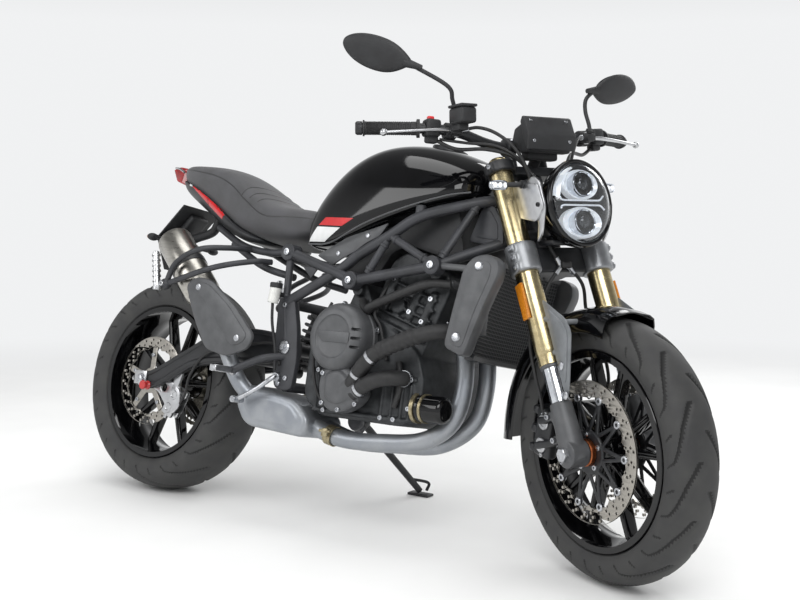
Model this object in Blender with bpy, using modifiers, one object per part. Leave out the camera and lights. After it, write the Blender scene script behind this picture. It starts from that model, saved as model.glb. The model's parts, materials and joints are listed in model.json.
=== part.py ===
"""A standard motorcycle, parked on its side stand with the handlebar turned to its right stop.

The bike is drawn upright: +X forward, +Y to its left, +Z up, from the floor point under the rear axle.
The empty "bike" then leans it onto its stand, and the empty "steering" turns the front end.
"""
import math

import bmesh
import bpy
from mathutils import Matrix, Vector

# Driving dimensions, in metres and degrees
WHEELBASE = 1.460
REAR_TYRE_R = 0.315
REAR_TYRE_WIDTH = 0.180
FRONT_TYRE_R = 0.300
FRONT_TYRE_WIDTH = 0.120
RIM_BED_R = 0.216
RIM_FLANGE_TALL = 0.010
LEAN_DEG = 11.95
RAKE_DEG = 23.56
STEER_STOP_DEG = 26.75
TRAIL = 0.0969
FORK_SPREAD = 0.210
FORK_OUTER_R = 0.028
FORK_INNER_R = 0.0215
AXLE_R = 0.0105
FRAME_TUBE_R = 0.0135
FRAME_BRACE_R = 0.010
PIPE_R = 0.022
SILENCER_R = 0.050
FRONT_DISC_R = 0.160
REAR_DISC_R = 0.130
DISC_THICK = 0.005
SEAM = 0.0003
RUNNING_GAP = 0.0006
OVERRUN = 0.004
WELD = 0.00001
WHEEL_STEPS = 30

UP = Vector((0, 0, 1))
LEFT = Vector((0, 1, 0))
FORWARD = Vector((1, 0, 0))
RAKE = math.radians(RAKE_DEG)
LEAN = math.radians(LEAN_DEG)
STEER_REST = -math.radians(STEER_STOP_DEG)
STEER_AXIS = Vector((-math.sin(RAKE), 0, math.cos(RAKE)))
STEER_FOOT = Vector((WHEELBASE + TRAIL, 0, 0))
REAR_AXLE = Vector((0, 0, REAR_TYRE_R))
FRONT_AXLE = Vector((WHEELBASE, 0, FRONT_TYRE_R))
FORK_Y = FORK_SPREAD / 2
RIM_FLANGE_R = RIM_BED_R + RIM_FLANGE_TALL

# Colour, roughness and metallic value of each finish
FINISHES = {
    "gloss_black": ((0.010, 0.010, 0.012), 0.15, 0.0),
    "satin_black": ((0.022, 0.022, 0.024), 0.45, 0.0),
    "frame_grey": ((0.045, 0.045, 0.048), 0.50, 0.3),
    "cover_grey": ((0.075, 0.075, 0.078), 0.55, 0.2),
    "engine_grey": ((0.060, 0.062, 0.065), 0.50, 0.4),
    "seat_grey": ((0.060, 0.060, 0.062), 0.75, 0.0),
    "tyre_rubber": ((0.030, 0.030, 0.030), 0.80, 0.0),
    "hose_rubber": ((0.018, 0.018, 0.019), 0.60, 0.0),
    "fork_gold": ((0.560, 0.400, 0.150), 0.30, 1.0),
    "chrome": ((0.700, 0.700, 0.700), 0.12, 1.0),
    "brushed_steel": ((0.480, 0.470, 0.450), 0.32, 1.0),
    "pipe_grey": ((0.200, 0.205, 0.215), 0.45, 0.8),
    "disc_steel": ((0.520, 0.500, 0.470), 0.30, 1.0),
    "lamp_clear": ((0.400, 0.420, 0.450), 0.08, 0.0),
    "lamp_red": ((0.450, 0.010, 0.010), 0.20, 0.0),
}


def clear_scene():
    for obj in list(bpy.data.objects):
        bpy.data.objects.remove(obj, do_unlink=True)


def collection(name):
    made = bpy.data.collections.new(name)
    bpy.context.scene.collection.children.link(made)
    return made


def finish(name):
    if name in bpy.data.materials:
        return bpy.data.materials[name]
    colour, rough, metal = FINISHES[name]
    made = bpy.data.materials.new(name)
    made.use_nodes = True
    shader = made.node_tree.nodes["Principled BSDF"]
    shader.inputs["Base Color"].default_value = (*colour, 1)
    shader.inputs["Roughness"].default_value = rough
    shader.inputs["Metallic"].default_value = metal
    return made


# Placing


def lay(points):
    """Places on the upright bike, from shares of the wheelbase: forward, left and up."""
    return [Vector(p) * WHEELBASE for p in points]


def other_side(points):
    return [Vector((p.x, -p.y, p.z)) for p in points]


def fork_point(drop, y=0):
    """A point on a fork leg's line, that far above the front axle, y to the left."""
    return FRONT_AXLE + STEER_AXIS * drop + LEFT * y


def steer_point(height):
    """The point of the steering axis at that height on the upright bike."""
    return STEER_FOOT + STEER_AXIS * (height / STEER_AXIS.z)


def on_stem(place):
    """The point of the steering axis that lies square to a place."""
    return STEER_FOOT + STEER_AXIS * (place - STEER_FOOT).dot(STEER_AXIS)


def facing(normal, up_hint=UP):
    """A rotation whose Z runs along normal."""
    z = Vector(normal).normalized()
    x = Vector(up_hint).cross(z)
    if x.length < 1e-6:
        x = FORWARD.copy()
    x.normalize()
    y = z.cross(x)
    return Matrix((x, y, z)).transposed().to_4x4()


# Shapes, each a loose object that the pieces are fused or cut from


def loose(mesh, name="shape"):
    obj = bpy.data.objects.new(name, mesh)
    bpy.context.scene.collection.objects.link(obj)
    return obj


def from_bmesh(bm, matrix=None):
    if matrix is not None:
        bmesh.ops.transform(bm, matrix=matrix, verts=bm.verts)
    bmesh.ops.recalc_face_normals(bm, faces=bm.faces)
    mesh = bpy.data.meshes.new("shape")
    bm.to_mesh(mesh)
    bm.free()
    return loose(mesh)


def evaluated(obj):
    bpy.context.view_layer.update()
    graph = bpy.context.evaluated_depsgraph_get()
    mesh = bpy.data.meshes.new_from_object(obj.evaluated_get(graph))
    mesh.transform(obj.matrix_world)
    return mesh


def settled(obj):
    """The object with its modifiers worked out, as a plain mesh with its loose caps welded."""
    mesh = evaluated(obj)
    bpy.data.objects.remove(obj, do_unlink=True)
    bm = bmesh.new()
    bm.from_mesh(mesh)
    bmesh.ops.remove_doubles(bm, verts=bm.verts, dist=WELD)
    bmesh.ops.delete(bm, geom=[v for v in bm.verts if not v.link_faces], context="VERTS")
    bpy.data.meshes.remove(mesh)
    return from_bmesh(bm)


def block(size, centre, turn=None, soften=0):
    bm = bmesh.new()
    bmesh.ops.create_cube(bm, size=1)
    bmesh.ops.scale(bm, vec=Vector(size), verts=bm.verts)
    if soften:
        bmesh.ops.bevel(bm, geom=bm.edges, offset=soften, segments=1, affect="EDGES", profile=0.5)
    return from_bmesh(bm, Matrix.Translation(centre) @ (turn or Matrix()))


def rod(a, b, r, sides=8, r2=None):
    a = Vector(a)
    b = Vector(b)
    bm = bmesh.new()
    length = (b - a).length
    bmesh.ops.create_cone(bm, cap_ends=True, segments=sides, radius1=r,
                          radius2=r if r2 is None else r2, depth=length)
    return from_bmesh(bm, Matrix.Translation((a + b) / 2) @ facing(b - a))


def bore(a, b, r, gap=SEAM, sides=12):
    """A cutter for a pin of radius r, wide enough that its flats also clear the pin."""
    return rod(a, b, (r + gap) / math.cos(math.pi / sides), sides)


def ball(centre, radii, turn=None, u=8, v=6):
    bm = bmesh.new()
    bmesh.ops.create_uvsphere(bm, u_segments=u, v_segments=v, radius=1)
    bmesh.ops.scale(bm, vec=Vector(radii), verts=bm.verts)
    return from_bmesh(bm, Matrix.Translation(centre) @ (turn or Matrix()))


def through(points, count):
    """A smooth route through the points, as count + 1 places."""
    pts = [2 * points[0] - points[1]] + list(points) + [2 * points[-1] - points[-2]]
    spans = len(points) - 1
    route = []
    for k in range(count + 1):
        t = k / count * spans
        i = min(int(t), spans - 1)
        t -= i
        a, b, c, d = pts[i:i + 4]
        route.append(0.5 * (2 * b + (c - a) * t + (2 * a - 5 * b + 4 * c - d) * t ** 2
                            + (3 * b - a - 3 * c + d) * t ** 3))
    return route


def seated(points, count):
    """A smooth route whose last stretch runs straight to its seat."""
    return through(points[:-1], count) + [points[-1]]


def tube(points, r, round_steps=1, ends=None):
    """A filled tube along the points; ends gives the share of r at each end, for a taper."""
    curve = bpy.data.curves.new("tube", "CURVE")
    curve.dimensions = "3D"
    curve.bevel_depth = r
    curve.bevel_resolution = round_steps
    curve.use_fill_caps = True
    line = curve.splines.new("POLY")
    line.points.add(len(points) - 1)
    for k, point in enumerate(points):
        line.points[k].co = (*point, 1)
        if ends:
            line.points[k].radius = ends[0] + (ends[1] - ends[0]) * k / (len(points) - 1)
    return settled(loose(curve))


def plate(outline, thick, frame):
    """A flat outline of (u, v) points, thick along the frame's Z and centred on it."""
    curve = bpy.data.curves.new("plate", "CURVE")
    curve.dimensions = "2D"
    curve.fill_mode = "BOTH"
    curve.extrude = thick / 2
    line = curve.splines.new("POLY")
    line.points.add(len(outline) - 1)
    for k, (u, v) in enumerate(outline):
        line.points[k].co = (u, v, 0, 1)
    line.use_cyclic_u = True
    obj = loose(curve)
    obj.matrix_world = frame
    return settled(obj)


def side_plate(points, y, thick):
    """A plate in a plane of constant y, from points of the side view."""
    frame = Matrix(((1, 0, 0), (0, 0, -1), (0, 1, 0))).to_4x4()
    frame.translation = LEFT * y
    return plate([(p.x, p.z) for p in points], thick, frame)


def turned(profile, centre, axis, steps=32):
    """A shape turned about the axis; the profile holds (radius, height) pairs in a closed ring,
    or starts and ends on the axis, and runs down its outer side."""
    bm = bmesh.new()
    verts = [bm.verts.new((r, 0, h)) for r, h in profile]
    for a, b in zip(verts, verts[1:]):
        bm.edges.new((a, b))
    if profile[0][0] > 0:
        bm.edges.new((verts[-1], verts[0]))
    mesh = bpy.data.meshes.new("profile")
    bm.to_mesh(mesh)
    bm.free()
    obj = loose(mesh)
    spin = obj.modifiers.new("Turn", "SCREW")
    spin.steps = steps
    spin.render_steps = steps
    spin.use_merge_vertices = True
    spin.merge_threshold = 0.00001
    obj.matrix_world = Matrix.Translation(centre) @ facing(axis)
    return settled(obj)


def loft(rings):
    """A skin over rings of equally many points, closed by a face at each end."""
    bm = bmesh.new()
    rows = [[bm.verts.new(p) for p in ring] for ring in rings]
    for low, high in zip(rows, rows[1:]):
        for k in range(len(low)):
            n = (k + 1) % len(low)
            bm.faces.new((low[k], low[n], high[n], high[k]))
    bm.faces.new(rows[0][::-1])
    bm.faces.new(rows[-1])
    return from_bmesh(bm)


def mirrored_ring(x, half):
    """A closed ring across the bike at x, from its right half of (y, z) points, top to bottom."""
    right = [Vector((x, -y, z)) for y, z in half]
    left = [Vector((x, y, z)) for y, z in half if y > 0]
    return right + left[::-1]


def subdivided(obj, levels):
    smooth = obj.modifiers.new("Smooth", "SUBSURF")
    smooth.levels = levels
    smooth.render_levels = levels
    split = obj.modifiers.new("Split", "TRIANGULATE")
    split.quad_method = "FIXED"
    return settled(obj)


def combine(base, others, operation, solver="EXACT"):
    group = bpy.data.collections.new("operands")
    for obj in others:
        group.objects.link(obj)
    join = base.modifiers.new("Combine", "BOOLEAN")
    join.operation = operation
    join.operand_type = "COLLECTION"
    join.collection = group
    join.solver = solver
    join.use_self = solver == "EXACT"
    made = settled(base)
    for obj in others:
        bpy.data.objects.remove(obj, do_unlink=True)
    bpy.data.collections.remove(group)
    return made


def fused(shapes, solver="EXACT"):
    return combine(shapes[0], shapes[1:], "UNION", solver) if len(shapes) > 1 else shapes[0]


def cut(base, cutters, solver="EXACT"):
    return combine(base, cutters, "DIFFERENCE", solver)


def grown(name, gap=SEAM):
    """A cutter with the shape of a finished piece, larger by the gap on every side."""
    bm = bmesh.new()
    bm.from_mesh(PARTS.objects[name].data)
    bm.normal_update()
    bmesh.ops.triangulate(bm, faces=bm.faces)
    moves = [(v, v.normal * gap * min(v.calc_shell_factor(), 3)) for v in bm.verts]
    for vert, move in moves:
        vert.co += move
    return from_bmesh(bm)


def fitted(shape, names, solver="EXACT"):
    """The shape trimmed where it seats on the named pieces, with the seam's gap to them."""
    return cut(shape, [grown(name) for name in names], solver)


def keep(shape, name, look, parent, smooth_deg=35):
    """Makes the shape a named piece of the bike, with its finish, riding on its empty."""
    shape.name = name
    shape.data.name = name
    shape.data.materials.clear()
    shape.data.materials.append(finish(look))
    shape.data.shade_smooth()
    shape.data.set_sharp_from_angle(angle=math.radians(smooth_deg))
    bpy.context.scene.collection.objects.unlink(shape)
    PARTS.objects.link(shape)
    shape.parent = parent
    shape.matrix_parent_inverse = Matrix.Translation(-ANCHORS[parent.name])
    return shape


# Wheels


def make_tyre(name, outer_r, width, hub):
    half = width / 2
    depth = outer_r - RIM_FLANGE_R
    bead = half * 0.76
    right = [(RIM_FLANGE_R + SEAM, bead), (RIM_FLANGE_R + depth * 0.20, half * 0.95),
             (RIM_FLANGE_R + depth * 0.52, half), (RIM_FLANGE_R + depth * 0.80, half * 0.78),
             (RIM_FLANGE_R + depth * 0.95, half * 0.42)]
    profile = right + [(outer_r, 0)] + [(r, -w) for r, w in right[::-1]]
    profile += [(RIM_BED_R + SEAM, -bead), (RIM_BED_R + SEAM, bead)]
    keep(turned(profile, hub, LEFT, WHEEL_STEPS), name, "tyre_rubber", PARENT[name], 60)


def make_rim(name, width, hub, hub_r, hub_half, bore_r):
    """A wheel with five pairs of spokes, each pair leaving the hub together and parting at the rim."""
    bead = width / 2 * 0.76 + SEAM
    lip = 0.007
    wall = 0.006
    spoke_wide = 0.016
    spoke_deep = 0.034
    pair_spread = 0.27
    profile = [(RIM_FLANGE_R, bead + lip), (RIM_FLANGE_R, bead), (RIM_BED_R, bead), (RIM_BED_R, -bead),
               (RIM_FLANGE_R, -bead), (RIM_FLANGE_R, -bead - lip),
               (RIM_BED_R - wall, -bead - lip), (RIM_BED_R - 2 * wall, 0), (RIM_BED_R - wall, bead + lip)]
    barrel = turned(profile, hub, LEFT, WHEEL_STEPS)
    shapes = [barrel, rod(hub - LEFT * hub_half, hub + LEFT * hub_half, hub_r, 15)]
    for k in range(5):
        for side in (-1, 1):
            inner = 2 * math.pi * k / 5 + side * 0.10 + math.pi / 2
            outer = 2 * math.pi * k / 5 + side * pair_spread + math.pi / 2
            start = hub + spin_place(hub_r * 0.7, inner)
            end = hub + spin_place(RIM_BED_R - wall * 1.2, outer)
            shapes.append(bar(start, end, spoke_wide, spoke_deep))
    hole = bore(hub - LEFT * (hub_half + OVERRUN), hub + LEFT * (hub_half + OVERRUN), bore_r)
    keep(cut(fused(shapes, "MANIFOLD"), [hole]), name, "gloss_black", PARENT[name])


def spin_place(r, angle):
    return Vector((r * math.cos(angle), 0, r * math.sin(angle)))


def bar(a, b, wide, deep, taper=0.8):
    """A spoke-like bar from a to b, deep along the axle and wide in the wheel's plane."""
    along = (b - a).normalized()
    across = along.cross(LEFT).normalized()
    rings = []
    for p, share in ((a, 1), (b, taper)):
        u = across * wide / 2
        v = LEFT * deep / 2 * share
        rings.append([p - u - v, p + u - v, p + u + v, p - u + v])
    return loft(rings)


def disc_ring(centre, outer_r, inner_r):
    half = DISC_THICK / 2
    return turned([(outer_r, half), (outer_r, -half), (inner_r, -half), (inner_r, half)], centre, LEFT, 24)


def disc_carrier(centre, reach_r, hub_r, arms, offset):
    """The spider that carries a disc: arms from a ring on the hub out to the disc's inner edge."""
    arm_wide = 0.016
    shapes = [rod(centre - LEFT * DISC_THICK, centre + LEFT * DISC_THICK, hub_r, 15)]
    for k in range(arms):
        angle = 2 * math.pi * (k + offset) / arms
        tip = centre + spin_place(reach_r, angle)
        shapes.append(bar(centre, tip, arm_wide, DISC_THICK * 0.8, 1))
    return shapes


FRONT_HUB_R = 0.032
FRONT_HUB_HALF = 0.050
FRONT_DISC_Y = 0.062
REAR_HUB_R = 0.040
REAR_HUB_HALF = 0.075
REAR_DISC_Y = -0.100
SPROCKET_Y = 0.104
SPROCKET_R = 0.108
SPROCKET_THICK = 0.006
SPROCKET_TEETH = 44
TOOTH_TALL = 0.007


def make_front_discs():
    sleeve_r = FRONT_HUB_R * 0.62
    shapes = []
    for side in (-1, 1):
        centre = FRONT_AXLE + LEFT * side * FRONT_DISC_Y
        shapes.append(disc_ring(centre, FRONT_DISC_R, FRONT_DISC_R * 0.76))
        shapes += disc_carrier(centre, FRONT_DISC_R * 0.80, FRONT_HUB_R * 1.5, 5, 0)
    half = FRONT_DISC_Y + DISC_THICK / 2
    shapes.append(rod(FRONT_AXLE - LEFT * half, FRONT_AXLE + LEFT * half, sleeve_r, 14))
    hole = bore(FRONT_AXLE - LEFT * (half + OVERRUN), FRONT_AXLE + LEFT * (half + OVERRUN),
                AXLE_R, RUNNING_GAP)
    keep(cut(fused(shapes, "MANIFOLD"), [hole]), "front_discs", "disc_steel", PARENT["front_discs"])


def make_rear_disc():
    centre = REAR_AXLE + LEFT * REAR_DISC_Y
    inner = REAR_HUB_HALF + SEAM
    shapes = [disc_ring(centre, REAR_DISC_R, REAR_DISC_R * 0.72)]
    shapes += disc_carrier(centre, REAR_DISC_R * 0.76, REAR_HUB_R, 5, 0.25)
    shapes.append(rod(REAR_AXLE - LEFT * inner, centre, REAR_HUB_R * 0.8, 14))
    hole = bore(REAR_AXLE, centre - LEFT * (DISC_THICK + OVERRUN), AXLE_R, RUNNING_GAP)
    keep(cut(fused(shapes, "MANIFOLD"), [hole]), "rear_disc", "disc_steel", PARENT["rear_disc"])


def make_rear_sprocket():
    """A toothed plate on its carrier."""
    centre = REAR_AXLE + LEFT * SPROCKET_Y
    inner = REAR_HUB_HALF + SEAM
    teeth = []
    for k in range(2 * SPROCKET_TEETH):
        reach = SPROCKET_R - (TOOTH_TALL if k % 2 else 0)
        teeth.append(centre + spin_place(reach, math.pi * k / SPROCKET_TEETH))
    shapes = [side_plate(teeth, SPROCKET_Y, SPROCKET_THICK),
              rod(REAR_AXLE + LEFT * inner, centre, REAR_HUB_R, 14)]
    hole = bore(REAR_AXLE, centre + LEFT * OVERRUN, AXLE_R, RUNNING_GAP)
    keep(cut(fused(shapes), [hole]), "rear_sprocket", "brushed_steel", PARENT["rear_sprocket"])


# Front end: everything that turns with the handlebar

CALIPER_ANGLE_DEG = 168
LUG_HEIGHTS = (0.045, 0.100)
LUG_REACH = 0.058
CAP_PLACE_SHARES = (-0.161, 0.161)
CAP_R = 0.0175
CAP_TALL = 0.0045
UPPER_CLAMP_Z = 0.945
LOWER_CLAMP_Z = 0.728
UPPER_CLAMP_TALL = 0.028
LOWER_CLAMP_TALL = 0.072
STEM_R = 0.014
HEAD_TUBE_R = 0.030
CLAMP_BODY_SHARE = 0.9


def clamp_drop(z):
    """How far above the axle along the fork a clamp at that height sits."""
    return (z - FRONT_TYRE_R) / STEER_AXIS.z


def clamp_stem(z):
    """The middle of a clamp on the steering axis, square to where it grips the fork at that height."""
    return on_stem(fork_point(clamp_drop(z)))


def make_fork():
    cap = clamp_drop(UPPER_CLAMP_Z) + 0.026
    outer_end = 0.205
    foot_top = 0.115
    foot_r = 0.030
    for side, word in ((-1, "right"), (1, "left")):
        y = side * FORK_Y
        low = fork_point(outer_end, y)
        length = cap - outer_end
        profile = [(0, length), (FORK_OUTER_R * 0.72, length), (FORK_OUTER_R * 0.78, length - 0.006),
                   (FORK_OUTER_R, length - 0.008), (FORK_OUTER_R, 0.034), (FORK_OUTER_R * 0.93, 0.022),
                   (FORK_OUTER_R * 0.93, 0), (0, 0)]
        outer = turned(profile, low, STEER_AXIS, 16)
        keep(outer, "fork_tube_" + word, "fork_gold", STEERING)
        inner = rod(fork_point(foot_top * 0.8, y), fork_point(outer_end - SEAM, y), FORK_INNER_R, 12)
        foot = rod(fork_point(0.0, y), fork_point(foot_top, y), foot_r, 12, foot_r * 0.86)
        boss = rod(FRONT_AXLE + LEFT * (y - side * 0.024), FRONT_AXLE + LEFT * (y + side * 0.024), foot_r, 12)
        lugs = [bar(fork_point(h, y), fork_point(h, y) + STEER_BACK * LUG_REACH, 0.018, 0.016, 1)
                for h in LUG_HEIGHTS]
        hole = bore(FRONT_AXLE + LEFT * (y - 0.04), FRONT_AXLE + LEFT * (y + 0.04), AXLE_R)
        leg = cut(fused([foot, inner, boss] + lugs), [hole])
        keep(leg, "fork_leg_" + word, "satin_black", STEERING)
        make_front_caliper(word, side)


STEER_BACK = LEFT.cross(STEER_AXIS) * -1


def make_front_caliper(word, side):
    """A four-piston caliper that straddles its disc behind the fork leg, on two ears."""
    long = 0.120
    deep = 0.072
    inner_y = FRONT_DISC_Y - 0.026
    outer_y = FORK_Y - 0.0105
    middle_r = 0.139
    ear_wide = 0.018
    out = spin_place(1, math.radians(CALIPER_ANGLE_DEG))
    along = LEFT.cross(out)
    middle = FRONT_AXLE + out * middle_r + LEFT * side * (inner_y + outer_y) / 2
    shapes = [block((deep, outer_y - inner_y, long), middle, axes_turn(out, LEFT, out.cross(LEFT)), 0.010)]
    for height, share in ((LUG_HEIGHTS[0], -0.25), (LUG_HEIGHTS[1], 0.25)):
        start = fork_point(height, side * (FORK_Y - 0.004)) + STEER_BACK * (LUG_REACH + SEAM)
        knee = start + STEER_BACK * ear_wide
        end = FRONT_AXLE + out * middle_r + along * long * share
        end.y = start.y
        shapes.append(bar(start, knee, ear_wide, ear_wide, 1))
        shapes.append(bar(knee - (end - knee) * 0.1, end, ear_wide * 0.9, ear_wide * 0.9, 1))
    for share in CAP_PLACE_SHARES:
        face = FRONT_AXLE + out * (middle_r - CAP_TALL) + along * long * share + LEFT * side * outer_y
        shapes.append(rod(face - LEFT * side * CAP_TALL, face + LEFT * side * CAP_TALL, CAP_R, 12))
    slot = rod(FRONT_AXLE + LEFT * side * (FRONT_DISC_Y - DISC_THICK),
               FRONT_AXLE + LEFT * side * (FRONT_DISC_Y + DISC_THICK), FRONT_DISC_R + 0.005, 32)
    keep(cut(fused(shapes, "MANIFOLD"), [slot]), "front_caliper_" + word, "satin_black", STEERING)


def axes_turn(x, y, z):
    return Matrix((x.normalized(), y.normalized(), z.normalized())).transposed().to_4x4()


def make_fork_clamps():
    """Both clamps with the steering stem between them, as one forged piece."""
    turn = axes_turn(STEER_BACK * -1, LEFT, STEER_AXIS)
    shapes = []
    bores = []
    for z, tall in ((UPPER_CLAMP_Z, UPPER_CLAMP_TALL), (LOWER_CLAMP_Z, LOWER_CLAMP_TALL)):
        drop = clamp_drop(z)
        legs = fork_point(drop)
        stem = on_stem(legs)
        for side in (-1, 1):
            centre = fork_point(drop, side * FORK_Y)
            shapes.append(rod(centre - STEER_AXIS * tall / 2, centre + STEER_AXIS * tall / 2,
                              FORK_OUTER_R + 0.010, 12))
        body = STEER_AXIS * tall * CLAMP_BODY_SHARE / 2
        shapes.append(block((0.040, FORK_SPREAD, body.length * 2), (legs + stem) / 2, turn))
        shapes.append(rod(stem - body, stem + body, HEAD_TUBE_R, 10))
    shapes.append(rod(clamp_stem(LOWER_CLAMP_Z), clamp_stem(UPPER_CLAMP_Z), STEM_R, 10))
    for side in (-1, 1):
        bores.append(bore(fork_point(0.2, side * FORK_Y), fork_point(0.85, side * FORK_Y), FORK_OUTER_R))
        riser_foot = clamp_stem(UPPER_CLAMP_Z) + LEFT * side * RISER_Y
        shapes.append(rod(riser_foot, BAR_MIDDLE + LEFT * side * RISER_Y, 0.014, 8))
        shapes.append(rod(BAR_MIDDLE + LEFT * side * (RISER_Y - 0.014),
                          BAR_MIDDLE + LEFT * side * (RISER_Y + 0.014), 0.024, 10))
    bores.append(bore(BAR_MIDDLE - LEFT * 0.062, BAR_MIDDLE + LEFT * 0.062, BAR_R))
    keep(cut(fused(shapes, "MANIFOLD"), bores), "fork_clamps", "satin_black", STEERING)


RISER_Y = 0.045
BAR_R = 0.0125
GRIP_R = 0.0165
BAR_HALF_SHARES = [(0.7726, 0, 0.689), (0.7726, 0.0411, 0.689), (0.7685, 0.0753, 0.6959), (0.7589, 0.1233, 0.7123),
                   (0.7493, 0.1781, 0.7171), (0.7178, 0.2363, 0.7185), (0.7, 0.2692, 0.7192)]
BAR_HALF = lay(BAR_HALF_SHARES)
BAR_MIDDLE = BAR_HALF[0]
BAR_ROUTE = other_side(BAR_HALF[:0:-1]) + BAR_HALF


def make_handlebar():
    """The bar with its grips and end weights, bent back on both sides."""
    shapes = [tube(BAR_ROUTE, BAR_R, 1)]
    for points in (BAR_HALF, other_side(BAR_HALF)):
        tip = points[-1]
        along = (tip - points[-2]).normalized()
        shapes.append(tube([points[-3] + (points[-2] - points[-3]) * 0.12, points[-2], tip - along * 0.002],
                           GRIP_R, 2))
        shapes.append(rod(tip - along * OVERRUN, tip + along * 0.016, GRIP_R * 0.9, 12))
    keep(fused(shapes), "handlebar", "satin_black", STEERING)


PERCH_SHARE = (0.7565, 0.137, 0.7134)
LEVER_SHARES = [(0.7726, 0.1342, 0.7123), (0.7753, 0.161, 0.713), (0.7712, 0.2055, 0.7103), (0.7562, 0.2603, 0.7068)]
RESERVOIR_SHARE = (0.8041, 0.1404, 0.7356)
RESERVOIR_SIZE = (0.060, 0.044, 0.046)


def make_hand_controls():
    lever_r = 0.0065
    for side, name in ((-1, "brake_control"), (1, "clutch_control")):
        perch, reservoir = [Vector((p.x, side * p.y, p.z)) for p in lay([PERCH_SHARE, RESERVOIR_SHARE])]
        route = [Vector((p.x, side * p.y, p.z)) for p in lay(LEVER_SHARES)]
        along = (BAR_HALF[4] - BAR_HALF[3]).normalized()
        along.y *= side
        shapes = [tube(through(route, 5), lever_r, 1), ball(route[-1], (0.009, 0.009, 0.009))]
        shapes.append(rod(perch - along * 0.016, perch + along * 0.016, BAR_R + 0.009, 12))
        shapes.append(block((0.052, 0.034, 0.022), (perch + route[0]) / 2 + FORWARD * 0.006, None, 0.004))
        if side < 0:
            shapes.append(block(RESERVOIR_SIZE, reservoir, None, 0.006))
            shapes.append(block((0.058, 0.030, 0.018), Vector((reservoir.x, reservoir.y, perch.z + 0.004))))
        hand = BAR_HALF if side > 0 else other_side(BAR_HALF)
        made = cut(fused(shapes), [tube(hand[2:6], (BAR_R + SEAM) * 1.03, 3)])
        keep(made, name, "satin_black", STEERING)


MIRROR_STEM_SHARES = [(0.7781, 0.137, 0.7208), (0.7781, 0.137, 0.7342), (0.7808, 0.1452, 0.7616), (0.7822, 0.1562, 0.7842),
                      (0.7493, 0.2055, 0.8205)]
MIRROR_TIP_SHARE = (0.6664, 0.2877, 0.8644)
LEFT_STEM_SHARES = [(0.7781, 0.137, 0.7208), (0.7767, 0.1377, 0.7342), (0.7603, 0.1425, 0.7616), (0.7521, 0.1507, 0.7842),
                    (0.7493, 0.1712, 0.8014)]
LEFT_TIP_SHARE = (0.7171, 0.2925, 0.8178)
MIRROR_HALF_WIDE = 0.044
MIRROR_DEEP = 0.016
MIRROR_RING_SHARES = [(0.02, 0.14), (0.12, 0.46), (0.34, 0.88), (0.62, 1.0), (0.86, 0.78), (0.98, 0.30)]


def make_mirrors():
    """A teardrop head on a bent stem from the lever perch, on each side."""
    stem_r = 0.0055
    for side, name, stem_shares, tip_share in (
            (-1, "mirror_right", MIRROR_STEM_SHARES, MIRROR_TIP_SHARE),
            (1, "mirror_left", LEFT_STEM_SHARES, LEFT_TIP_SHARE)):
        stem = [Vector((p.x, side * p.y, p.z)) for p in lay(stem_shares)]
        tip = lay([tip_share])[0]
        tip.y *= side
        long = tip - stem[-1]
        glass_normal = long.cross(LEFT * side).cross(long).normalized()
        wide = long.normalized().cross(glass_normal)
        rings = []
        for along_share, wide_share in MIRROR_RING_SHARES:
            middle = stem[-1] + long * along_share
            ring = []
            for k in range(8):
                angle = 2 * math.pi * k / 8
                ring.append(middle + wide * MIRROR_HALF_WIDE * wide_share * math.cos(angle)
                            + glass_normal * MIRROR_DEEP * (0.4 + 0.6 * wide_share) * math.sin(angle))
            rings.append(ring)
        head = loft(rings)
        neck = tube(through(stem, 6), stem_r, 1)
        into = rod(stem[-1], stem[-1] + long * 0.2, stem_r)
        keep(fused([head, neck, into]), name, "satin_black", STEERING)


BRAKE_HOSE_SHARES = [(0.7781, -0.1274, 0.713), (0.7945, -0.1041, 0.7171), (0.8151, -0.0808, 0.7055), (0.837, -0.0589, 0.6781),
                     (0.8466, -0.0411, 0.637), (0.8507, -0.0342, 0.5904), (0.8753, -0.0274, 0.5288), (0.8842, -0.0082, 0.4904)]
CALIPER_HOSE_SHARES = [(0.8842, -0.0055, 0.4904), (0.8877, -0.0342, 0.4575), (0.8788, -0.0493, 0.4123), (0.8836, -0.0685, 0.3733),
                       (0.9027, -0.0726, 0.3185), (0.9096, -0.0671, 0.2808), (0.9075, -0.0589, 0.2479)]
HOSE_SPLIT_SHARE = (0.8836, 0, 0.4904)
BRAKE_HOSE_R = 0.0042
HOSE_SPLIT_SIZE = (0.032, 0.030, 0.016)


def make_brake_hoses():
    """The hose from the hand pump to the block on the lower clamp, and from there one to each caliper."""
    down = lay(CALIPER_HOSE_SHARES)
    shapes = [tube(through(route, 10), BRAKE_HOSE_R, 1)
              for route in (lay(BRAKE_HOSE_SHARES), down, other_side(down))]
    shapes.append(block(HOSE_SPLIT_SIZE, lay([HOSE_SPLIT_SHARE])[0]))
    seats = ["fork_clamps", "brake_control", "front_caliper_left", "front_caliper_right"]
    keep(fitted(fused(shapes), seats), "brake_hoses", "hose_rubber", STEERING)


LAMP_CENTRE_SHARE = (0.926, 0, 0.5877)
LAMP_TILT_DEG = 9
LAMP_HALF_WIDE = 0.090
LAMP_HALF_TALL = 0.104
LAMP_DEEP = 0.085
LAMP_RING_SHARES = [(-1.0, 0.50), (-0.72, 0.80), (-0.30, 0.97), (0, 1.0), (0.06, 0.97), (0.10, 0.90)]
LENS_RING_SHARES = [(-0.10, 0.88), (0.13, 0.88), (0.22, 0.72), (0.28, 0.42)]
LAMP_SIDES = 20


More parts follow.
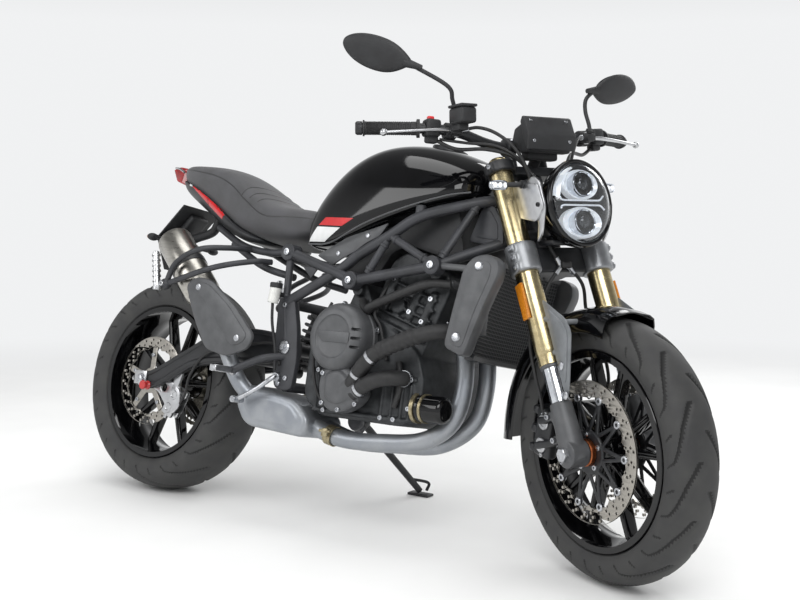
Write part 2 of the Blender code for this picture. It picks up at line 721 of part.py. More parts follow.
def lamp_rings(table, sides=LAMP_SIDES):
    centre = lay([LAMP_CENTRE_SHARE])[0]
    tilt = math.radians(LAMP_TILT_DEG)
    out = Vector((math.cos(tilt), 0, math.sin(tilt)))
    up = Vector((-math.sin(tilt), 0, math.cos(tilt)))
    rings = []
    for along, size in table:
        ring = []
        for k in range(sides):
            angle = 2 * math.pi * k / sides
            ring.append(centre + out * along * LAMP_DEEP + LEFT * LAMP_HALF_WIDE * size * math.cos(angle)
                        + up * LAMP_HALF_TALL * size * math.sin(angle))
        rings.append(ring)
    return rings


def make_headlight():
    """A round bowl with a rim, open in front, and the domed lens that fills the rim."""
    bowl = loft(lamp_rings(LAMP_RING_SHARES))
    seat_share = 0.88 + SEAM / LAMP_HALF_WIDE * 1.5
    seat = loft(lamp_rings([(-0.10 - SEAM / LAMP_DEEP, seat_share), (0.5, seat_share)]))
    keep(cut(bowl, [seat]), "headlight_bowl", "gloss_black", STEERING)
    keep(loft(lamp_rings(LENS_RING_SHARES)), "headlight_lens", "lamp_clear", STEERING)


INDICATOR_SHARE = (0.8575, 0.1082, 0.6185)
INDICATOR_STEM_SHARE = (0.8699, 0.0685, 0.6199)
BRACKET_SHARES = [(0.8493, 0, 0.5685), (0.8253, 0, 0.6199), (0.9075, 0, 0.6199), (0.9247, 0, 0.5822), (0.9041, 0, 0.5582)]
BRACKET_Y = 0.099


def make_headlight_bracket():
    """Two cheek plates from the fork to the lamp, joined behind it, with a lamp on each side's stem."""
    thick = 0.005
    outline = lay(BRACKET_SHARES)
    shapes = []
    for side in (-1, 1):
        stem, lamp = [Vector((p.x, side * p.y, p.z)) for p in lay([INDICATOR_STEM_SHARE, INDICATOR_SHARE])]
        shapes.append(side_plate(outline, side * BRACKET_Y, thick))
        shapes.append(rod(stem, lamp, 0.006, 10))
        shapes.append(block((0.016, 0.044, 0.026), lamp, None, 0.006))
        boss = Vector((outline[3].x - 0.020, side * BRACKET_Y, outline[3].z + 0.005))
        shapes.append(rod(boss, Vector((boss.x, side * LAMP_HALF_WIDE * 0.85, boss.z)), 0.010, 10))
    back = (outline[0] + outline[1]) / 2
    shapes.append(block((0.010, 2 * BRACKET_Y, 0.030), Vector((back.x + 0.036, 0, back.z)), None, 0))
    seats = ["fork_tube_left", "fork_tube_right", "headlight_bowl"]
    keep(fitted(fused(shapes), seats), "headlight_bracket", "satin_black", STEERING)


DASH_SHARES = [(0.8, 0, 0.6973), (0.8082, 0, 0.7192), (0.8384, 0, 0.7356), (0.8534, 0, 0.7055), (0.8493, 0, 0.6747),
               (0.8253, 0, 0.6747)]
DASH_WIDE = 0.140
DASH_POST_SHARES = [(0.8185, 0, 0.6815), (0.7973, 0, 0.6493)]
DASH_POST_R = 0.014


def make_dash():
    shell = side_plate(lay(DASH_SHARES), 0, DASH_WIDE)
    high, low = lay(DASH_POST_SHARES)
    keep(fitted(fused([shell, rod(low, high, DASH_POST_R, 8)]), ["fork_clamps"]), "dash", "satin_black", STEERING)


FENDER_WIDE = 0.146
FENDER_THICK = 0.003
GUARD_PAD_DROPS = (0.225, 0.300)
FENDER_R_SHARES = [(68, 1.052), (80, 1.058), (95, 1.066), (110, 1.08), (125, 1.09), (140, 1.10), (155, 1.115),
                   (170, 1.13), (182, 1.15)]
GUARD_SHARES = [(0.9144, 0, 0.4418), (0.9589, 0, 0.4233), (0.9863, 0, 0.411), (0.9842, 0, 0.3699), (0.976, 0, 0.2877),
                (0.9555, 0, 0.2774), (0.9384, 0, 0.3082), (0.9212, 0, 0.3562), (0.9041, 0, 0.411)]


def make_front_fender():
    """A thin arched shell over the tyre with a guard plate outside each fork leg."""
    rings = []
    for degrees, reach in FENDER_R_SHARES:
        angle = math.radians(degrees)
        r = FRONT_TYRE_R * reach
        half = FENDER_WIDE / 2
        outer = [(r - 0.050, half), (r - 0.016, half * 0.96), (r, half * 0.66), (r + 0.004, 0)]
        inner = [(a - FENDER_THICK, b - FENDER_THICK * 0.8 if b else 0) for a, b in outer[1:]]
        inner.insert(0, (outer[0][0], outer[0][1] - FENDER_THICK))
        ring = [(a, b) for a, b in outer] + [(a, -b) for a, b in outer[-2::-1]]
        ring += [(a, -b) for a, b in inner] + [(a, b) for a, b in inner[-2::-1]]
        rings.append([FRONT_AXLE + spin_place(a, angle) + LEFT * b for a, b in ring])
    shell = loft(rings)
    shapes = [shell]
    guard_y = FORK_Y + FORK_OUTER_R + 0.006
    for side in (-1, 1):
        shapes.append(side_plate(lay(GUARD_SHARES), side * guard_y, FENDER_THICK))
        for drop in GUARD_PAD_DROPS:
            pad = fork_point(drop, side * (FORK_Y + FORK_OUTER_R + SEAM))
            shapes.append(rod(pad, pad + LEFT * side * (guard_y - FORK_Y - FORK_OUTER_R), 0.009, 8))
        for degrees in (96, 103):
            back = FRONT_AXLE + spin_place(FRONT_TYRE_R * 0.97, math.radians(degrees))
            inside = Vector((back.x, side * (FENDER_WIDE / 2 - 0.004), back.z))
            outside = Vector((back.x, side * (guard_y + FENDER_THICK / 2), back.z))
            shapes.append(rod(inside, outside, 0.006, 8))
    keep(fused(shapes, "MANIFOLD"), "front_fender", "gloss_black", STEERING)


def make_front_axle():
    half = FORK_Y + 0.038
    shapes = [rod(FRONT_AXLE - LEFT * (half - 0.002), FRONT_AXLE + LEFT * half, AXLE_R, 12),
              rod(FRONT_AXLE - LEFT * half, FRONT_AXLE - LEFT * (FORK_Y + 0.0303), AXLE_R * 1.6, 12)]
    keep(fused(shapes), "front_axle", "brushed_steel", STEERING)


# Frame

UPPER_TUBE_SHARES = [(0.8055, 0.0096, 0.5945), (0.763, 0.0582, 0.5849), (0.7178, 0.0959, 0.5671), (0.6527, 0.113, 0.5459),
                     (0.5979, 0.1164, 0.5123), (0.537, 0.1151, 0.4795), (0.4904, 0.1116, 0.4486), (0.3699, 0.1027, 0.3877)]
LOWER_FRONT_SHARES = [(0.8274, 0.0096, 0.5411), (0.7712, 0.0719, 0.5034), (0.7027, 0.1219, 0.463)]
LOWER_REAR_SHARES = [(0.7027, 0.1219, 0.463), (0.5349, 0.1219, 0.4315)]
SEAT_TUBE_SHARES = [(0.5349, 0.1219, 0.4315), (0.4932, 0.1151, 0.4452), (0.3664, 0.1027, 0.4808)]
BRACES_SHARES = [[(0.6068, 0.1164, 0.5103), (0.6877, 0.1219, 0.4712)], [(0.5952, 0.1164, 0.5041), (0.5658, 0.1219, 0.4459)],
                 [(0.7432, 0.0788, 0.5719), (0.7116, 0.1178, 0.476)], [(0.3664, 0.1027, 0.4808), (0.3699, 0.1027, 0.3918)],
                 [(0.3699, 0.1027, 0.3918), (0.3877, 0.1027, 0.3082)]]
BOSSES_SHARES = [(0.7027, 0.1219, 0.463), (0.5349, 0.1219, 0.4315), (0.3664, 0.1027, 0.4808)]
CHEEK_SHARES = [(0.7671, 0, 0.5767), (0.7452, 0, 0.5719), (0.726, 0, 0.5151), (0.774, 0, 0.5082), (0.7945, 0, 0.5103),
                (0.7877, 0, 0.5479)]
PIVOT_SHARE = (0.387, 0, 0.3068)
PIVOT_PLATE_SHARES = [(0.3562, 0, 0.3973), (0.3938, 0, 0.4007), (0.411, 0, 0.3425), (0.4192, 0, 0.2877),
                      (0.4151, 0, 0.2308), (0.3733, 0, 0.2308), (0.363, 0, 0.274)]
STAND_PLATE_SHARES = [(0.3836, 0, 0.274), (0.4192, 0, 0.274), (0.4219, 0, 0.1795), (0.4041, 0, 0.1671), (0.3877, 0, 0.1795)]
PIVOT_PLATE_Y = 0.150
CROSS_SHARES = [(0.3699, 0.1027, 0.3877), (0.3938, 0.1027, 0.237), (0.3664, 0.1027, 0.4726)]
PEG_SHARE = (0.3096, 0.1534, 0.2534)
PEG_LONG = 0.075
PEG_ARM_SHARES = [(0.387, 0.1041, 0.2911), (0.3596, 0.137, 0.2808), (0.3096, 0.1562, 0.2534)]


PEG_R = 0.011
PEG_ARM_R = 0.010
CHEEK_Y = 0.090
CHEEK_THICK = 0.012
BRAKE_PEDAL_SHARES = [(0.3808, -0.1027, 0.2548), (0.3808, -0.1219, 0.2507), (0.3562, -0.1356, 0.226), (0.3192, -0.1425, 0.2034)]
GEAR_LEVER_SHARES = [(0.3733, 0.1027, 0.2637), (0.3733, 0.1219, 0.2603), (0.3527, 0.1356, 0.2432), (0.3219, 0.1425, 0.2315)]
PEDAL_R = 0.0065
PEDAL_PAD_HALF = 0.020
PEDAL_PAD_R = 0.009
RESERVOIR_STAY_SHARES = [(0.3678, -0.1027, 0.4014), (0.3658, -0.126, 0.4014)]
RESERVOIR_POT_SHARES = [(0.363, -0.1301, 0.3836), (0.3664, -0.1301, 0.4123), (0.3678, -0.1301, 0.4205)]
RESERVOIR_POT_R = 0.015
RESERVOIR_CAP_R = 0.017
BOSS_HALF = 0.016
BOSS_R = 0.023
TANK_PAD_SHARE = (0.6527, 0.1096, 0.5459)
TANK_PAD_TALL = 0.035


def both_sides(place):
    return [Vector((place.x, side * place.y, place.z)) for side in (-1, 1)]


def both(points, r, steps=1):
    return [tube(points, r, steps), tube(other_side(points), r, steps)]


def make_main_frame():
    """A tube trellis from the steering head round both sides of the engine to the swingarm pivot."""
    head_low = clamp_stem(LOWER_CLAMP_Z) + STEER_AXIS * (LOWER_CLAMP_TALL * CLAMP_BODY_SHARE / 2 + RUNNING_GAP)
    head_high = clamp_stem(UPPER_CLAMP_Z) - STEER_AXIS * (UPPER_CLAMP_TALL * CLAMP_BODY_SHARE / 2 + RUNNING_GAP)
    shapes = [rod(head_low, head_high, HEAD_TUBE_R, 12)]
    upper = lay(UPPER_TUBE_SHARES)
    shapes += both(upper[:1] + through(upper[1:], 7), FRAME_TUBE_R)
    for table in (LOWER_FRONT_SHARES, LOWER_REAR_SHARES, SEAT_TUBE_SHARES):
        shapes += both(lay(table), FRAME_TUBE_R)
    for brace in BRACES_SHARES:
        shapes += both(lay(brace), FRAME_BRACE_R)
    for place in lay(BOSSES_SHARES):
        for side in (-1, 1):
            centre = Vector((place.x, side * place.y, place.z))
            shapes.append(rod(centre - LEFT * BOSS_HALF, centre + LEFT * BOSS_HALF, BOSS_R, 8))
    for side in (-1, 1):
        shapes.append(side_plate(lay(PIVOT_PLATE_SHARES), side * PIVOT_PLATE_Y, 0.018))
        shapes.append(side_plate(lay(CHEEK_SHARES), side * CHEEK_Y, CHEEK_THICK))
        arm = [Vector((p.x, side * p.y, p.z)) for p in lay(PEG_ARM_SHARES)]
        shapes.append(tube(arm, PEG_ARM_R, 1))
        peg = lay([PEG_SHARE])[0]
        peg.y *= side
        shapes.append(rod(peg, peg + LEFT * side * PEG_LONG, PEG_R, 8))
    for table in (BRAKE_PEDAL_SHARES, GEAR_LEVER_SHARES):
        route = lay(table)
        pad = LEFT * PEDAL_PAD_HALF
        shapes.append(tube(route, PEDAL_R, 1))
        shapes.append(rod(route[-1] - pad, route[-1] + pad, PEDAL_PAD_R, 8))
    pot_low, pot_high, cap_high = lay(RESERVOIR_POT_SHARES)
    shapes.append(rod(*lay(RESERVOIR_STAY_SHARES), PEDAL_R, 8))
    shapes.append(rod(pot_low, pot_high, RESERVOIR_POT_R, 10))
    shapes.append(rod(pot_high - UP * OVERRUN, cap_high, RESERVOIR_CAP_R, 10))
    shapes.append(side_plate(lay(STAND_PLATE_SHARES), PIVOT_PLATE_Y, 0.016))
    stand = lay([STAND_PIVOT_SHARE])[0]
    bolt = stand_axis()
    lug_top = stand - bolt * (STAND_BOSS_HALF + RUNNING_GAP)
    shapes.append(rod(lug_top - bolt * 0.018, lug_top, 0.018, 10))
    shapes.append(rod(lug_top - bolt * 0.010, stand + bolt * (STAND_BOSS_HALF + 0.004), STAND_BOLT_R, 10))
    for place in both_sides(lay([TANK_PAD_SHARE])[0]):
        shapes.append(rod(place, place + UP * TANK_PAD_TALL, FRAME_TUBE_R, 8))
    for place in lay(CROSS_SHARES):
        shapes.append(rod(place, other_side([place])[0], FRAME_TUBE_R, 8))
    pivot = lay([PIVOT_SHARE])[0]
    bores = [bore(steer_point(0.5), steer_point(1.2), STEM_R, RUNNING_GAP),
             bore(pivot - LEFT * 0.2, pivot + LEFT * 0.2, PIVOT_R)]
    keep(cut(fused(shapes), bores + [grown("fuel_tank")]), "main_frame", "frame_grey", BIKE)


PIVOT_R = 0.012
ARM_SHARES = [(-0.0274, 0, 0.2055), (-0.0274, 0, 0.2274), (0.0253, 0, 0.2363), (0.1164, 0, 0.2842), (0.2096, 0, 0.3308),
              (0.3082, 0, 0.337), (0.4041, 0, 0.3219), (0.4041, 0, 0.2911), (0.3082, 0, 0.2726), (0.226, 0, 0.2685),
              (0.137, 0, 0.2534), (0.0411, 0, 0.2034)]
ARM_Y = 0.125
ARM_THICK = 0.026
ARM_GROOVE_SHARES = [(0.0425, 0, 0.2397), (0.1164, 0, 0.2781), (0.2055, 0, 0.3226), (0.2055, 0, 0.3089), (0.1164, 0, 0.2658),
                     (0.0425, 0, 0.2281)]
ARM_GROOVE_DEEP = 0.004


def make_swingarm():
    """Two deep arms with a bridge ahead of the tyre, on the pivot bolt."""
    outline = lay(ARM_SHARES)
    pivot = lay([PIVOT_SHARE])[0]
    shapes = [side_plate(outline, side * ARM_Y, ARM_THICK) for side in (-1, 1)]
    shapes.append(block((0.085, 2 * ARM_Y, 0.042), Vector((outline[9].x + 0.070, 0, outline[9].z + 0.024)),
                        None, 0.010))
    shapes.append(rod(pivot - LEFT * ARM_Y, pivot + LEFT * ARM_Y, PIVOT_R * 1.55, 12))
    eye = lay([SHOCK_SHARES[0]])[0]
    shapes.append(rod(eye - LEFT * SHOCK_PIN_HALF, eye + LEFT * SHOCK_PIN_HALF, SHOCK_PIN_R, 10))
    for side in (-1, 1):
        lug = eye + LEFT * side * SHOCK_PIN_HALF
        shapes.append(bar(lug, Vector((outline[9].x + 0.080, lug.y, outline[9].z + 0.022)), 0.022, 0.008, 1))
    bolt = PIVOT_PLATE_Y + 0.014
    shapes.append(rod(pivot - LEFT * bolt, pivot + LEFT * bolt, PIVOT_R, 16))
    bores = [bore(REAR_AXLE - LEFT * 0.2, REAR_AXLE + LEFT * 0.2, AXLE_R)]
    for side in (-1, 1):
        bores.append(side_plate(lay(ARM_GROOVE_SHARES), side * (ARM_Y + ARM_THICK / 2), 2 * ARM_GROOVE_DEEP))
    keep(cut(fused(shapes), bores), "swingarm", "satin_black", BIKE)


def make_rear_axle():
    half = ARM_Y + ARM_THICK / 2 + 0.012
    shapes = [rod(REAR_AXLE - LEFT * half, REAR_AXLE + LEFT * half, AXLE_R, 12)]
    for side in (-1, 1):
        inner = ARM_Y + ARM_THICK / 2 + SEAM
        shapes.append(rod(REAR_AXLE + LEFT * side * inner, REAR_AXLE + LEFT * side * half, AXLE_R * 1.7, 12))
    keep(fused(shapes), "rear_axle", "brushed_steel", BIKE)


REAR_CALIPER_SHARE = (0.0808, -0.0685, 0.1795)
CALIPER_HANGER_SHARES = [(0.0795, -0.0801, 0.1884), (0.0959, -0.0801, 0.2411)]
CALIPER_HANGER_WIDE = 0.026
CALIPER_HANGER_THICK = 0.009


def make_rear_caliper():
    centre = lay([REAR_CALIPER_SHARE])[0]
    centre.y = REAR_DISC_Y
    out = (centre - Vector((0, REAR_DISC_Y, REAR_TYRE_R))).normalized()
    turn = axes_turn(out, LEFT, out.cross(LEFT))
    body = block((0.046, 0.040, 0.090), centre, turn, 0.008)
    slot = rod(Vector((0, REAR_DISC_Y - DISC_THICK, REAR_TYRE_R)), Vector((0, REAR_DISC_Y + DISC_THICK, REAR_TYRE_R)),
               REAR_DISC_R + 0.004, 40)
    low, high = lay(CALIPER_HANGER_SHARES)
    hanger = bar(low, high, CALIPER_HANGER_WIDE, CALIPER_HANGER_THICK, 1)
    made = fitted(cut(fused([body, hanger]), [slot]), ["swingarm"])
    keep(made, "rear_caliper", "brushed_steel", BIKE)


# Engine, cooling and exhaust

CASE_SHARES = [(0.4384, 0, 0.226), (0.4384, 0, 0.3562), (0.4795, 0, 0.3938), (0.5685, 0, 0.3836), (0.6747, 0, 0.3219),
               (0.6952, 0, 0.274), (0.6918, 0, 0.2123), (0.6575, 0, 0.1952), (0.4795, 0, 0.1952)]
CASE_WIDE = 0.300
BARREL_SHARES = [(0.5479, 0, 0.3425), (0.5925, 0, 0.4726), (0.6199, 0, 0.4897), (0.7123, 0, 0.4555), (0.7192, 0, 0.4247),
                 (0.6747, 0, 0.3082)]
BARREL_WIDE = 0.270
ENGINE_LUGS_SHARES = [(0.6986, 0, 0.4521), (0.5384, 0, 0.4192)]
ENGINE_LUG_R = 0.016
ENGINE_REAR_LUG_SHARES = [(0.5103, 0, 0.3836), (0.5288, 0, 0.4315), (0.5479, 0, 0.4315), (0.5719, 0, 0.3801)]
CASE_RIBS_SHARES = [(0.4726, 0, 0.2363), (0.4918, 0, 0.2363), (0.6164, 0, 0.2363), (0.637, 0, 0.2363), (0.6781, 0, 0.2363)]
CASE_RIB_SIZE = (0.007, 0.010, 0.090)
CASE_BEAD_SHARE = (0.6438, 0, 0.2945)
CASE_BEAD_SIZE = (0.110, 0.012, 0.010)
BARREL_FOOT_SHARE = (0.626, 0, 0.3521)
BARREL_RISE_SHARE = (0.0445, 0, 0.1301)
FIN_COUNT = 5
FIN_PITCH = 0.026
FIN_FIRST = 0.008
FIN_SIZE = (0.170, 0.020, 0.007)
FIN_STEP_IN = 0.006
HEAD_POST_STEPS = (-0.068, 0.014, 0.060)
HEAD_POST_SIZE = (0.022, 0.026, 0.090)
HEAD_POST_RISE = 0.085
CAM_COVER_SIZE = (0.190, 0.250, 0.040)
CAM_COVER_RISE = 0.160


def engine_ribs():
    """The cast ribs of both crankcase halves, the fins and screw posts of the cylinders, and the cam cover."""
    shapes = []
    up = lay([BARREL_RISE_SHARE])[0].normalized()
    across = LEFT.cross(up)
    turn = axes_turn(across, LEFT, up)
    foot = lay([BARREL_FOOT_SHARE])[0]
    for side in (-1, 1):
        for place in lay(CASE_RIBS_SHARES):
            shapes.append(block(CASE_RIB_SIZE, place + LEFT * side * CASE_WIDE / 2))
        shapes.append(block(CASE_BEAD_SIZE, lay([CASE_BEAD_SHARE])[0] + LEFT * side * CASE_WIDE / 2))
        face = foot + LEFT * side * BARREL_WIDE / 2
        for k in range(FIN_COUNT):
            long, deep, thick = FIN_SIZE
            shapes.append(block((long - FIN_STEP_IN * k, deep, thick), face + up * (FIN_FIRST + FIN_PITCH * k), turn))
        for step in HEAD_POST_STEPS:
            shapes.append(block(HEAD_POST_SIZE, face + across * step + up * HEAD_POST_RISE, turn))
    shapes.append(block(CAM_COVER_SIZE, foot + up * CAM_COVER_RISE, turn))
    return shapes


def make_engine():
    """Crankcase with the cylinders leaning forward out of it, as one heavy block."""
    case = side_plate(lay(CASE_SHARES), 0, CASE_WIDE)
    barrel = side_plate(lay(BARREL_SHARES), 0, BARREL_WIDE)
    sprocket = lay([FRONT_SPROCKET_SHARE])[0]
    pocket = block((0.130, 0.100, 0.130), Vector((sprocket.x, SPROCKET_Y - 0.016 + 0.050, sprocket.z)))
    front_lug, rear_lug = lay(ENGINE_LUGS_SHARES)
    reach = LEFT * (lay([BOSSES_SHARES[0]])[0].y - BOSS_HALF - SEAM)
    lugs = [rod(front_lug - reach, front_lug + reach, ENGINE_LUG_R, 10),
            side_plate(lay(ENGINE_REAR_LUG_SHARES), 0, CASE_WIDE - ENGINE_LUG_R),
            rod(rear_lug - reach, rear_lug + reach, ENGINE_LUG_R, 10)]
    shaft = Vector((sprocket.x, SPROCKET_Y, sprocket.z))
    drive = [rod(shaft - LEFT * 0.06, shaft + LEFT * 0.008, 0.012, 10),
             rod(shaft - LEFT * 0.003, shaft + LEFT * 0.003, FRONT_SPROCKET_R, 16)]
    body = cut(fused([case, barrel] + lugs + engine_ribs()), [pocket])
    keep(fused([body] + drive), "engine", "engine_grey", BIKE)


CLUTCH_SHARE = (0.5301, 0, 0.3315)
CLUTCH_R = 0.090
CLUTCH_DEEP = 0.070
CLUTCH_STEP = 0.005
CLUTCH_SLOT_SIZE = (0.030, 0.020, 0.0075)
CLUTCH_SLOT_PITCH = 0.022
CLUTCH_BAND_SHARES = [(0.4966, 0, 0.3404), (0.5644, 0, 0.3404), (0.5644, 0, 0.3219), (0.5068, 0, 0.3219), (0.4959, 0, 0.3329)]
GENERATOR_SHARE = (0.5411, 0, 0.3014)
GENERATOR_R = 0.085
GENERATOR_DEEP = 0.055


def make_engine_covers():
    clutch = lay([CLUTCH_SHARE])[0]
    clutch.y = -CASE_WIDE / 2 - SEAM
    profile = [(0, CLUTCH_DEEP - CLUTCH_STEP), (CLUTCH_R * 0.57, CLUTCH_DEEP - CLUTCH_STEP),
               (CLUTCH_R * 0.62, CLUTCH_DEEP), (CLUTCH_R * 0.76, CLUTCH_DEEP),
               (CLUTCH_R * 0.90, CLUTCH_DEEP - 2 * CLUTCH_STEP), (CLUTCH_R * 0.97, CLUTCH_DEEP - 5 * CLUTCH_STEP),
               (CLUTCH_R, CLUTCH_DEEP - 8 * CLUTCH_STEP), (CLUTCH_R, 0), (0, 0)]
    face = clutch - LEFT * CLUTCH_DEEP
    band = side_plate(lay(CLUTCH_BAND_SHARES), face.y + CLUTCH_STEP, CLUTCH_STEP)
    slots = [block(CLUTCH_SLOT_SIZE, face + FORWARD * CLUTCH_R * 0.80 + UP * k * CLUTCH_SLOT_PITCH) for k in (-1, 0, 1)]
    keep(cut(fused([turned(profile, clutch, -LEFT, 30), band]), slots), "clutch_cover", "cover_grey", BIKE)
    generator = lay([GENERATOR_SHARE])[0]
    generator.y = CASE_WIDE / 2 + SEAM
    profile = [(0, GENERATOR_DEEP), (GENERATOR_R * 0.6, GENERATOR_DEEP), (GENERATOR_R * 0.92, GENERATOR_DEEP * 0.8),
               (GENERATOR_R, GENERATOR_DEEP * 0.6), (GENERATOR_R, 0), (0, 0)]
    keep(turned(profile, generator, LEFT, 26), "generator_cover", "cover_grey", BIKE)


CASE_FRONT = lay(CASE_SHARES)[5].x
PUMP_SHARES = [(0.5041, 0, 0.263), (0.5205, 0, 0.2671), (0.5493, 0, 0.2651), (0.5767, 0, 0.274), (0.5932, 0, 0.2534),
               (0.5959, 0, 0.2363), (0.5822, 0, 0.2192), (0.5582, 0, 0.2055), (0.5274, 0, 0.2055), (0.5082, 0, 0.2205),
               (0.5, 0, 0.2466)]
PUMP_DEEP = 0.050
PUMP_LID_SHARES = [(0.5178, 0, 0.2603), (0.5479, 0, 0.2589), (0.5795, 0, 0.2534), (0.5767, 0, 0.2295), (0.5479, 0, 0.2158),
                   (0.5205, 0, 0.226)]
PUMP_LID_DEEP = 0.012
HOSE_A_SHARES = [(0.5719, -0.1336, 0.2548), (0.6027, -0.1473, 0.2877), (0.6356, -0.1507, 0.3144), (0.6925, -0.1404, 0.3425),
                 (0.7288, -0.1164, 0.3562), (0.7521, -0.0877, 0.3562)]
HOSE_B_SHARES = [(0.5788, -0.1336, 0.2397), (0.6096, -0.1404, 0.2589), (0.6404, -0.137, 0.2705), (0.6603, -0.1151, 0.274),
                 (0.6603, -0.103, 0.274)]
HOSE_R = 0.019


def make_coolant_hoses():
    """The water pump on the crankcase with its two hoses."""
    back = -CASE_WIDE / 2 - SEAM
    shapes = [side_plate(lay(PUMP_SHARES), back - PUMP_DEEP / 2, PUMP_DEEP),
              side_plate(lay(PUMP_LID_SHARES), back - PUMP_DEEP, PUMP_LID_DEEP)]
    shapes.append(tube(through(lay(HOSE_A_SHARES), 9), HOSE_R, 1))
    shapes.append(tube(seated(lay(HOSE_B_SHARES), 6), HOSE_R, 1))
    keep(fused(shapes), "coolant_hoses", "satin_black", BIKE)


FILTER_SHARE = (0.6986, -0.089, 0.2301)


def make_oil_filter():
    centre = lay([FILTER_SHARE])[0]
    long = 0.075
    start = Vector((CASE_FRONT - 0.010, centre.y, centre.z))
    profile = [(0, long), (0.030, long), (0.034, long - 0.006), (0.034, 0), (0, 0)]
    keep(fitted(turned(profile, start, FORWARD, 24), ["engine"]), "oil_filter", "gloss_black", BIKE)



RADIATOR_ARC_SHARES = [(0.7877, 0.1027, 0), (0.7753, 0.0548, 0), (0.7712, 0, 0)]
RADIATOR_THICK = 0.026
RADIATOR_LOW_SHARE = 0.3164
RADIATOR_HIGH_SHARE = 0.4795
RADIATOR_LEAN_SHARE = 0.0274
RADIATOR_COVER_SHARES = [(0.7699, 0, 0.4603), (0.7877, 0, 0.4795), (0.8151, 0, 0.4836), (0.8342, 0, 0.4726), (0.837, 0, 0.4521),
                         (0.8151, 0, 0.3973), (0.789, 0, 0.3164), (0.7493, 0, 0.3315), (0.7568, 0, 0.3836)]
RADIATOR_COVER_Y = 0.182
RADIATOR_COVER_THICK = 0.040
RADIATOR_LUG_SHARES = [(0.7808, 0.1219, 0.4603), (0.7055, 0.1219, 0.463)]
RADIATOR_LUG_R = 0.008


def make_radiator():
    """A radiator bowed round the front wheel, with a moulded cover on each end."""
    low = lay([(0, 0, RADIATOR_LOW_SHARE)])[0].z
    high = lay([(0, 0, RADIATOR_HIGH_SHARE)])[0].z
    lean = lay([(RADIATOR_LEAN_SHARE, 0, 0)])[0]
    arc = lay(RADIATOR_ARC_SHARES)
    front = [p for p in arc] + other_side(arc[-2::-1])
    back = [p - FORWARD * RADIATOR_THICK for p in front[::-1]]
    ring = front + back
    rings = [[p + UP * low for p in ring], [p + UP * high + lean for p in ring]]
    shapes = [loft(rings)]
    for side in (-1, 1):
        shapes.append(side_plate(lay(RADIATOR_COVER_SHARES), side * RADIATOR_COVER_Y, RADIATOR_COVER_THICK))
        shapes.append(block((0.020, 0.040, 0.120), Vector((arc[0].x + lean.x / 2 - RADIATOR_THICK / 2,
                      side * (RADIATOR_COVER_Y - 0.030), (low + high) / 2)), None))
        inner, outer = [Vector((p.x, side * p.y, p.z)) for p in lay(RADIATOR_LUG_SHARES)]
        shapes.append(rod(inner, outer, RADIATOR_LUG_R, 8))
    keep(fitted(fused(shapes), ["main_frame"]), "radiator", "satin_black", BIKE)


PIPE_RIGHT_SHARES = [(0.6849, -0.0342, 0.3733), (0.7205, -0.0342, 0.3425), (0.7329, -0.0356, 0.274), (0.7233, -0.0445, 0.2123),
                     (0.6849, -0.0651, 0.1767), (0.6164, -0.0767, 0.1644), (0.5226, -0.0822, 0.1603), (0.4384, -0.0822, 0.1795)]
PIPE_LEFT_SHARES = [(0.6849, 0.0377, 0.3733), (0.7205, 0.0377, 0.3425), (0.7301, 0.0377, 0.274), (0.7178, 0.0308, 0.2123),
                    (0.6747, 0, 0.1712), (0.6027, -0.0274, 0.1616), (0.5226, -0.0452, 0.1589), (0.4384, -0.0479, 0.1795)]
COLLECTOR_SHARES = [(0.4623, 0, 0.1521), (0.3164, 0, 0.1589), (0.2877, 0, 0.1986), (0.2932, 0, 0.2336), (0.3425, 0, 0.2295),
                    (0.4342, 0, 0.2164), (0.4712, 0, 0.1849)]
COLLECTOR_Y = -0.095
COLLECTOR_WIDE = 0.150
TAIL_PIPE_SHARES = [(0.3185, -0.1027, 0.2089), (0.2911, -0.1178, 0.2397), (0.2548, -0.1233, 0.2945)]
SILENCER_SHARES = [(0.1952, -0.1178, 0.3664), (0.0568, -0.113, 0.4986)]
GUARD_OUTLINE_SHARES = [(0.1548, 0, 0.3966), (0.1884, 0, 0.4192), (0.226, 0, 0.4144), (0.2877, 0, 0.3733), (0.3356, 0, 0.3219),
                        (0.3178, 0, 0.2925), (0.2671, 0, 0.2774), (0.211, 0, 0.2842), (0.1795, 0, 0.3288)]
SILENCER_GUARD_Y = -0.232
SILENCER_GUARD_THICK = 0.012
GUARD_PADS_SHARES = [(0.2658, -0.1267, 0.2932), (0.1795, -0.1233, 0.3836)]
GUARD_PAD_R = 0.010


def make_exhaust():
    """Two header pipes that run under the engine into a flat collector box, and the pipe out of it."""
    shapes = [tube(through(lay(PIPE_RIGHT_SHARES), 12), PIPE_R, 1)]
    shapes.append(tube(through(lay(PIPE_LEFT_SHARES), 12), PIPE_R, 1))
    shapes.append(side_plate(lay(COLLECTOR_SHARES), COLLECTOR_Y, COLLECTOR_WIDE))
    front, rear = lay(SILENCER_SHARES)
    along = (rear - front).normalized()
    run_in = [front - along * PIPE_R, front - along * SEAM]
    shapes.append(tube(seated(lay(TAIL_PIPE_SHARES) + run_in, 6), PIPE_R, 1))
    keep(fitted(fused(shapes), ["engine"]), "exhaust", "pipe_grey", BIKE)


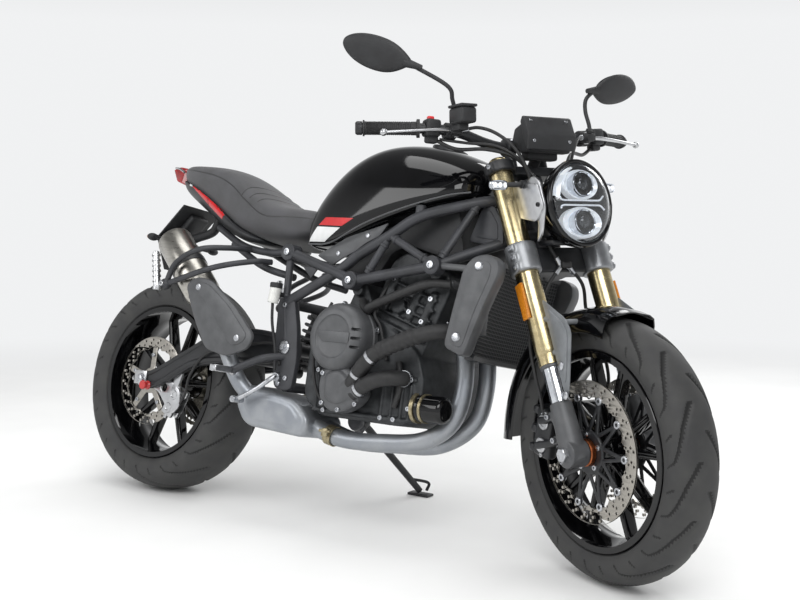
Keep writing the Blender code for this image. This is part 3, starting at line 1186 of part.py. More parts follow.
def make_silencer():
    front, rear = lay(SILENCER_SHARES)
    along = (rear - front).normalized()
    long = (rear - front).length
    bore_r = SILENCER_R * 0.62
    profile = [(0, long - 0.030), (bore_r, long - 0.030), (bore_r, long), (SILENCER_R * 0.94, long),
               (SILENCER_R, long - 0.012), (SILENCER_R, 0.055), (PIPE_R * 1.3, 0.005), (PIPE_R * 1.3, 0), (0, 0)]
    can = turned(profile, front, along, 20)
    keep(can, "silencer", "brushed_steel", BIKE)
    shapes = [side_plate(lay(GUARD_OUTLINE_SHARES), SILENCER_GUARD_Y, SILENCER_GUARD_THICK)]
    for end in lay(GUARD_PADS_SHARES):
        shapes.append(rod(end, Vector((end.x, SILENCER_GUARD_Y, end.z)), GUARD_PAD_R, 10))
    keep(fitted(fused(shapes), ["exhaust", "silencer"]), "silencer_guard", "cover_grey", BIKE)


# Tank, seat and tail

TANK_STATIONS_SHARES = [
    (0.3849, [(0, 0.574), (0.0411, 0.5726), (0.0719, 0.5582), (0.0925, 0.5288), (0.0973, 0.5034), (0.0822, 0.4945), (0, 0.4945)]),
    (0.411, [(0, 0.6336), (0.0479, 0.6247), (0.0856, 0.5945), (0.1062, 0.5445), (0.1082, 0.4966), (0.0925, 0.4904), (0, 0.4904)]),
    (0.4658, [(0, 0.6836), (0.0548, 0.674), (0.0959, 0.637), (0.1151, 0.5719), (0.113, 0.5), (0.0959, 0.4945), (0, 0.4945)]),
    (0.5411, [(0, 0.7027), (0.0582, 0.6932), (0.1027, 0.661), (0.1205, 0.5993), (0.1205, 0.5329), (0.1027, 0.526), (0, 0.526)]),
    (0.6301, [(0, 0.6945), (0.0582, 0.6836), (0.1027, 0.6541), (0.1233, 0.6027), (0.1233, 0.5616), (0.1027, 0.5521), (0, 0.5521)]),
    (0.7055, [(0, 0.6699), (0.0548, 0.6616), (0.0959, 0.637), (0.1151, 0.6062), (0.1164, 0.5822), (0.0959, 0.5726), (0, 0.5726)]),
    (0.7432, [(0, 0.6473), (0.0445, 0.6411), (0.0788, 0.6247), (0.0993, 0.6096), (0.1014, 0.5904), (0.0822, 0.5836), (0, 0.5836)]),
]


def stations(table):
    rings = []
    for x, half in table:
        places = lay([(x, y, z) for y, z in half])
        rings.append(mirrored_ring(places[0].x, [(p.y, p.z) for p in places]))
    return rings


def make_tank():
    keep(subdivided(loft(stations(TANK_STATIONS_SHARES)), 1), "fuel_tank", "gloss_black", BIKE)


AIRBOX_SHARES = [(0.4795, 0, 0.4534), (0.5479, 0, 0.5356), (0.6164, 0, 0.5582), (0.7123, 0, 0.5822), (0.7363, 0, 0.4795),
                 (0.7226, 0, 0.4726), (0.6164, 0, 0.5034), (0.5822, 0, 0.4897), (0.5342, 0, 0.411)]
AIRBOX_WIDE = 0.240
INFILL_SHARES = [(0.4301, 0, 0.4774), (0.4973, 0, 0.5151), (0.5596, 0, 0.5479), (0.589, 0, 0.5479), (0.5664, 0, 0.5151),
                 (0.5356, 0, 0.5007), (0.5185, 0, 0.4877), (0.487, 0, 0.4726), (0.4678, 0, 0.4603)]
INFILL_Y = 0.148
INFILL_THICK = 0.006
INFILL_STAYS_SHARES = [(0.5151, 0, 0.489), (0.5562, 0, 0.5192)]
INFILL_STAY_R = 0.009


def make_airbox():
    """The air box under the tank, with the panels on stays that close the gaps beside the seat."""
    shapes = [side_plate(lay(AIRBOX_SHARES), 0, AIRBOX_WIDE)]
    for side in (-1, 1):
        shapes.append(side_plate(lay(INFILL_SHARES), side * INFILL_Y, INFILL_THICK))
    for stay in lay(INFILL_STAYS_SHARES):
        shapes.append(rod(stay - LEFT * INFILL_Y, stay + LEFT * INFILL_Y, INFILL_STAY_R, 8))
    keep(fitted(fused(shapes), ["main_frame", "fuel_tank", "engine"]), "airbox", "engine_grey", BIKE)


SEAT_STATIONS_SHARES = [
    (0.3973, [(0, 0.5699), (0.0479, 0.5671), (0.0685, 0.5514), (0.0808, 0.5233), (0.0685, 0.5103), (0, 0.5103)]),
    (0.3288, [(0, 0.5795), (0.0582, 0.5753), (0.0856, 0.5582), (0.0973, 0.5219), (0.0822, 0.5055), (0, 0.5055)]),
    (0.274, [(0, 0.5822), (0.0685, 0.5788), (0.0959, 0.5616), (0.1027, 0.5274), (0.0836, 0.5034), (0, 0.5034)]),
    (0.2123, [(0, 0.6151), (0.0616, 0.6096), (0.0856, 0.5904), (0.0945, 0.5445), (0.0767, 0.5171), (0, 0.5171)]),
    (0.1575, [(0, 0.6521), (0.0548, 0.6438), (0.074, 0.6219), (0.0822, 0.5719), (0.0644, 0.5411), (0, 0.5411)]),
    (0.1027, [(0, 0.6671), (0.0479, 0.6616), (0.0651, 0.6425), (0.0712, 0.6027), (0.0548, 0.5699), (0, 0.5699)]),
    (0.0342, [(0, 0.6726), (0.0397, 0.6685), (0.0534, 0.6562), (0.0575, 0.6336), (0.0425, 0.6027), (0, 0.6027)]),
    (-0.0479, [(0, 0.6781), (0.024, 0.6753), (0.0308, 0.6685), (0.0329, 0.6575), (0.0205, 0.6336), (0, 0.6336)]),
]


def make_seat():
    cushion = subdivided(loft(stations(SEAT_STATIONS_SHARES)), 1)
    keep(fitted(cushion, ["tail_cover", "fuel_tank"]), "seat", "seat_grey", BIKE)


def make_tail_lamp():
    lamp = side_plate(lay(TAIL_LAMP_SHARES), 0, TAIL_LAMP_WIDE)
    keep(fitted(lamp, ["tail_cover", "seat"]), "tail_lamp", "lamp_red", BIKE)


TAIL_STATIONS_SHARES = [
    (0.274, [(0, 0.5123), (0.0479, 0.5123), (0.0822, 0.511), (0.0945, 0.5068), (0.089, 0.4945), (0, 0.4945)]),
    (0.2055, [(0, 0.5288), (0.0548, 0.5288), (0.0788, 0.5288), (0.089, 0.524), (0.0836, 0.5034), (0, 0.5034)]),
    (0.1507, [(0, 0.5534), (0.0479, 0.5534), (0.0671, 0.5562), (0.0836, 0.5616), (0.0753, 0.524), (0, 0.5219)]),
    (0.0959, [(0, 0.5822), (0.0411, 0.5822), (0.0562, 0.5863), (0.0726, 0.5959), (0.063, 0.5534), (0, 0.5445)]),
    (0.0274, [(0, 0.6137), (0.0342, 0.6137), (0.0452, 0.6178), (0.0589, 0.6267), (0.0452, 0.5904), (0, 0.5788)]),
    (-0.0479, [(0, 0.6507), (0.0192, 0.65), (0.026, 0.6486), (0.0315, 0.6452), (0.0247, 0.6288), (0, 0.6219)]),
]


TAIL_LAMP_SHARES = [(-0.0342, 0, 0.6288), (-0.0342, 0, 0.6712), (-0.0651, 0, 0.6753), (-0.0863, 0, 0.6685),
                    (-0.0699, 0, 0.6384)]
TAIL_LAMP_WIDE = 0.060


def make_tail():
    keep(subdivided(loft(stations(TAIL_STATIONS_SHARES)), 1), "tail_cover", "satin_black", BIKE)



PLATE_ARM_SHARES = [(0.0651, 0, 0.5822), (0.0548, 0, 0.5521), (0.0411, 0, 0.5342), (-0.0068, 0, 0.5205), (-0.0514, 0, 0.5)]
PLATE_SIZE = (0.004, 0.170, 0.120)


def make_plate_bracket():
    """The hanger under the tail with its plate holder and the two rear lamps on short stems."""
    arm = lay(PLATE_ARM_SHARES)
    shapes = [tube(arm, 0.014, 1)]
    tilt = Matrix.Rotation(math.radians(-28), 4, "Y")
    foot = arm[-1]
    shapes.append(block(PLATE_SIZE, foot + tilt @ Vector((0, 0, -0.030)), tilt))
    for side in (-1, 1):
        lamp = foot + Vector((0.016, side * 0.125, 0.012))
        shapes.append(rod(foot + Vector((0.016, 0, 0.012)), lamp, 0.007, 8))
        shapes.append(block((0.030, 0.040, 0.024), lamp, None, 0.006))
    keep(fitted(fused(shapes), ["tail_cover"]), "plate_bracket", "satin_black", BIKE)


RAIL_UPPER_SHARES = [(0.3664, 0.0808, 0.4897), (0.2945, 0.0767, 0.4836), (0.2055, 0.0651, 0.4979), (0.1096, 0.0445, 0.537)]
RAIL_LOWER_SHARES = [(0.3582, 0.0767, 0.4384), (0.274, 0.0753, 0.4575), (0.1712, 0.0582, 0.5021)]
PEG_BRACKET_SHARES = [[(0.2959, 0.0767, 0.4658), (0.2808, 0.113, 0.4603), (0.226, 0.1603, 0.4384), (0.1103, 0.1644, 0.4027)],
                      [(0.2363, 0.0719, 0.489), (0.2192, 0.1199, 0.4836), (0.1849, 0.1603, 0.4726), (0.1301, 0.163, 0.4452),
                       (0.1103, 0.1644, 0.4027)]]
PILLION_PEG_SHARES = [(0.1021, 0.1767, 0.3918), (0.0842, 0.1767, 0.463)]


def make_rear_frame():
    """Two pairs of seat rails bolted to the main frame, with open brackets for the folded rear pegs."""
    shapes = []
    for table in (RAIL_UPPER_SHARES, RAIL_LOWER_SHARES):
        shapes += both(lay(table), FRAME_BRACE_R)
    for table in PEG_BRACKET_SHARES:
        shapes += both(lay(table), FRAME_BRACE_R * 0.8)
    for side in (-1, 1):
        low, high = [Vector((p.x, side * p.y, p.z)) for p in lay(PILLION_PEG_SHARES)]
        shapes.append(rod(low, high, 0.012, 8))
        end = lay([PEG_BRACKET_SHARES[0][-1]])[0]
        end.y *= side
        shapes.append(ball(end, (0.022, 0.024, 0.018), None, 6, 4))
    for table in (RAIL_UPPER_SHARES, RAIL_LOWER_SHARES):
        end = lay([table[-1]])[0]
        shapes.append(rod(end, other_side([end])[0], FRAME_BRACE_R, 10))
    keep(fitted(fused(shapes), ["tail_cover"]), "rear_frame", "frame_grey", BIKE)


SHOCK_SHARES = [(0.3233, 0, 0.2658), (0.3671, 0, 0.3863)]
SPRING_R = 0.030
SHOCK_PIN_R = 0.008
SHOCK_PIN_HALF = 0.024


def make_shock():
    low, high = lay(SHOCK_SHARES)
    long = (high - low).length
    turns = 5
    profile = [(0, long), (SPRING_R * 0.5, long), (SPRING_R * 0.5, long * 0.88)]
    for k in range(turns):
        top = long * (0.88 - 0.70 * k / turns)
        step = long * 0.70 / turns
        profile += [(SPRING_R, top - step * 0.15), (SPRING_R, top - step * 0.55), (SPRING_R * 0.72, top - step * 0.7)]
    profile += [(SPRING_R * 0.5, long * 0.16), (SPRING_R * 0.5, 0), (0, 0)]
    unit = turned(profile, low, high - low, 10)
    keep(fitted(unit, ["main_frame", "swingarm"]), "shock_absorber", "brushed_steel", BIKE)


FRONT_SPROCKET_SHARE = (0.4384, 0.0685, 0.3014)
CHAIN_THICK = 0.012
CHAIN_DEEP = 0.013
CHAIN_WAIST = 0.008
CHAIN_LINKS = 112
CHAIN_GAP = 0.004
FRONT_SPROCKET_R = 0.040


def make_chain():
    """The drive chain as one closed loop of links round both sprockets, each link waisted between its pins."""
    front = lay([FRONT_SPROCKET_SHARE])[0]
    front.y = SPROCKET_Y
    rear = REAR_AXLE + LEFT * SPROCKET_Y
    centre_line = belt_outline(rear, SPROCKET_R + CHAIN_GAP + CHAIN_DEEP / 2, front, FRONT_SPROCKET_R + CHAIN_DEEP / 2)
    places = spaced(centre_line, 2 * CHAIN_LINKS)
    half = LEFT * CHAIN_THICK / 2
    rings = [[], [], [], []]
    for k, place in enumerate(places):
        along = places[(k + 1) % len(places)] - places[k - 1]
        out = LEFT.cross(along).normalized() * (CHAIN_WAIST if k % 2 else CHAIN_DEEP) / 2
        for ring, corner in zip(rings, (out + half, out - half, -out - half, -out + half)):
            ring.append(place + corner)
    bm = bmesh.new()
    rows = [[bm.verts.new(p) for p in ring] for ring in rings]
    for a, b in zip(rows, rows[1:] + rows[:1]):
        for k in range(len(a)):
            n = (k + 1) % len(a)
            bm.faces.new((a[k], a[n], b[n], b[k]))
    keep(fitted(from_bmesh(bm), ["engine"]), "drive_chain", "brushed_steel", BIKE)


def spaced(loop, count):
    """Evenly spaced places along a closed line."""
    ends = loop[1:] + loop[:1]
    lengths = [(b - a).length for a, b in zip(loop, ends)]
    step = sum(lengths) / count
    places = []
    k = 0
    passed = 0
    for n in range(count):
        while passed + lengths[k] < n * step:
            passed += lengths[k]
            k += 1
        places.append(loop[k].lerp(ends[k], (n * step - passed) / lengths[k]))
    return places


def belt_outline(rear, rear_r, front, front_r, steps=80):
    """A loop round two circles: half a turn about each, joined by the straight runs."""
    along = front - rear
    slope = math.atan2(along.z, along.x)
    spread = math.acos((rear_r - front_r) / along.length)
    points = []
    for k in range(steps + 1):
        angle = slope + spread + (2 * math.pi - 2 * spread) * k / steps
        points.append(rear + spin_place(rear_r, angle))
    for k in range(steps // 2 + 1):
        angle = slope - spread + 2 * spread * k / (steps // 2)
        points.append(front + spin_place(front_r, angle))
    return points


STAND_FOOT_SHARE = (0.4548, 0.2774, 0.0562)
STAND_PIVOT_SHARE = (0.4027, 0.1281, 0.187)
STAND_R = 0.011
STAND_BOSS_HALF = 0.012
STAND_BOLT_R = 0.006
STAND_FOLDED_SHARES = (-0.6747, 0.0959, 0.0685)


def stand_axis():
    """The pivot bolt's direction: square to the leg both when it is down and when it is folded back."""
    pivot, foot = lay([STAND_PIVOT_SHARE, STAND_FOOT_SHARE])
    return (foot - pivot).cross(Vector(STAND_FOLDED_SHARES)).normalized()


def make_side_stand():
    """The leg from its pivot below the frame out to the foot that rests on the floor."""
    pivot, foot = lay([STAND_PIVOT_SHARE, STAND_FOOT_SHARE])
    leg = (foot - pivot).normalized()
    down = Vector((0, -math.sin(LEAN), -math.cos(LEAN)))
    sole_thick = 0.008
    bolt = stand_axis()
    shapes = [tube([pivot, foot - down * sole_thick - leg * 0.004], STAND_R, 1, (1.0, 0.9))]
    shapes.append(rod(pivot - bolt * STAND_BOSS_HALF, pivot + bolt * STAND_BOSS_HALF, 0.018, 14))
    turn = Matrix.Rotation(-LEAN, 4, "X")
    shapes.append(block((0.075, 0.034, sole_thick), foot - down * sole_thick / 2, turn))
    hole = bore(pivot - bolt * 0.03, pivot + bolt * 0.03, STAND_BOLT_R, RUNNING_GAP)
    keep(cut(fused(shapes), [hole]), "side_stand", "satin_black", STAND)


# The parked bike

def empty(name, place, parent=None, turn=None):
    made = bpy.data.objects.new(name, None)
    bpy.context.scene.collection.objects.link(made)
    made.parent = parent
    made.location = place - (ANCHORS[parent.name] if parent else Vector())
    if turn is not None:
        made.rotation_euler = turn.to_euler()
    ANCHORS[name] = place.copy()
    return made


clear_scene()
PARTS = collection("standard_motorcycle")
ANCHORS = {}
BIKE = empty("bike", Vector())
STEERING = empty("steering", steer_point(UPPER_CLAMP_Z), BIKE, Matrix.Rotation(STEER_REST, 3, STEER_AXIS))
FRONT_HUB = empty("front_hub", FRONT_AXLE, STEERING)
REAR_HUB = empty("rear_hub", REAR_AXLE, BIKE)
STAND = empty("stand_pivot", lay([STAND_PIVOT_SHARE])[0], BIKE)
PARENT = {"front_tyre": FRONT_HUB, "front_wheel": FRONT_HUB, "front_discs": FRONT_HUB,
          "rear_tyre": REAR_HUB, "rear_wheel": REAR_HUB, "rear_disc": REAR_HUB, "rear_sprocket": REAR_HUB}

make_tyre("front_tyre", FRONT_TYRE_R, FRONT_TYRE_WIDTH, FRONT_AXLE)
make_tyre("rear_tyre", REAR_TYRE_R, REAR_TYRE_WIDTH, REAR_AXLE)
make_rim("front_wheel", FRONT_TYRE_WIDTH, FRONT_AXLE, FRONT_HUB_R, FRONT_HUB_HALF, FRONT_HUB_R * 0.62 + SEAM)
make_rim("rear_wheel", REAR_TYRE_WIDTH, REAR_AXLE, REAR_HUB_R, REAR_HUB_HALF, AXLE_R + RUNNING_GAP)
make_front_discs()
make_rear_disc()
make_rear_sprocket()
make_fork()
make_fork_clamps()
make_handlebar()
make_hand_controls()
make_brake_hoses()
make_mirrors()
make_headlight()
make_headlight_bracket()
make_dash()
make_front_fender()
make_front_axle()
make_tank()
make_main_frame()
make_swingarm()
make_rear_axle()
make_rear_caliper()
make_engine()
make_engine_covers()
make_coolant_hoses()
make_oil_filter()
make_radiator()
make_exhaust()
make_silencer()
make_airbox()
make_tail()
make_seat()
make_tail_lamp()
make_plate_bracket()
make_rear_frame()
make_shock()
make_chain()
make_side_stand()

# Park it: lean it over, pitch it until both tyres touch the floor, and centre it on its footprint


def world_low(obj):
    return min((obj.matrix_world @ v.co).z for v in obj.data.vertices)


BIKE.rotation_euler = (-LEAN, 0, 0)
for _ in range(4):
    bpy.context.view_layer.update()
    front_low = world_low(PARTS.objects["front_tyre"])
    rear_low = world_low(PARTS.objects["rear_tyre"])
    BIKE.rotation_euler.y += math.atan2(front_low - rear_low, WHEELBASE)
bpy.context.view_layer.update()
corners = [obj.matrix_world @ v.co for obj in PARTS.objects for v in obj.data.vertices]
low = Vector([min(p[k] for p in corners) for k in range(3)])
high = Vector([max(p[k] for p in corners) for k in range(3)])
BIKE.location -= Vector(((low.x + high.x) / 2, (low.y + high.y) / 2, low.z))
bpy.context.view_layer.update()
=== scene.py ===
"""The looks of the standard motorcycle: finishes, fine pieces, a plain studio and the camera."""
import json
import math

import bmesh
import bpy
from mathutils import Matrix, Vector
from mathutils.bvhtree import BVHTree


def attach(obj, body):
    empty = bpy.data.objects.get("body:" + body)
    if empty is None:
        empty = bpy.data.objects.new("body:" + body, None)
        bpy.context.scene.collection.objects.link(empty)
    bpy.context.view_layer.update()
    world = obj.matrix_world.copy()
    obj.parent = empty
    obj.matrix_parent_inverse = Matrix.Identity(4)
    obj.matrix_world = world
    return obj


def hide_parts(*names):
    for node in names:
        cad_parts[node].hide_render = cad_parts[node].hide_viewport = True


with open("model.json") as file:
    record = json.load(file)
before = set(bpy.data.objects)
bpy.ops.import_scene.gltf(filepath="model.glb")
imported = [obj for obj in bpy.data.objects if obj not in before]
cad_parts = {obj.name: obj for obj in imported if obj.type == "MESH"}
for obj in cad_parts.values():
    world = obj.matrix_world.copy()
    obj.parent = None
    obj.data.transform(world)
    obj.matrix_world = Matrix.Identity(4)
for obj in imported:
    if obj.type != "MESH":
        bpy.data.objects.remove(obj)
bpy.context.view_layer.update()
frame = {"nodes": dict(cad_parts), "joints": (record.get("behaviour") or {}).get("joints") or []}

# Sizes of the bike that the pieces here follow, in metres. The bike is drawn upright and unsteered,
# +X forward, +Y to its left, +Z up, from the floor point under its rear axle
WHEELBASE = 1.460
REAR_TYRE_R = 0.315
REAR_TYRE_WIDTH = 0.180
FRONT_TYRE_R = 0.300
FRONT_TYRE_WIDTH = 0.120
RAKE = math.radians(23.56)
STEER_STOP = math.radians(26.75)
TRAIL = 0.0969
FORK_Y = 0.105
FORK_OUTER_R = 0.028
SEAM = 0.0003

UP = Vector((0, 0, 1))
LEFT = Vector((0, 1, 0))
FORWARD = Vector((1, 0, 0))
STEER_AXIS = Vector((-math.sin(RAKE), 0, math.cos(RAKE)))
STEER_BACK = STEER_AXIS.cross(LEFT)
STEER_FOOT = Vector((WHEELBASE + TRAIL, 0, 0))
REAR_AXLE = Vector((0, 0, REAR_TYRE_R))
FRONT_AXLE = Vector((WHEELBASE, 0, FRONT_TYRE_R))


def bike_place():
    """The leaning bike's own axes in the frame, found from its rear axle and steering axis."""
    joints = {joint["name"]: joint for joint in frame["joints"]}
    left = Vector(joints["rear_wheel_spin"]["axis"])
    steer = Vector(joints["steering"]["axis"])
    forward = -(steer.cross(left) * math.cos(RAKE) + steer * math.sin(RAKE)).normalized()
    turn = Matrix((forward, left, forward.cross(left))).transposed().to_4x4()
    rear = Vector(joints["rear_wheel_spin"]["pos_m"])
    return Matrix.Translation(rear) @ turn @ Matrix.Translation(-REAR_AXLE)


BIKE = bike_place()
STEERED = (BIKE @ Matrix.Translation(STEER_FOOT) @ Matrix.Rotation(-STEER_STOP, 4, STEER_AXIS)
           @ Matrix.Translation(-STEER_FOOT))
PLACES = {"chassis": BIKE, "rear_wheel": BIKE, "side_stand": BIKE, "fork": STEERED, "front_wheel": STEERED}


# Shapes, each a bmesh in the upright bike's own frame


def facing(normal, up_hint=UP):
    """A rotation whose Z runs along normal."""
    z = Vector(normal).normalized()
    x = Vector(up_hint).cross(z)
    if x.length < 1e-6:
        x = FORWARD.copy()
    x.normalize()
    return Matrix((x, z.cross(x), z)).transposed().to_4x4()


def axes_turn(x, y, z):
    """A rotation onto three given axes."""
    return Matrix((x.normalized(), y.normalized(), z.normalized())).transposed().to_4x4()


def lay(points):
    """The points as vectors."""
    return [Vector(p) for p in points]


def to_side(points, side):
    """The points on the bike's left (1) or right (-1), from places given on its left."""
    return [Vector((p[0], side * p[1], p[2])) for p in points]


def fork_point(drop, y=0):
    """A point on a fork leg's line, that far above the front axle, y to the left."""
    return FRONT_AXLE + STEER_AXIS * drop + LEFT * y


def on_stem(place):
    """The point of the steering axis that lies square to a place."""
    return STEER_FOOT + STEER_AXIS * (place - STEER_FOOT).dot(STEER_AXIS)


def angles(count, start=0):
    """Equal steps round a circle, begun that share of a step on."""
    return [2 * math.pi * (k + start) / count for k in range(count)]


def spin_place(r, angle):
    """A place at that radius and angle in a wheel's plane, from its axle."""
    return Vector((r * math.cos(angle), 0, r * math.sin(angle)))


def through(points, count):
    """A smooth route through the points, as count + 1 places."""
    pts = [2 * points[0] - points[1]] + list(points) + [2 * points[-1] - points[-2]]
    spans = len(points) - 1
    route = []
    for k in range(count + 1):
        t = k / count * spans
        i = min(int(t), spans - 1)
        t -= i
        a, b, c, d = pts[i:i + 4]
        route.append(0.5 * (2 * b + (c - a) * t + (2 * a - 5 * b + 4 * c - d) * t ** 2
                            + (3 * b - a - 3 * c + d) * t ** 3))
    return route


def loft(rings, ends=True):
    """A skin over closed rings of equally many points, with a face over each end."""
    bm = bmesh.new()
    rows = [[bm.verts.new(p) for p in ring] for ring in rings]
    for low, high in zip(rows, rows[1:]):
        for k in range(len(low)):
            n = (k + 1) % len(low)
            bm.faces.new((low[k], low[n], high[n], high[k]))
    if ends:
        bm.faces.new(rows[0][::-1])
        bm.faces.new(rows[-1])
    return bm


def tube(points, radii, sides=16, flat=1.0):
    """A round bar along the points; radii is one radius or one for each point, flat squashes it."""
    if not isinstance(radii, (list, tuple)):
        radii = [radii] * len(points)
    rings = []
    across = None
    for k, point in enumerate(points):
        along = (points[min(k + 1, len(points) - 1)] - points[max(k - 1, 0)]).normalized()
        if across is None:
            across = along.cross(UP if abs(along.z) < 0.9 else FORWARD)
        across = (across - along * across.dot(along)).normalized()
        other = along.cross(across)
        rings.append([point + (across * math.cos(a) + other * flat * math.sin(a)) * radii[k]
                      for a in angles(sides)])
    return loft(rings)


def rod(a, b, r, r2=None, sides=24, chamfer=0.0006):
    """A turned pin from a to b with broken edges."""
    a = Vector(a)
    b = Vector(b)
    r2 = r if r2 is None else r2
    long = (b - a).length
    return turned([(0, long), (r2 - chamfer, long), (r2, long - chamfer), (r, chamfer), (r - chamfer, 0),
                   (0, 0)], a, b - a, sides)


def turned(profile, centre, axis, steps=64):
    """A shape turned about the axis, from (radius, height) pairs; an open start and end close up."""
    turn = Matrix.Translation(centre) @ facing(axis)
    rows = list(profile) + ([] if profile[0][0] == 0 else [profile[0]])
    rings = [[turn @ Vector((r * math.cos(a), r * math.sin(a), h))
              for a in angles(steps)] for r, h in rows]
    bm = loft(rings, ends=False)
    bmesh.ops.remove_doubles(bm, verts=bm.verts, dist=1e-6)
    return bm


def block(size, centre, turn=None, soften=0.002, segments=2):
    """A box with broken edges."""
    bm = bmesh.new()
    bmesh.ops.create_cube(bm, size=1)
    bmesh.ops.scale(bm, vec=Vector(size), verts=bm.verts)
    if soften:
        bmesh.ops.bevel(bm, geom=bm.edges, offset=soften, segments=segments, affect="EDGES", profile=0.5)
    bmesh.ops.transform(bm, matrix=Matrix.Translation(centre) @ (turn or Matrix()), verts=bm.verts)
    return bm


def ball(centre, radii, turn=None, u=24, v=16):
    """A ball, or an egg where its radii differ."""
    bm = bmesh.new()
    bmesh.ops.create_uvsphere(bm, u_segments=u, v_segments=v, radius=1)
    bmesh.ops.scale(bm, vec=Vector(radii), verts=bm.verts)
    bmesh.ops.transform(bm, matrix=Matrix.Translation(centre) @ (turn or Matrix()), verts=bm.verts)
    return bm


def mesh_of(shapes):
    """The shapes joined as one plain mesh, each with its faces pointing out."""
    whole = bmesh.new()
    for bm in shapes:
        bmesh.ops.recalc_face_normals(bm, faces=bm.faces)
        part = bpy.data.meshes.new("part")
        bm.to_mesh(part)
        bm.free()
        whole.from_mesh(part)
        bpy.data.meshes.remove(part)
    mesh = bpy.data.meshes.new("whole")
    whole.to_mesh(mesh)
    whole.free()
    return mesh


def worked(obj):
    """The object with its modifiers worked out, as a bmesh, and the object gone."""
    bpy.context.view_layer.update()
    graph = bpy.context.evaluated_depsgraph_get()
    mesh = bpy.data.meshes.new_from_object(obj.evaluated_get(graph))
    mesh.transform(obj.matrix_world)
    bpy.data.objects.remove(obj, do_unlink=True)
    bm = bmesh.new()
    bm.from_mesh(mesh)
    bpy.data.meshes.remove(mesh)
    return bm


def loose(data):
    """An object in the scene that only lasts while a shape is worked out."""
    obj = bpy.data.objects.new("loose", data)
    bpy.context.scene.collection.objects.link(obj)
    return obj


def plate(outlines, thick, place, soften=0.0):
    """Flat outlines of (u, v) points, thick along place's Z; an outline inside another is a hole."""
    curve = bpy.data.curves.new("plate", "CURVE")
    curve.dimensions = "2D"
    curve.fill_mode = "BOTH"
    curve.extrude = thick / 2 - soften
    curve.bevel_depth = soften
    curve.offset = -soften
    curve.bevel_resolution = 1
    for outline in outlines:
        line = curve.splines.new("POLY")
        line.points.add(len(outline) - 1)
        for point, (u, v) in zip(line.points, outline):
            point.co = (u, v, 0, 1)
        line.use_cyclic_u = True
    obj = loose(curve)
    obj.matrix_world = place
    bm = worked(obj)
    bmesh.ops.remove_doubles(bm, verts=bm.verts, dist=1e-6)
    return bm


def side_plate(points, y, thick, soften=0.0015, holes=()):
    """A plate in a plane of constant y, from points of the side view."""
    place = Matrix(((1, 0, 0), (0, 0, -1), (0, 1, 0))).to_4x4()
    place.translation = LEFT * y
    return plate([[(p[0], p[-1]) for p in points]] + list(holes), thick, place, soften)


def ring_outline(r, sides=48, u=0, v=0):
    """A circle as an outline round (u, v)."""
    return [(u + r * math.cos(a), v + r * math.sin(a)) for a in angles(sides)]


def rounded(points, r, steps=4):
    """An outline of (u, v) points with its corners rounded."""
    made = []
    for k, corner in enumerate(points):
        here = Vector((corner[0], corner[-1]))
        before = Vector((points[k - 1][0], points[k - 1][-1])) - here
        after = Vector((points[(k + 1) % len(points)][0], points[(k + 1) % len(points)][-1])) - here
        reach = min(r, before.length / 2.2, after.length / 2.2)
        a = here + before.normalized() * reach
        b = here + after.normalized() * reach
        for i in range(steps + 1):
            t = i / steps
            made.append(tuple(a * (1 - t) ** 2 + here * 2 * t * (1 - t) + b * t ** 2))
    return made


def softened(shapes, levels=2):
    """Coarse cages made round by subdivision."""
    obj = loose(mesh_of(shapes))
    smooth = obj.modifiers.new("Smooth", "SUBSURF")
    smooth.levels = levels
    smooth.render_levels = levels
    return worked(obj)


# The share of its faces that a casting keeps, so that the whole stays light
CAST_FACES_KEPT = 0.30


def cast(shapes, voxel=0.0025, rounds=6):
    """Shapes run together as one casting, with small fillets where they meet."""
    obj = loose(mesh_of(shapes))
    join = obj.modifiers.new("Join", "REMESH")
    join.mode = "VOXEL"
    join.voxel_size = voxel
    fillet = obj.modifiers.new("Fillet", "SMOOTH")
    fillet.factor = 0.5
    fillet.iterations = rounds
    thin = obj.modifiers.new("Fewer faces", "DECIMATE")
    thin.ratio = CAST_FACES_KEPT
    return worked(obj)


def bar(a, b, wide, deep, taper=0.8, across=LEFT, round_share=0.25, steps=4):
    """A cast arm from a to b with round corners, deep along across."""
    along = (b - a).normalized()
    side = along.cross(across).normalized()
    over = side.cross(along)
    section = rounded([(-0.5, -0.5), (0.5, -0.5), (0.5, 0.5), (-0.5, 0.5)], round_share, 3)
    rings = []
    for k in range(steps + 1):
        t = k / steps
        size = 1 + (taper - 1) * t
        rings.append([a + (b - a) * t + side * u * wide * size + over * v * deep * size for u, v in section])
    return loft(rings)


def cap_screw(place, out, r=0.006, tall=0.005):
    """A socket-head screw: a round head with its hollow."""
    profile = [(0, tall * 0.35), (r * 0.45, tall * 0.35), (r * 0.5, tall), (r * 0.86, tall), (r, tall * 0.8),
               (r, 0), (0, 0)]
    return turned(profile, place, out, 14)


def hex_nut(place, out, r=0.009, tall=0.007):
    """A six-sided nut with broken corners."""
    turn = Matrix.Translation(place) @ facing(out)
    return loft([[turn @ Vector((r * size * math.cos(a), r * size * math.sin(a), h))
                  for a in (math.pi / 3 * i for i in range(6))]
                 for size, h in ((1, 0), (1, tall * 0.85), (0.86, tall))])


# Finishes, each named for what the real surface is. Patterns are measured in the bike's own frame


def linear(hex_colour):
    """An sRGB hex colour as linear red, green, blue and alpha."""
    channels = [int(hex_colour[k:k + 2], 16) / 255 for k in (1, 3, 5)]
    return [c / 12.92 if c <= 0.04045 else ((c + 0.055) / 1.055) ** 2.4 for c in channels] + [1]


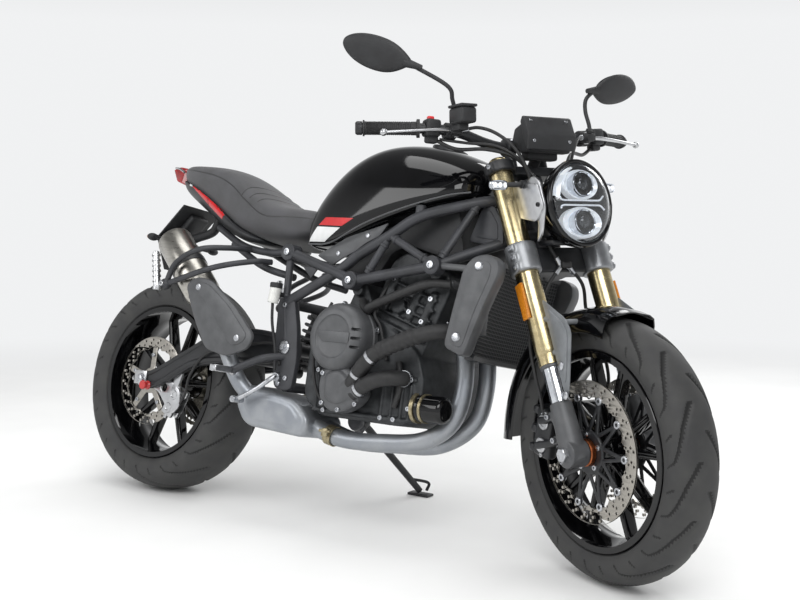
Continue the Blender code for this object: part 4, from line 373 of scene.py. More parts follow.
def add_node(tree, kind, settings=None, **inputs):
    """A node with its settings; an input named by its label takes a value or another node's output."""
    node = tree.nodes.new("ShaderNode" + kind)
    for key, value in (settings or {}).items():
        setattr(node, key, value)
    for key, value in inputs.items():
        socket = node.inputs[int(key[1:]) if key[0] == "i" and key[1:].isdigit() else key.replace("_", " ")]
        if isinstance(value, bpy.types.NodeSocket):
            tree.links.new(value, socket)
        else:
            socket.default_value = value
    return node


def per_mm(size):
    """The texture scale, in turns to the metre, of a pattern whose grain is that many millimetres."""
    return 1000 / size


def blank(name, **settings):
    """A material with its shader's plain settings, its node tree and its place on the bike."""
    material = bpy.data.materials.new(name)
    material.use_nodes = True
    tree = material.node_tree
    shader = tree.nodes["Principled BSDF"]
    for key, value in settings.items():
        shader.inputs[key.replace("_", " ")].default_value = value
    place = add_node(tree, "TexCoord").outputs["Object"]
    return material, tree, shader, place


def coated(base, colours, rough, depth_mm, marks, worn, relief, band=(0.35, 0.65)):
    """The finished material. Its colour goes from the first to the second as the marks pass through the band,
    its roughness follows what is worn, and its relief is that many millimetres deep."""
    material, tree, shader, _ = base
    share = add_node(tree, "MapRange", Value=marks, From_Min=band[0], From_Max=band[1]).outputs["Result"]
    tone = add_node(tree, "Mix", {"data_type": "RGBA"}, i0=share, i6=linear(colours[0]),
                    i7=linear(colours[1]))
    shine = add_node(tree, "MapRange", Value=worn, To_Min=rough[0], To_Max=rough[1])
    bump = add_node(tree, "Bump", Height=relief, Distance=depth_mm / 1000)
    tree.links.new(tone.outputs[2], shader.inputs["Base Color"])
    tree.links.new(shine.outputs["Result"], shader.inputs["Roughness"])
    tree.links.new(bump.outputs["Normal"], shader.inputs["Normal"])
    return material


def surface(name, low, high, rough, patch_mm, grain_mm, depth_mm, stretch=None, detail=5.0, band=(0.35, 0.65),
            **settings):
    """Two near colours in patches, roughness that follows them, and a fine grained relief. Stretch draws the
    patches and the grain out along an axis."""
    base = blank(name, **settings)
    _, tree, _, place = base
    if stretch:
        place = add_node(tree, "Mapping", Vector=place, Scale=stretch).outputs["Vector"]
    patches = add_node(tree, "TexNoise", Vector=place, Scale=per_mm(patch_mm), Detail=detail).outputs["Fac"]
    grain = add_node(tree, "TexNoise", Vector=place, Scale=per_mm(grain_mm), Detail=3.0).outputs["Fac"]
    return coated(base, (low, high), rough, depth_mm, patches, patches, grain, band)


def enamel_black():
    """Gloss black stove enamel: sprayed and baked, so a faint orange peel ripples its reflections."""
    return surface("gloss black enamel", "#050506", "#08080a", (0.04, 0.10), 60, 2.5, 0.003, IOR=1.46)


def powder_grey():
    """Frame powder coat: dark grey, matte, with the fine grain that melted powder leaves."""
    return surface("matte grey powder coat", "#323336", "#3b3c40", (0.42, 0.55), 40, 1.2, 0.02,
                   Metallic=0.2)


def satin_black():
    """Satin black coat on castings and steel: even, with a soft sheen and light dust."""
    return surface("satin black coat", "#17181a", "#222326", (0.34, 0.52), 35, 1.5, 0.02)


def moulded_black():
    """Black moulded polypropylene: spark-eroded tool grain, so it scatters light without shine."""
    return surface("grained black plastic", "#1a1a1c", "#242527", (0.5, 0.66), 30, 0.9, 0.05)


def cover_grey():
    """Painted magnesium covers: mid grey satin paint over a fine sand-cast skin."""
    return surface("grey painted casting", "#4b4c4e", "#565759", (0.40, 0.52), 30, 1.6, 0.02, Metallic=0.25)


def guard_grey():
    """Painted plastic guards beside the front wheel: pale grey satin paint, smooth, with road film."""
    return surface("pale grey painted guard", "#696c6f", "#777a7d", (0.30, 0.44), 30, 1.2, 0.01, Metallic=0.2)


def engine_cast():
    """Dark painted die casting: grey-black, with dust lying in its grain."""
    return surface("dark engine casting", "#242628", "#3a3c3e", (0.38, 0.6), 25, 1.8, 0.06, Metallic=0.35)


def bright_alloy():
    """Machined and cleared aluminium: pale, finely turned, softly bright."""
    return surface("machined aluminium", "#b4b5b7", "#c9cacc", (0.24, 0.34), 30, 0.8, 0.004, Metallic=1.0)


def zinc_steel():
    """Zinc-plated steel for screws, nuts and the lever balls: silver with a dull bloom."""
    return surface("zinc plated steel", "#a9abaf", "#c4c6ca", (0.22, 0.34), 14, 0.7, 0.003, Metallic=1.0)


def gold_anodise():
    """Gold anodised fork tubes: drawn aluminium, so fine lines run round and soften the shine."""
    return surface("gold anodised aluminium", "#bbab84", "#c9bb94", (0.22, 0.30), 60, 0.6, 0.002,
                   stretch=(1, 1, 4), Metallic=1.0)


def silencer_steel():
    """Brushed stainless steel: long fine scratches along the can."""
    return surface("brushed stainless steel", "#a9a69f", "#bbb8b1", (0.24, 0.34), 40, 0.8, 0.004,
                   stretch=(1, 6, 6), Metallic=1.0)


def tyre_rubber():
    """Used tyre rubber: charcoal, with pale road dust worn into its band and a fine moulded grain."""
    return surface("used tyre rubber", "#2b2b2c", "#383837", (0.58, 0.74), 45, 1.4, 0.08, detail=6.0,
                   band=(0.3, 0.7), IOR=1.5)


def groove_shade_rubber():
    """The floors of the tread grooves, painted near black: painted shade in the grooves."""
    return surface("painted shade groove rubber", "#0d0d0d", "#131313", (0.6, 0.75), 20, 1.4, 0.05)


def seat_vinyl():
    """Seat vinyl: embossed leather grain about 2 mm across, drawn as cells with shallow valleys."""
    base = blank("embossed seat vinyl", IOR=1.5, Sheen_Weight=0.15, Sheen_Roughness=0.5)
    _, tree, _, place = base
    patches = add_node(tree, "TexNoise", Vector=place, Scale=per_mm(50), Detail=4.0).outputs["Fac"]
    cells = add_node(tree, "TexVoronoi", {"feature": "DISTANCE_TO_EDGE"}, Vector=place, Scale=per_mm(2.2))
    return coated(base, ("#353537", "#404043"), (0.56, 0.7), 0.25, patches, patches,
                  cells.outputs["Distance"])


def header_steel():
    """Bead-blasted header steel, dulled by heat to a pale blue-grey with faint straw patches."""
    return surface("heat dulled steel", "#8d9197", "#9ea1a5", (0.36, 0.5), 55, 1.5, 0.01, Metallic=0.8)


def disc_steel(name, centre):
    """Ground brake disc: stainless, with fine rings round its centre where the pads run."""
    base = blank(name, Metallic=1.0)
    _, tree, _, place = base
    off = add_node(tree, "VectorMath", {"operation": "SUBTRACT"}, i0=place, i1=centre).outputs["Vector"]
    flat = add_node(tree, "VectorMath", {"operation": "MULTIPLY"}, i0=off, i1=(1, 0, 1)).outputs["Vector"]
    reach = add_node(tree, "VectorMath", {"operation": "LENGTH"}, i0=flat).outputs["Value"]
    rings = add_node(tree, "TexNoise", {"noise_dimensions": "1D"}, W=reach, Scale=per_mm(1.5), Detail=3.0)
    rings = rings.outputs["Fac"]
    patches = add_node(tree, "TexNoise", Vector=place, Scale=per_mm(30), Detail=4.0).outputs["Fac"]
    return coated(base, ("#8d8983", "#b9b5ad"), (0.24, 0.4), 0.02, rings, patches, rings, (0.3, 0.7))


def hose_rubber():
    """Moulded coolant hose and cable sleeves: soft black rubber with cloth showing through."""
    return surface("black rubber hose", "#1a1a1b", "#262627", (0.5, 0.68), 12, 1.2, 0.06)


def plain_paint(name, low, high, rough=(0.12, 0.2), **settings):
    """Sprayed colour under clear coat."""
    return surface(name, low, high, rough, 40, 2.5, 0.004, Coat_Weight=0.6, Coat_Roughness=0.05, **settings)


def clear_lens():
    """Clear polycarbonate: smooth and bright, with nothing in it."""
    material, tree, shader, place = blank("clear polycarbonate", Transmission_Weight=1.0, IOR=1.49,
                                          Base_Color=linear("#f4f7fa"))
    haze = add_node(tree, "TexNoise", Vector=place, Scale=per_mm(30), Detail=4.0).outputs["Fac"]
    shine = add_node(tree, "MapRange", Value=haze, To_Min=0.01, To_Max=0.03).outputs["Result"]
    tree.links.new(shine, shader.inputs["Roughness"])
    return material


def mirror_chrome():
    """Vacuum-metallised reflector: near a mirror, with a faint haze."""
    return surface("metallised reflector", "#c9ccd2", "#dfe2e6", (0.05, 0.12), 20, 1.5, 0.004, Metallic=1.0)


def red_lens():
    """Red moulded lens: deep colour under a polished face."""
    return surface("red lamp lens", "#7a0a0c", "#a01014", (0.08, 0.16), 12, 3.0, 0.05,
                   Coat_Weight=0.8, Coat_Roughness=0.03)


def amber_lens():
    """Orange reflector: moulded prisms about 2 mm across behind a polished face."""
    base = blank("amber reflector", Coat_Weight=0.8, Coat_Roughness=0.03)
    _, tree, _, place = base
    cells = add_node(tree, "TexVoronoi", Vector=place, Scale=per_mm(2.5)).outputs["Distance"]
    return coated(base, ("#a3520a", "#cf8420"), (0.12, 0.3), 0.3, cells, cells, cells, (0.1, 0.7))


def lamp_white():
    """White lamp ring: translucent moulding that scatters the light behind it."""
    return surface("white light ring", "#e6e9ee", "#f4f6f8", (0.2, 0.3), 8, 2.0, 0.02,
                   Emission_Color=linear("#f2f5ff"), Emission_Strength=0.25)


# A wave texture runs 20 radians to its unit, so this is the length of one of its bands
WAVE_BAND = 2 * math.pi / 20


def radiator_core():
    """Radiator core: black fins about 1.5 mm apart, drawn 8 mm apart so that they show."""
    base = blank("radiator fins", Metallic=0.3)
    _, tree, _, place = base
    fins = add_node(tree, "TexWave", {"wave_type": "BANDS", "bands_direction": "Y"}, Vector=place,
                    Scale=per_mm(8) * WAVE_BAND, Distortion=0.4).outputs["Fac"]
    return coated(base, ("#0c0d0e", "#34373a"), (0.7, 0.45), 1.0, fins, fins, fins, (0.2, 0.8))


def copper_ring():
    """Anodised aluminium ring: turned, then dyed the colour of copper."""
    return surface("copper anodised ring", "#8a4a2c", "#b06a44", (0.25, 0.4), 10, 1.0, 0.01, Metallic=1.0)


def bronze_clamp():
    """Yellow-passivated exhaust clamp, browned by heat."""
    return surface("heat browned clamp", "#857a60", "#aba184", (0.3, 0.5), 8, 1.2, 0.03, Metallic=0.9)


def chain_steel():
    """Oiled chain steel: dark grey plates with wiped brighter edges."""
    return surface("oiled chain steel", "#55524c", "#8a867c", (0.3, 0.5), 6, 0.9, 0.02, Metallic=1.0)


# The materials made so far, one for each finish
MADE = {}


def finish(make, *words):
    """The material of a finish, made once."""
    key = (make.__name__, *words)
    if key not in MADE:
        MADE[key] = make(*words)
    return MADE[key]


def piece(name, body, look, shapes, stands_for=(), smooth_deg=38):
    """One piece of the bike, made of shapes, finished and riding on its body."""
    mesh = mesh_of(shapes)
    mesh.name = name
    mesh.shade_smooth()
    mesh.set_sharp_from_angle(angle=math.radians(smooth_deg))
    obj = bpy.data.objects.new(name, mesh)
    bpy.context.scene.collection.objects.link(obj)
    obj.matrix_world = PLACES[body]
    mesh.materials.append(finish(look) if callable(look) else look)
    bpy.context.view_layer.update()
    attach(obj, body)
    if stands_for:
        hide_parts(*stands_for)
    return obj


# The finish that each of the model's own nodes gets
CARRIED = {
    enamel_black: ["fuel_tank", "headlight_bowl", "front_fender", "oil_filter"],
    powder_grey: ["main_frame", "rear_frame"],
    satin_black: ["fork_clamps", "fork_leg_left", "fork_leg_right", "front_caliper_left",
                  "front_caliper_right", "handlebar", "swingarm", "side_stand", "front_wheel", "rear_wheel"],
    moulded_black: ["airbox", "brake_control", "clutch_control", "dash", "headlight_bracket", "mirror_left",
                    "mirror_right", "plate_bracket", "tail_cover", "coolant_hoses"],
    hose_rubber: ["brake_hoses"],
    cover_grey: ["clutch_cover", "generator_cover", "silencer_guard", "radiator"],
    engine_cast: ["engine"],
    bright_alloy: ["rear_axle", "front_axle", "rear_caliper", "shock_absorber"],
    gold_anodise: ["fork_tube_left", "fork_tube_right"],
    silencer_steel: ["silencer", "front_discs", "rear_disc"],
    chain_steel: ["drive_chain", "rear_sprocket"],
    tyre_rubber: ["front_tyre", "rear_tyre"],
    seat_vinyl: ["seat"],
    header_steel: ["exhaust"],
    clear_lens: ["headlight_lens"],
    red_lens: ["tail_lamp"],
}


def finish_model():
    """Gives the model's own pieces their finish."""
    for look, names in CARRIED.items():
        for name in names:
            obj = frame["nodes"][name]
            for slot in obj.material_slots:
                slot.material = finish(look)


# Wheels, tyres, discs and chain

TYRE_STEPS = 540
CROWN_STEPS = 44
GROOVE_DEEP = 0.0045
GROOVE_HALF_WIDE = 0.0030
TREAD_PITCHES = 15

# Shares of half the tyre's width: where the tread's cuts end, and where a fine line runs round each wall
TREAD_END = 0.86 * 0.75
WALL_LINE = (0.86, 0.90)
WALL_LINE_TALL = 0.0006
RIM_BED_R = 0.216
RIM_FLANGE_R = 0.226
BEAD_SHARE = 0.76
# The strokes of one pitch of tread, each from one (share of the half width, share of the pitch) to another
FRONT_TREAD = [(0.94, 0.00, 0.66, 0.12), (0.66, 0.12, 0.52, 0.36), (0.52, 0.36, 0.36, 0.72),
               (0.36, 0.72, 0.12, 1.10), (0.90, 0.52, 0.70, 0.60)]
REAR_TREAD = [(0.94, 0.00, 0.70, 0.14), (0.70, 0.14, 0.54, 0.42), (0.54, 0.42, 0.14, 1.05),
              (0.90, 0.50, 0.68, 0.60)]


def tread_depth(turns, across, grooves, pitch_long, half_long):
    """How deep the tread is cut at a place: turns round the tyre and share of the way to its shoulder."""
    side = 1 if across >= 0 else -1
    u = (turns * TREAD_PITCHES + (0.5 if side > 0 else 0)) % 1
    s = abs(across)
    nearest = 1.0
    for s1, u1, s2, u2 in grooves:
        for lap in (-1, 0, 1):
            run = Vector(((u2 - u1) * pitch_long, (s2 - s1) * half_long))
            off = Vector(((u + lap - u1) * pitch_long, (s - s1) * half_long))
            share = max(0.0, min(1.0, off.dot(run) / run.dot(run)))
            nearest = min(nearest, (off - run * share).length)
    return max(0.0, min(1.0, 1.6 - nearest / GROOVE_HALF_WIDE)) * GROOVE_DEEP


def tyre_section(outer_r, half):
    """The tyre's outer skin from its right bead over the crown to the left: (radius, width) pairs."""
    depth = outer_r - RIM_FLANGE_R
    cage = [(RIM_FLANGE_R + SEAM, BEAD_SHARE * half), (RIM_FLANGE_R + depth * 0.08, half * 0.88),
            (RIM_FLANGE_R + depth * 0.28, half * 0.975), (RIM_FLANGE_R + depth * 0.52, half),
            (RIM_FLANGE_R + depth * 0.76, half * 0.85), (RIM_FLANGE_R + depth * 0.93, half * 0.50)]
    side = [Vector((w, r, 0)) for r, w in cage]
    route = side + [Vector((0, outer_r, 0))] + [Vector((-p.x, p.y, 0)) for p in side[::-1]]
    return [(p.y, p.x) for p in through(route, CROWN_STEPS * 2)]


def make_tyre(name, body, hub, outer_r, width, grooves):
    """A used road tyre: round crown, cut tread, ribbed side walls and a bead that sits in the rim."""
    half = width / 2
    skin = tyre_section(outer_r, half)
    bead = BEAD_SHARE * half
    inside = [(RIM_BED_R + 0.003, -bead * 0.98), (RIM_BED_R + 0.003, bead * 0.98)]
    pitch_long = 2 * math.pi * outer_r / TREAD_PITCHES
    bm = bmesh.new()
    rows = []
    depths = []
    for k in range(TYRE_STEPS):
        turns = k / TYRE_STEPS
        direction = spin_place(1, 2 * math.pi * turns)
        row = []
        for i, (r, w) in enumerate(skin):
            across = 1 - i / CROWN_STEPS
            cut = 0
            if abs(across) < TREAD_END:
                cut = tread_depth(turns, across / TREAD_END, grooves, pitch_long, half * 1.1)
            rib = WALL_LINE_TALL if WALL_LINE[0] < abs(across) < WALL_LINE[1] else 0
            row.append(bm.verts.new(hub + direction * (r - cut) + LEFT * (w + (rib if w > 0 else -rib))))
            depths.append(cut)
        row += [bm.verts.new(hub + direction * r + LEFT * w) for r, w in inside]
        rows.append(row)
    for k in range(TYRE_STEPS):
        a = rows[k]
        b = rows[(k + 1) % TYRE_STEPS]
        for i in range(len(a)):
            n = (i + 1) % len(a)
            face = bm.faces.new((a[i], a[n], b[n], b[i]))
            # Faces cut deep into a groove take the second, darker rubber: painted shade in the grooves
            if i < len(skin) and depths[k * len(skin) + i] > GROOVE_DEEP / 3:
                face.material_index = 1
    tyre = piece(name, body, tyre_rubber, [bm], [name], 50)
    # The second material: near-black rubber, painted shade for the groove floors
    tyre.data.materials.append(finish(groove_shade_rubber))


def make_rim(name, body, hub, width, hub_r, hub_half, stands_for):
    """A cast wheel: a dropped-centre barrel with rolled lips and five pairs of parting spokes."""
    bead = width / 2 * BEAD_SHARE + SEAM
    lip = 0.007
    wall = 0.006
    profile = [(RIM_FLANGE_R - 0.002, bead + lip), (RIM_FLANGE_R, bead + lip - 0.002), (RIM_FLANGE_R, bead),
               (RIM_BED_R + 0.002, bead - 0.002), (RIM_BED_R, bead - 0.006), (RIM_BED_R - 0.010, 0),
               (RIM_BED_R, -bead + 0.006), (RIM_BED_R + 0.002, -bead + 0.002), (RIM_FLANGE_R, -bead),
               (RIM_FLANGE_R, -bead - lip + 0.002), (RIM_FLANGE_R - 0.002, -bead - lip),
               (RIM_BED_R - wall, -bead - lip), (RIM_BED_R - wall, -bead * 0.7),
               (RIM_BED_R - 0.021, -bead * 0.3), (RIM_BED_R - 0.021, bead * 0.3),
               (RIM_BED_R - wall, bead * 0.7), (RIM_BED_R - wall, bead + lip)]
    barrel = turned(profile, hub, LEFT, 160)
    arms = [turned([(0, hub_half), (hub_r * 0.86, hub_half), (hub_r, hub_half - 0.004),
                    (hub_r, -hub_half + 0.004), (hub_r * 0.86, -hub_half), (0, -hub_half)], hub, LEFT, 48)]
    for k in range(5):
        for side in (-1, 1):
            inner = 2 * math.pi * k / 5 + side * 0.16 + math.pi / 2
            outer = 2 * math.pi * k / 5 + side * 0.27 + math.pi / 2
            start = hub + spin_place(hub_r * 0.6, inner)
            end = hub + spin_place(RIM_BED_R - 0.012, outer)
            arms.append(bar(start, end, 0.021, 0.042, 0.74))
    piece(name, body, enamel_black, [barrel, cast(arms, 0.0026, 5)], stands_for, 45)


def drilled_ring(centre, outer_r, inner_r, thick, rows, teeth=0):
    """A disc ring with its drillings, and round bites out of its inner edge."""
    inner = []
    steps = teeth * 16 if teeth else 120
    for k in range(steps):
        phase = (k / 16) % 1
        bite = 0.009 * math.sin(math.pi * min(1, abs(phase - 0.5) * 2)) if teeth else 0
        angle = 2 * math.pi * k / steps
        inner.append(((inner_r + bite) * math.cos(angle), (inner_r + bite) * math.sin(angle)))
    holes = []
    for share, count, start in rows:
        r = inner_r + (outer_r - inner_r) * share
        for k in range(count):
            angle = 2 * math.pi * (k + start) / count
            holes.append(ring_outline(0.0034, 8, r * math.cos(angle), r * math.sin(angle)))
    place = Matrix.Translation(centre) @ facing(LEFT)
    return plate([ring_outline(outer_r, 144), inner] + holes, thick, place, 0.0005)


DISC_THICK = 0.005
FRONT_DISC_R = 0.160
REAR_DISC_R = 0.130
FRONT_DISC_Y = 0.062
REAR_DISC_Y = -0.100
FRONT_HUB_R = 0.032
REAR_HUB_R = 0.040
REAR_HUB_HALF = 0.075


def carrier(centre, reach, hub_r, arms, thick):
    """The black spider that carries a disc ring: pairs of thin arms that cross, and its round middle."""
    shapes = [turned([(hub_r * 0.62, thick), (hub_r, thick), (hub_r * 1.05, 0), (hub_r, -thick),
                      (hub_r * 0.62, -thick)], centre, LEFT, 48)]
    for k in range(arms):
        middle = 2 * math.pi * k / arms
        tip = centre + spin_place(reach, middle)
        for side in (-1, 1):
            foot = centre + spin_place(hub_r * 0.95, middle + side * math.pi / arms)
            shapes.append(bar(foot, tip, 0.009, thick * 1.5, 0.9))
        shapes.append(rod(tip - LEFT * thick * 0.7, tip + LEFT * thick * 0.7, 0.0105))
    return cast(shapes, 0.0014, 3)


def make_front_discs():
    """Two drilled discs on their black carriers, with buttons, screws and the sleeve between."""
    rings = []
    arms = []
    buttons = []
    for side in (-1, 1):
        centre = FRONT_AXLE + LEFT * side * FRONT_DISC_Y
        rings.append(drilled_ring(centre, FRONT_DISC_R, FRONT_DISC_R * 0.735, DISC_THICK,
                                  [(0.22, 30, 0), (0.40, 30, 0.28), (0.62, 30, 0.05), (0.82, 30, 0.33)], 10))
        arms.append(carrier(centre, FRONT_DISC_R * 0.765, FRONT_HUB_R * 1.5, 10, 0.004))
        for k in range(10):
            place = centre + spin_place(FRONT_DISC_R * 0.765, 2 * math.pi * k / 10)
            for face in (-1, 1):
                buttons.append(turned([(0.0045, 0.0052), (0.0085, 0.0052), (0.0095, 0.0035), (0.0095, 0.0),
                                       (0.0045, 0)], place, LEFT * face, 20))
        for k in range(5):
            place = centre + spin_place(FRONT_HUB_R * 1.25, 2 * math.pi * (k + 0.3) / 5) + LEFT * side * 0.004
            buttons.append(cap_screw(place, LEFT * side, 0.0065, 0.005))
    sleeve = rod(FRONT_AXLE - LEFT * (FRONT_DISC_Y + 0.003), FRONT_AXLE + LEFT * (FRONT_DISC_Y + 0.003),
                 0.0195)
    piece("front_disc_rings", "front_wheel", disc_steel("front disc steel", FRONT_AXLE), rings,
          ["front_discs"])
    piece("front_disc_carriers", "front_wheel", satin_black, arms + [sleeve], ["front_discs"])
    piece("front_disc_buttons", "front_wheel", zinc_steel, buttons)


def make_rear_disc():
    """The rear disc with its five arms, its hub sleeve and its screws."""
    centre = REAR_AXLE + LEFT * REAR_DISC_Y
    ring = drilled_ring(centre, REAR_DISC_R, REAR_DISC_R * 0.72, DISC_THICK,
                        [(0.25, 24, 0), (0.5, 24, 0.3), (0.76, 24, 0.6)], 5)
    arms = []
    for k in range(5):
        middle = 2 * math.pi * (k + 0.25) / 5
        arms.append(bar(centre, centre + spin_place(REAR_DISC_R * 0.76, middle), 0.024, 0.0048, 0.8))
    arms.append(rod(centre - LEFT * 0.0028, centre + LEFT * 0.0028, REAR_HUB_R * 0.95))
    arms.append(rod(REAR_AXLE - LEFT * (REAR_HUB_HALF + SEAM), centre, REAR_HUB_R * 0.8))
    screws = [cap_screw(centre - LEFT * 0.0026 + spin_place(REAR_DISC_R * 0.58, 2 * math.pi * (k + 0.25) / 5),
                        -LEFT) for k in range(5)]
    piece("rear_disc_ring", "rear_wheel", disc_steel("rear disc steel", REAR_AXLE),
          [ring, cast(arms, 0.0016, 2)], ["rear_disc"])
    piece("rear_disc_screws", "rear_wheel", zinc_steel, screws)


SPROCKET_Y = 0.104
SPROCKET_R = 0.108
FRONT_SPROCKET = Vector((0.640, SPROCKET_Y, 0.440))
FRONT_SPROCKET_R = 0.040
CHAIN_LINKS = 112


def toothed(r, count, deep):
    """A sprocket's outline, its teeth with round valleys between them."""
    points = []
    for k in range(count * 8):
        phase = k / 8 % 1
        points.append((r - deep * (0.5 - 0.5 * math.cos(2 * math.pi * phase)) ** 0.7,
                       2 * math.pi * k / (count * 8)))
    return [(radius * math.cos(a), radius * math.sin(a)) for radius, a in points]


def make_rear_sprocket():
    """The toothed sprocket on its hub, with six nuts."""
    centre = REAR_AXLE + LEFT * SPROCKET_Y
    place = Matrix.Translation(centre) @ facing(LEFT)
    holes = [ring_outline(0.016, 20, 0.068 * math.cos(a), 0.068 * math.sin(a))
             for a in angles(6)]
    ring = plate([toothed(SPROCKET_R + 0.002, 42, 0.007)] + holes, 0.006, place, 0.0006)
    hub = rod(REAR_AXLE + LEFT * (REAR_HUB_HALF + SEAM), centre + LEFT * 0.004, REAR_HUB_R)
    nuts = [hex_nut(centre + LEFT * 0.003 + spin_place(0.050, 2 * math.pi * (k + 0.5) / 6), LEFT)
            for k in range(6)]
    piece("rear_sprocket_teeth", "rear_wheel", chain_steel, [ring, hub], ["rear_sprocket"])
    piece("rear_sprocket_nuts", "rear_wheel", zinc_steel, nuts)


def chain_route(count):
    """Pin places at one pitch round both sprockets, with the run's direction at each."""
    rear = REAR_AXLE + LEFT * SPROCKET_Y
    rear_r = SPROCKET_R + 0.0095
    front_r = FRONT_SPROCKET_R + 0.0055
    along = FRONT_SPROCKET - rear
    slope = math.atan2(along.z, along.x)
    spread = math.acos((rear_r - front_r) / along.length)
    corners = []
    for k in range(201):
        corners.append(rear + spin_place(rear_r, slope + spread + (2 * math.pi - 2 * spread) * k / 200))
    for k in range(81):
        corners.append(FRONT_SPROCKET + spin_place(front_r, slope - spread + 2 * spread * k / 80))
    corners.append(corners[0])
    lengths = [0]
    for a, b in zip(corners, corners[1:]):
        lengths.append(lengths[-1] + (b - a).length)
    places = []
    i = 0
    for k in range(count):
        want = lengths[-1] * k / count
        while lengths[i + 1] < want:
            i += 1
        places.append(corners[i].lerp(corners[i + 1], (want - lengths[i]) / (lengths[i + 1] - lengths[i])))
    return places


def make_chain():
    """Roller chain: pairs of waisted plates, inner and outer by turns, on pins with their rollers."""
    pins = chain_route(CHAIN_LINKS)
    shapes = []
    for k, a in enumerate(pins):
        b = pins[(k + 1) % len(pins)]
        long = (b - a).length
        outline = [(math.cos(t) * 0.0060 + (long if math.cos(t) > 0 else 0), math.sin(t) * 0.0060)
                   for t in angles(12, 0.5)]
        outline = outline[:3] + [(long / 2, 0.0044)] + outline[3:9] + [(long / 2, -0.0044)] + outline[9:]
        turn = axes_turn(b - a, LEFT.cross(b - a), LEFT)
        for side in (-1, 1):
            y = side * (0.0048 if k % 2 else 0.0032)
            rings = [[a + turn @ Vector((u, v, y + h)) for u, v in outline] for h in (-0.0007, 0.0007)]
            shapes.append(loft(rings))
        shapes.append(tube([a - LEFT * 0.0058, a + LEFT * 0.0058], 0.0022, 8))
        shapes.append(tube([a - LEFT * 0.0026, a + LEFT * 0.0026], 0.0042, 10))
    piece("drive_chain_links", "chassis", chain_steel, shapes, ["drive_chain"], 30)


def make_wheels():
    """Tyres, rims, discs, sprocket and chain."""
    make_tyre("front_tyre", "front_wheel", FRONT_AXLE, FRONT_TYRE_R, FRONT_TYRE_WIDTH, FRONT_TREAD)
    make_tyre("rear_tyre", "rear_wheel", REAR_AXLE, REAR_TYRE_R, REAR_TYRE_WIDTH, REAR_TREAD)
    make_rim("front_rim", "front_wheel", FRONT_AXLE, FRONT_TYRE_WIDTH, FRONT_HUB_R, 0.050, ["front_wheel"])
    make_rim("rear_rim", "rear_wheel", REAR_AXLE, REAR_TYRE_WIDTH, REAR_HUB_R, REAR_HUB_HALF, ["rear_wheel"])
    make_front_discs()
    make_rear_disc()
    make_rear_sprocket()
    make_chain()


# Front end: everything that turns with the handlebar

# The fork clamps by their height over the ground, and the fork legs by their distance up from the axle
UPPER_CLAMP_Z = 0.945
LOWER_CLAMP_Z = 0.728
LOWER_CLAMP_TALL = 0.072
UPPER_CLAMP_TALL = 0.028
FORK_CAP = (UPPER_CLAMP_Z - FRONT_TYRE_R) / STEER_AXIS.z + 0.026
FORK_OUTER_END = 0.205
FORK_INNER_R = 0.0215
CALIPER_ANGLE = math.radians(168)
CALIPER_REACH = 0.139
CALIPER_LONG = 0.115
LUG_HEIGHTS = (0.045, 0.100)
LUG_REACH = 0.058
SIDES = ((-1, "right"), (1, "left"))


def clamp_drop(z):
    """How far above the axle along the fork a clamp at that height sits."""
    return (z - FRONT_TYRE_R) / STEER_AXIS.z


def make_fork_legs():
    """Gold outer tubes over dark stanchions, each in a cast foot with the caliper's lugs."""
    for side, word in SIDES:
        y = side * FORK_Y
        long = FORK_CAP - FORK_OUTER_END
        profile = [(0, long - 0.002), (FORK_OUTER_R * 0.30, long - 0.002), (FORK_OUTER_R * 0.34, long),
                   (FORK_OUTER_R * 0.70, long), (FORK_OUTER_R * 0.76, long - 0.002),
                   (FORK_OUTER_R * 0.78, long - 0.006), (FORK_OUTER_R * 0.98, long - 0.008),
                   (FORK_OUTER_R, long - 0.010), (FORK_OUTER_R, 0.034), (FORK_OUTER_R * 0.95, 0.027),
                   (FORK_OUTER_R * 0.93, 0.024), (FORK_OUTER_R * 0.93, 0.001), (FORK_OUTER_R * 0.88, 0),
                   (0, 0)]
        piece("fork_tube_gold_" + word, "fork", gold_anodise,
              [turned(profile, fork_point(FORK_OUTER_END, y), STEER_AXIS, 72)], ["fork_tube_" + word])
        seal = turned([(FORK_INNER_R, 0.0), (FORK_OUTER_R * 0.9, 0.0), (FORK_OUTER_R * 0.9, -0.006),
                       (FORK_INNER_R, -0.008)], fork_point(FORK_OUTER_END, y), STEER_AXIS, 48)
        foot = [rod(fork_point(-0.020, y), fork_point(0.118, y), 0.030, 0.0255, 40, 0.003),
                rod(FRONT_AXLE + LEFT * (y - side * 0.024), FRONT_AXLE + LEFT * (y + side * 0.024), 0.031,
                    None, 40, 0.002)]
        foot += [bar(fork_point(h, y), fork_point(h, y) + STEER_BACK * LUG_REACH, 0.020, 0.016, 0.95)
                 for h in LUG_HEIGHTS]
        foot.append(bar(fork_point(0.010, y) + STEER_BACK * 0.012, fork_point(0.100, y) + STEER_BACK * 0.036,
                        0.030, 0.007, 0.9))
        screws = [cap_screw(fork_point(h, y + side * 0.009) + STEER_BACK * (LUG_REACH - 0.010), LEFT * side,
                            0.007) for h in LUG_HEIGHTS]
        screws.append(cap_screw(fork_point(-0.012, y + side * 0.022) + STEER_BACK * 0.018, LEFT * side,
                                0.005))
        piece("fork_foot_" + word, "fork", cover_grey, [cast(foot, 0.0018, 5), seal], ["fork_leg_" + word])
        piece("fork_stanchion_" + word, "fork", mirror_chrome,
              [rod(fork_point(0.10, y), fork_point(FORK_OUTER_END, y), FORK_INNER_R, None, 48)],
              ["fork_leg_" + word])
        piece("fork_foot_screws_" + word, "fork", zinc_steel, screws)
        lamp_at = fork_point(0.363, y + side * (FORK_OUTER_R + 0.003))
        turn = axes_turn(STEER_BACK, STEER_AXIS, STEER_BACK.cross(STEER_AXIS))
        piece("fork_reflector_" + word, "fork", amber_lens, [block((0.026, 0.086, 0.006), lamp_at, turn,
                                                                   0.0015)])


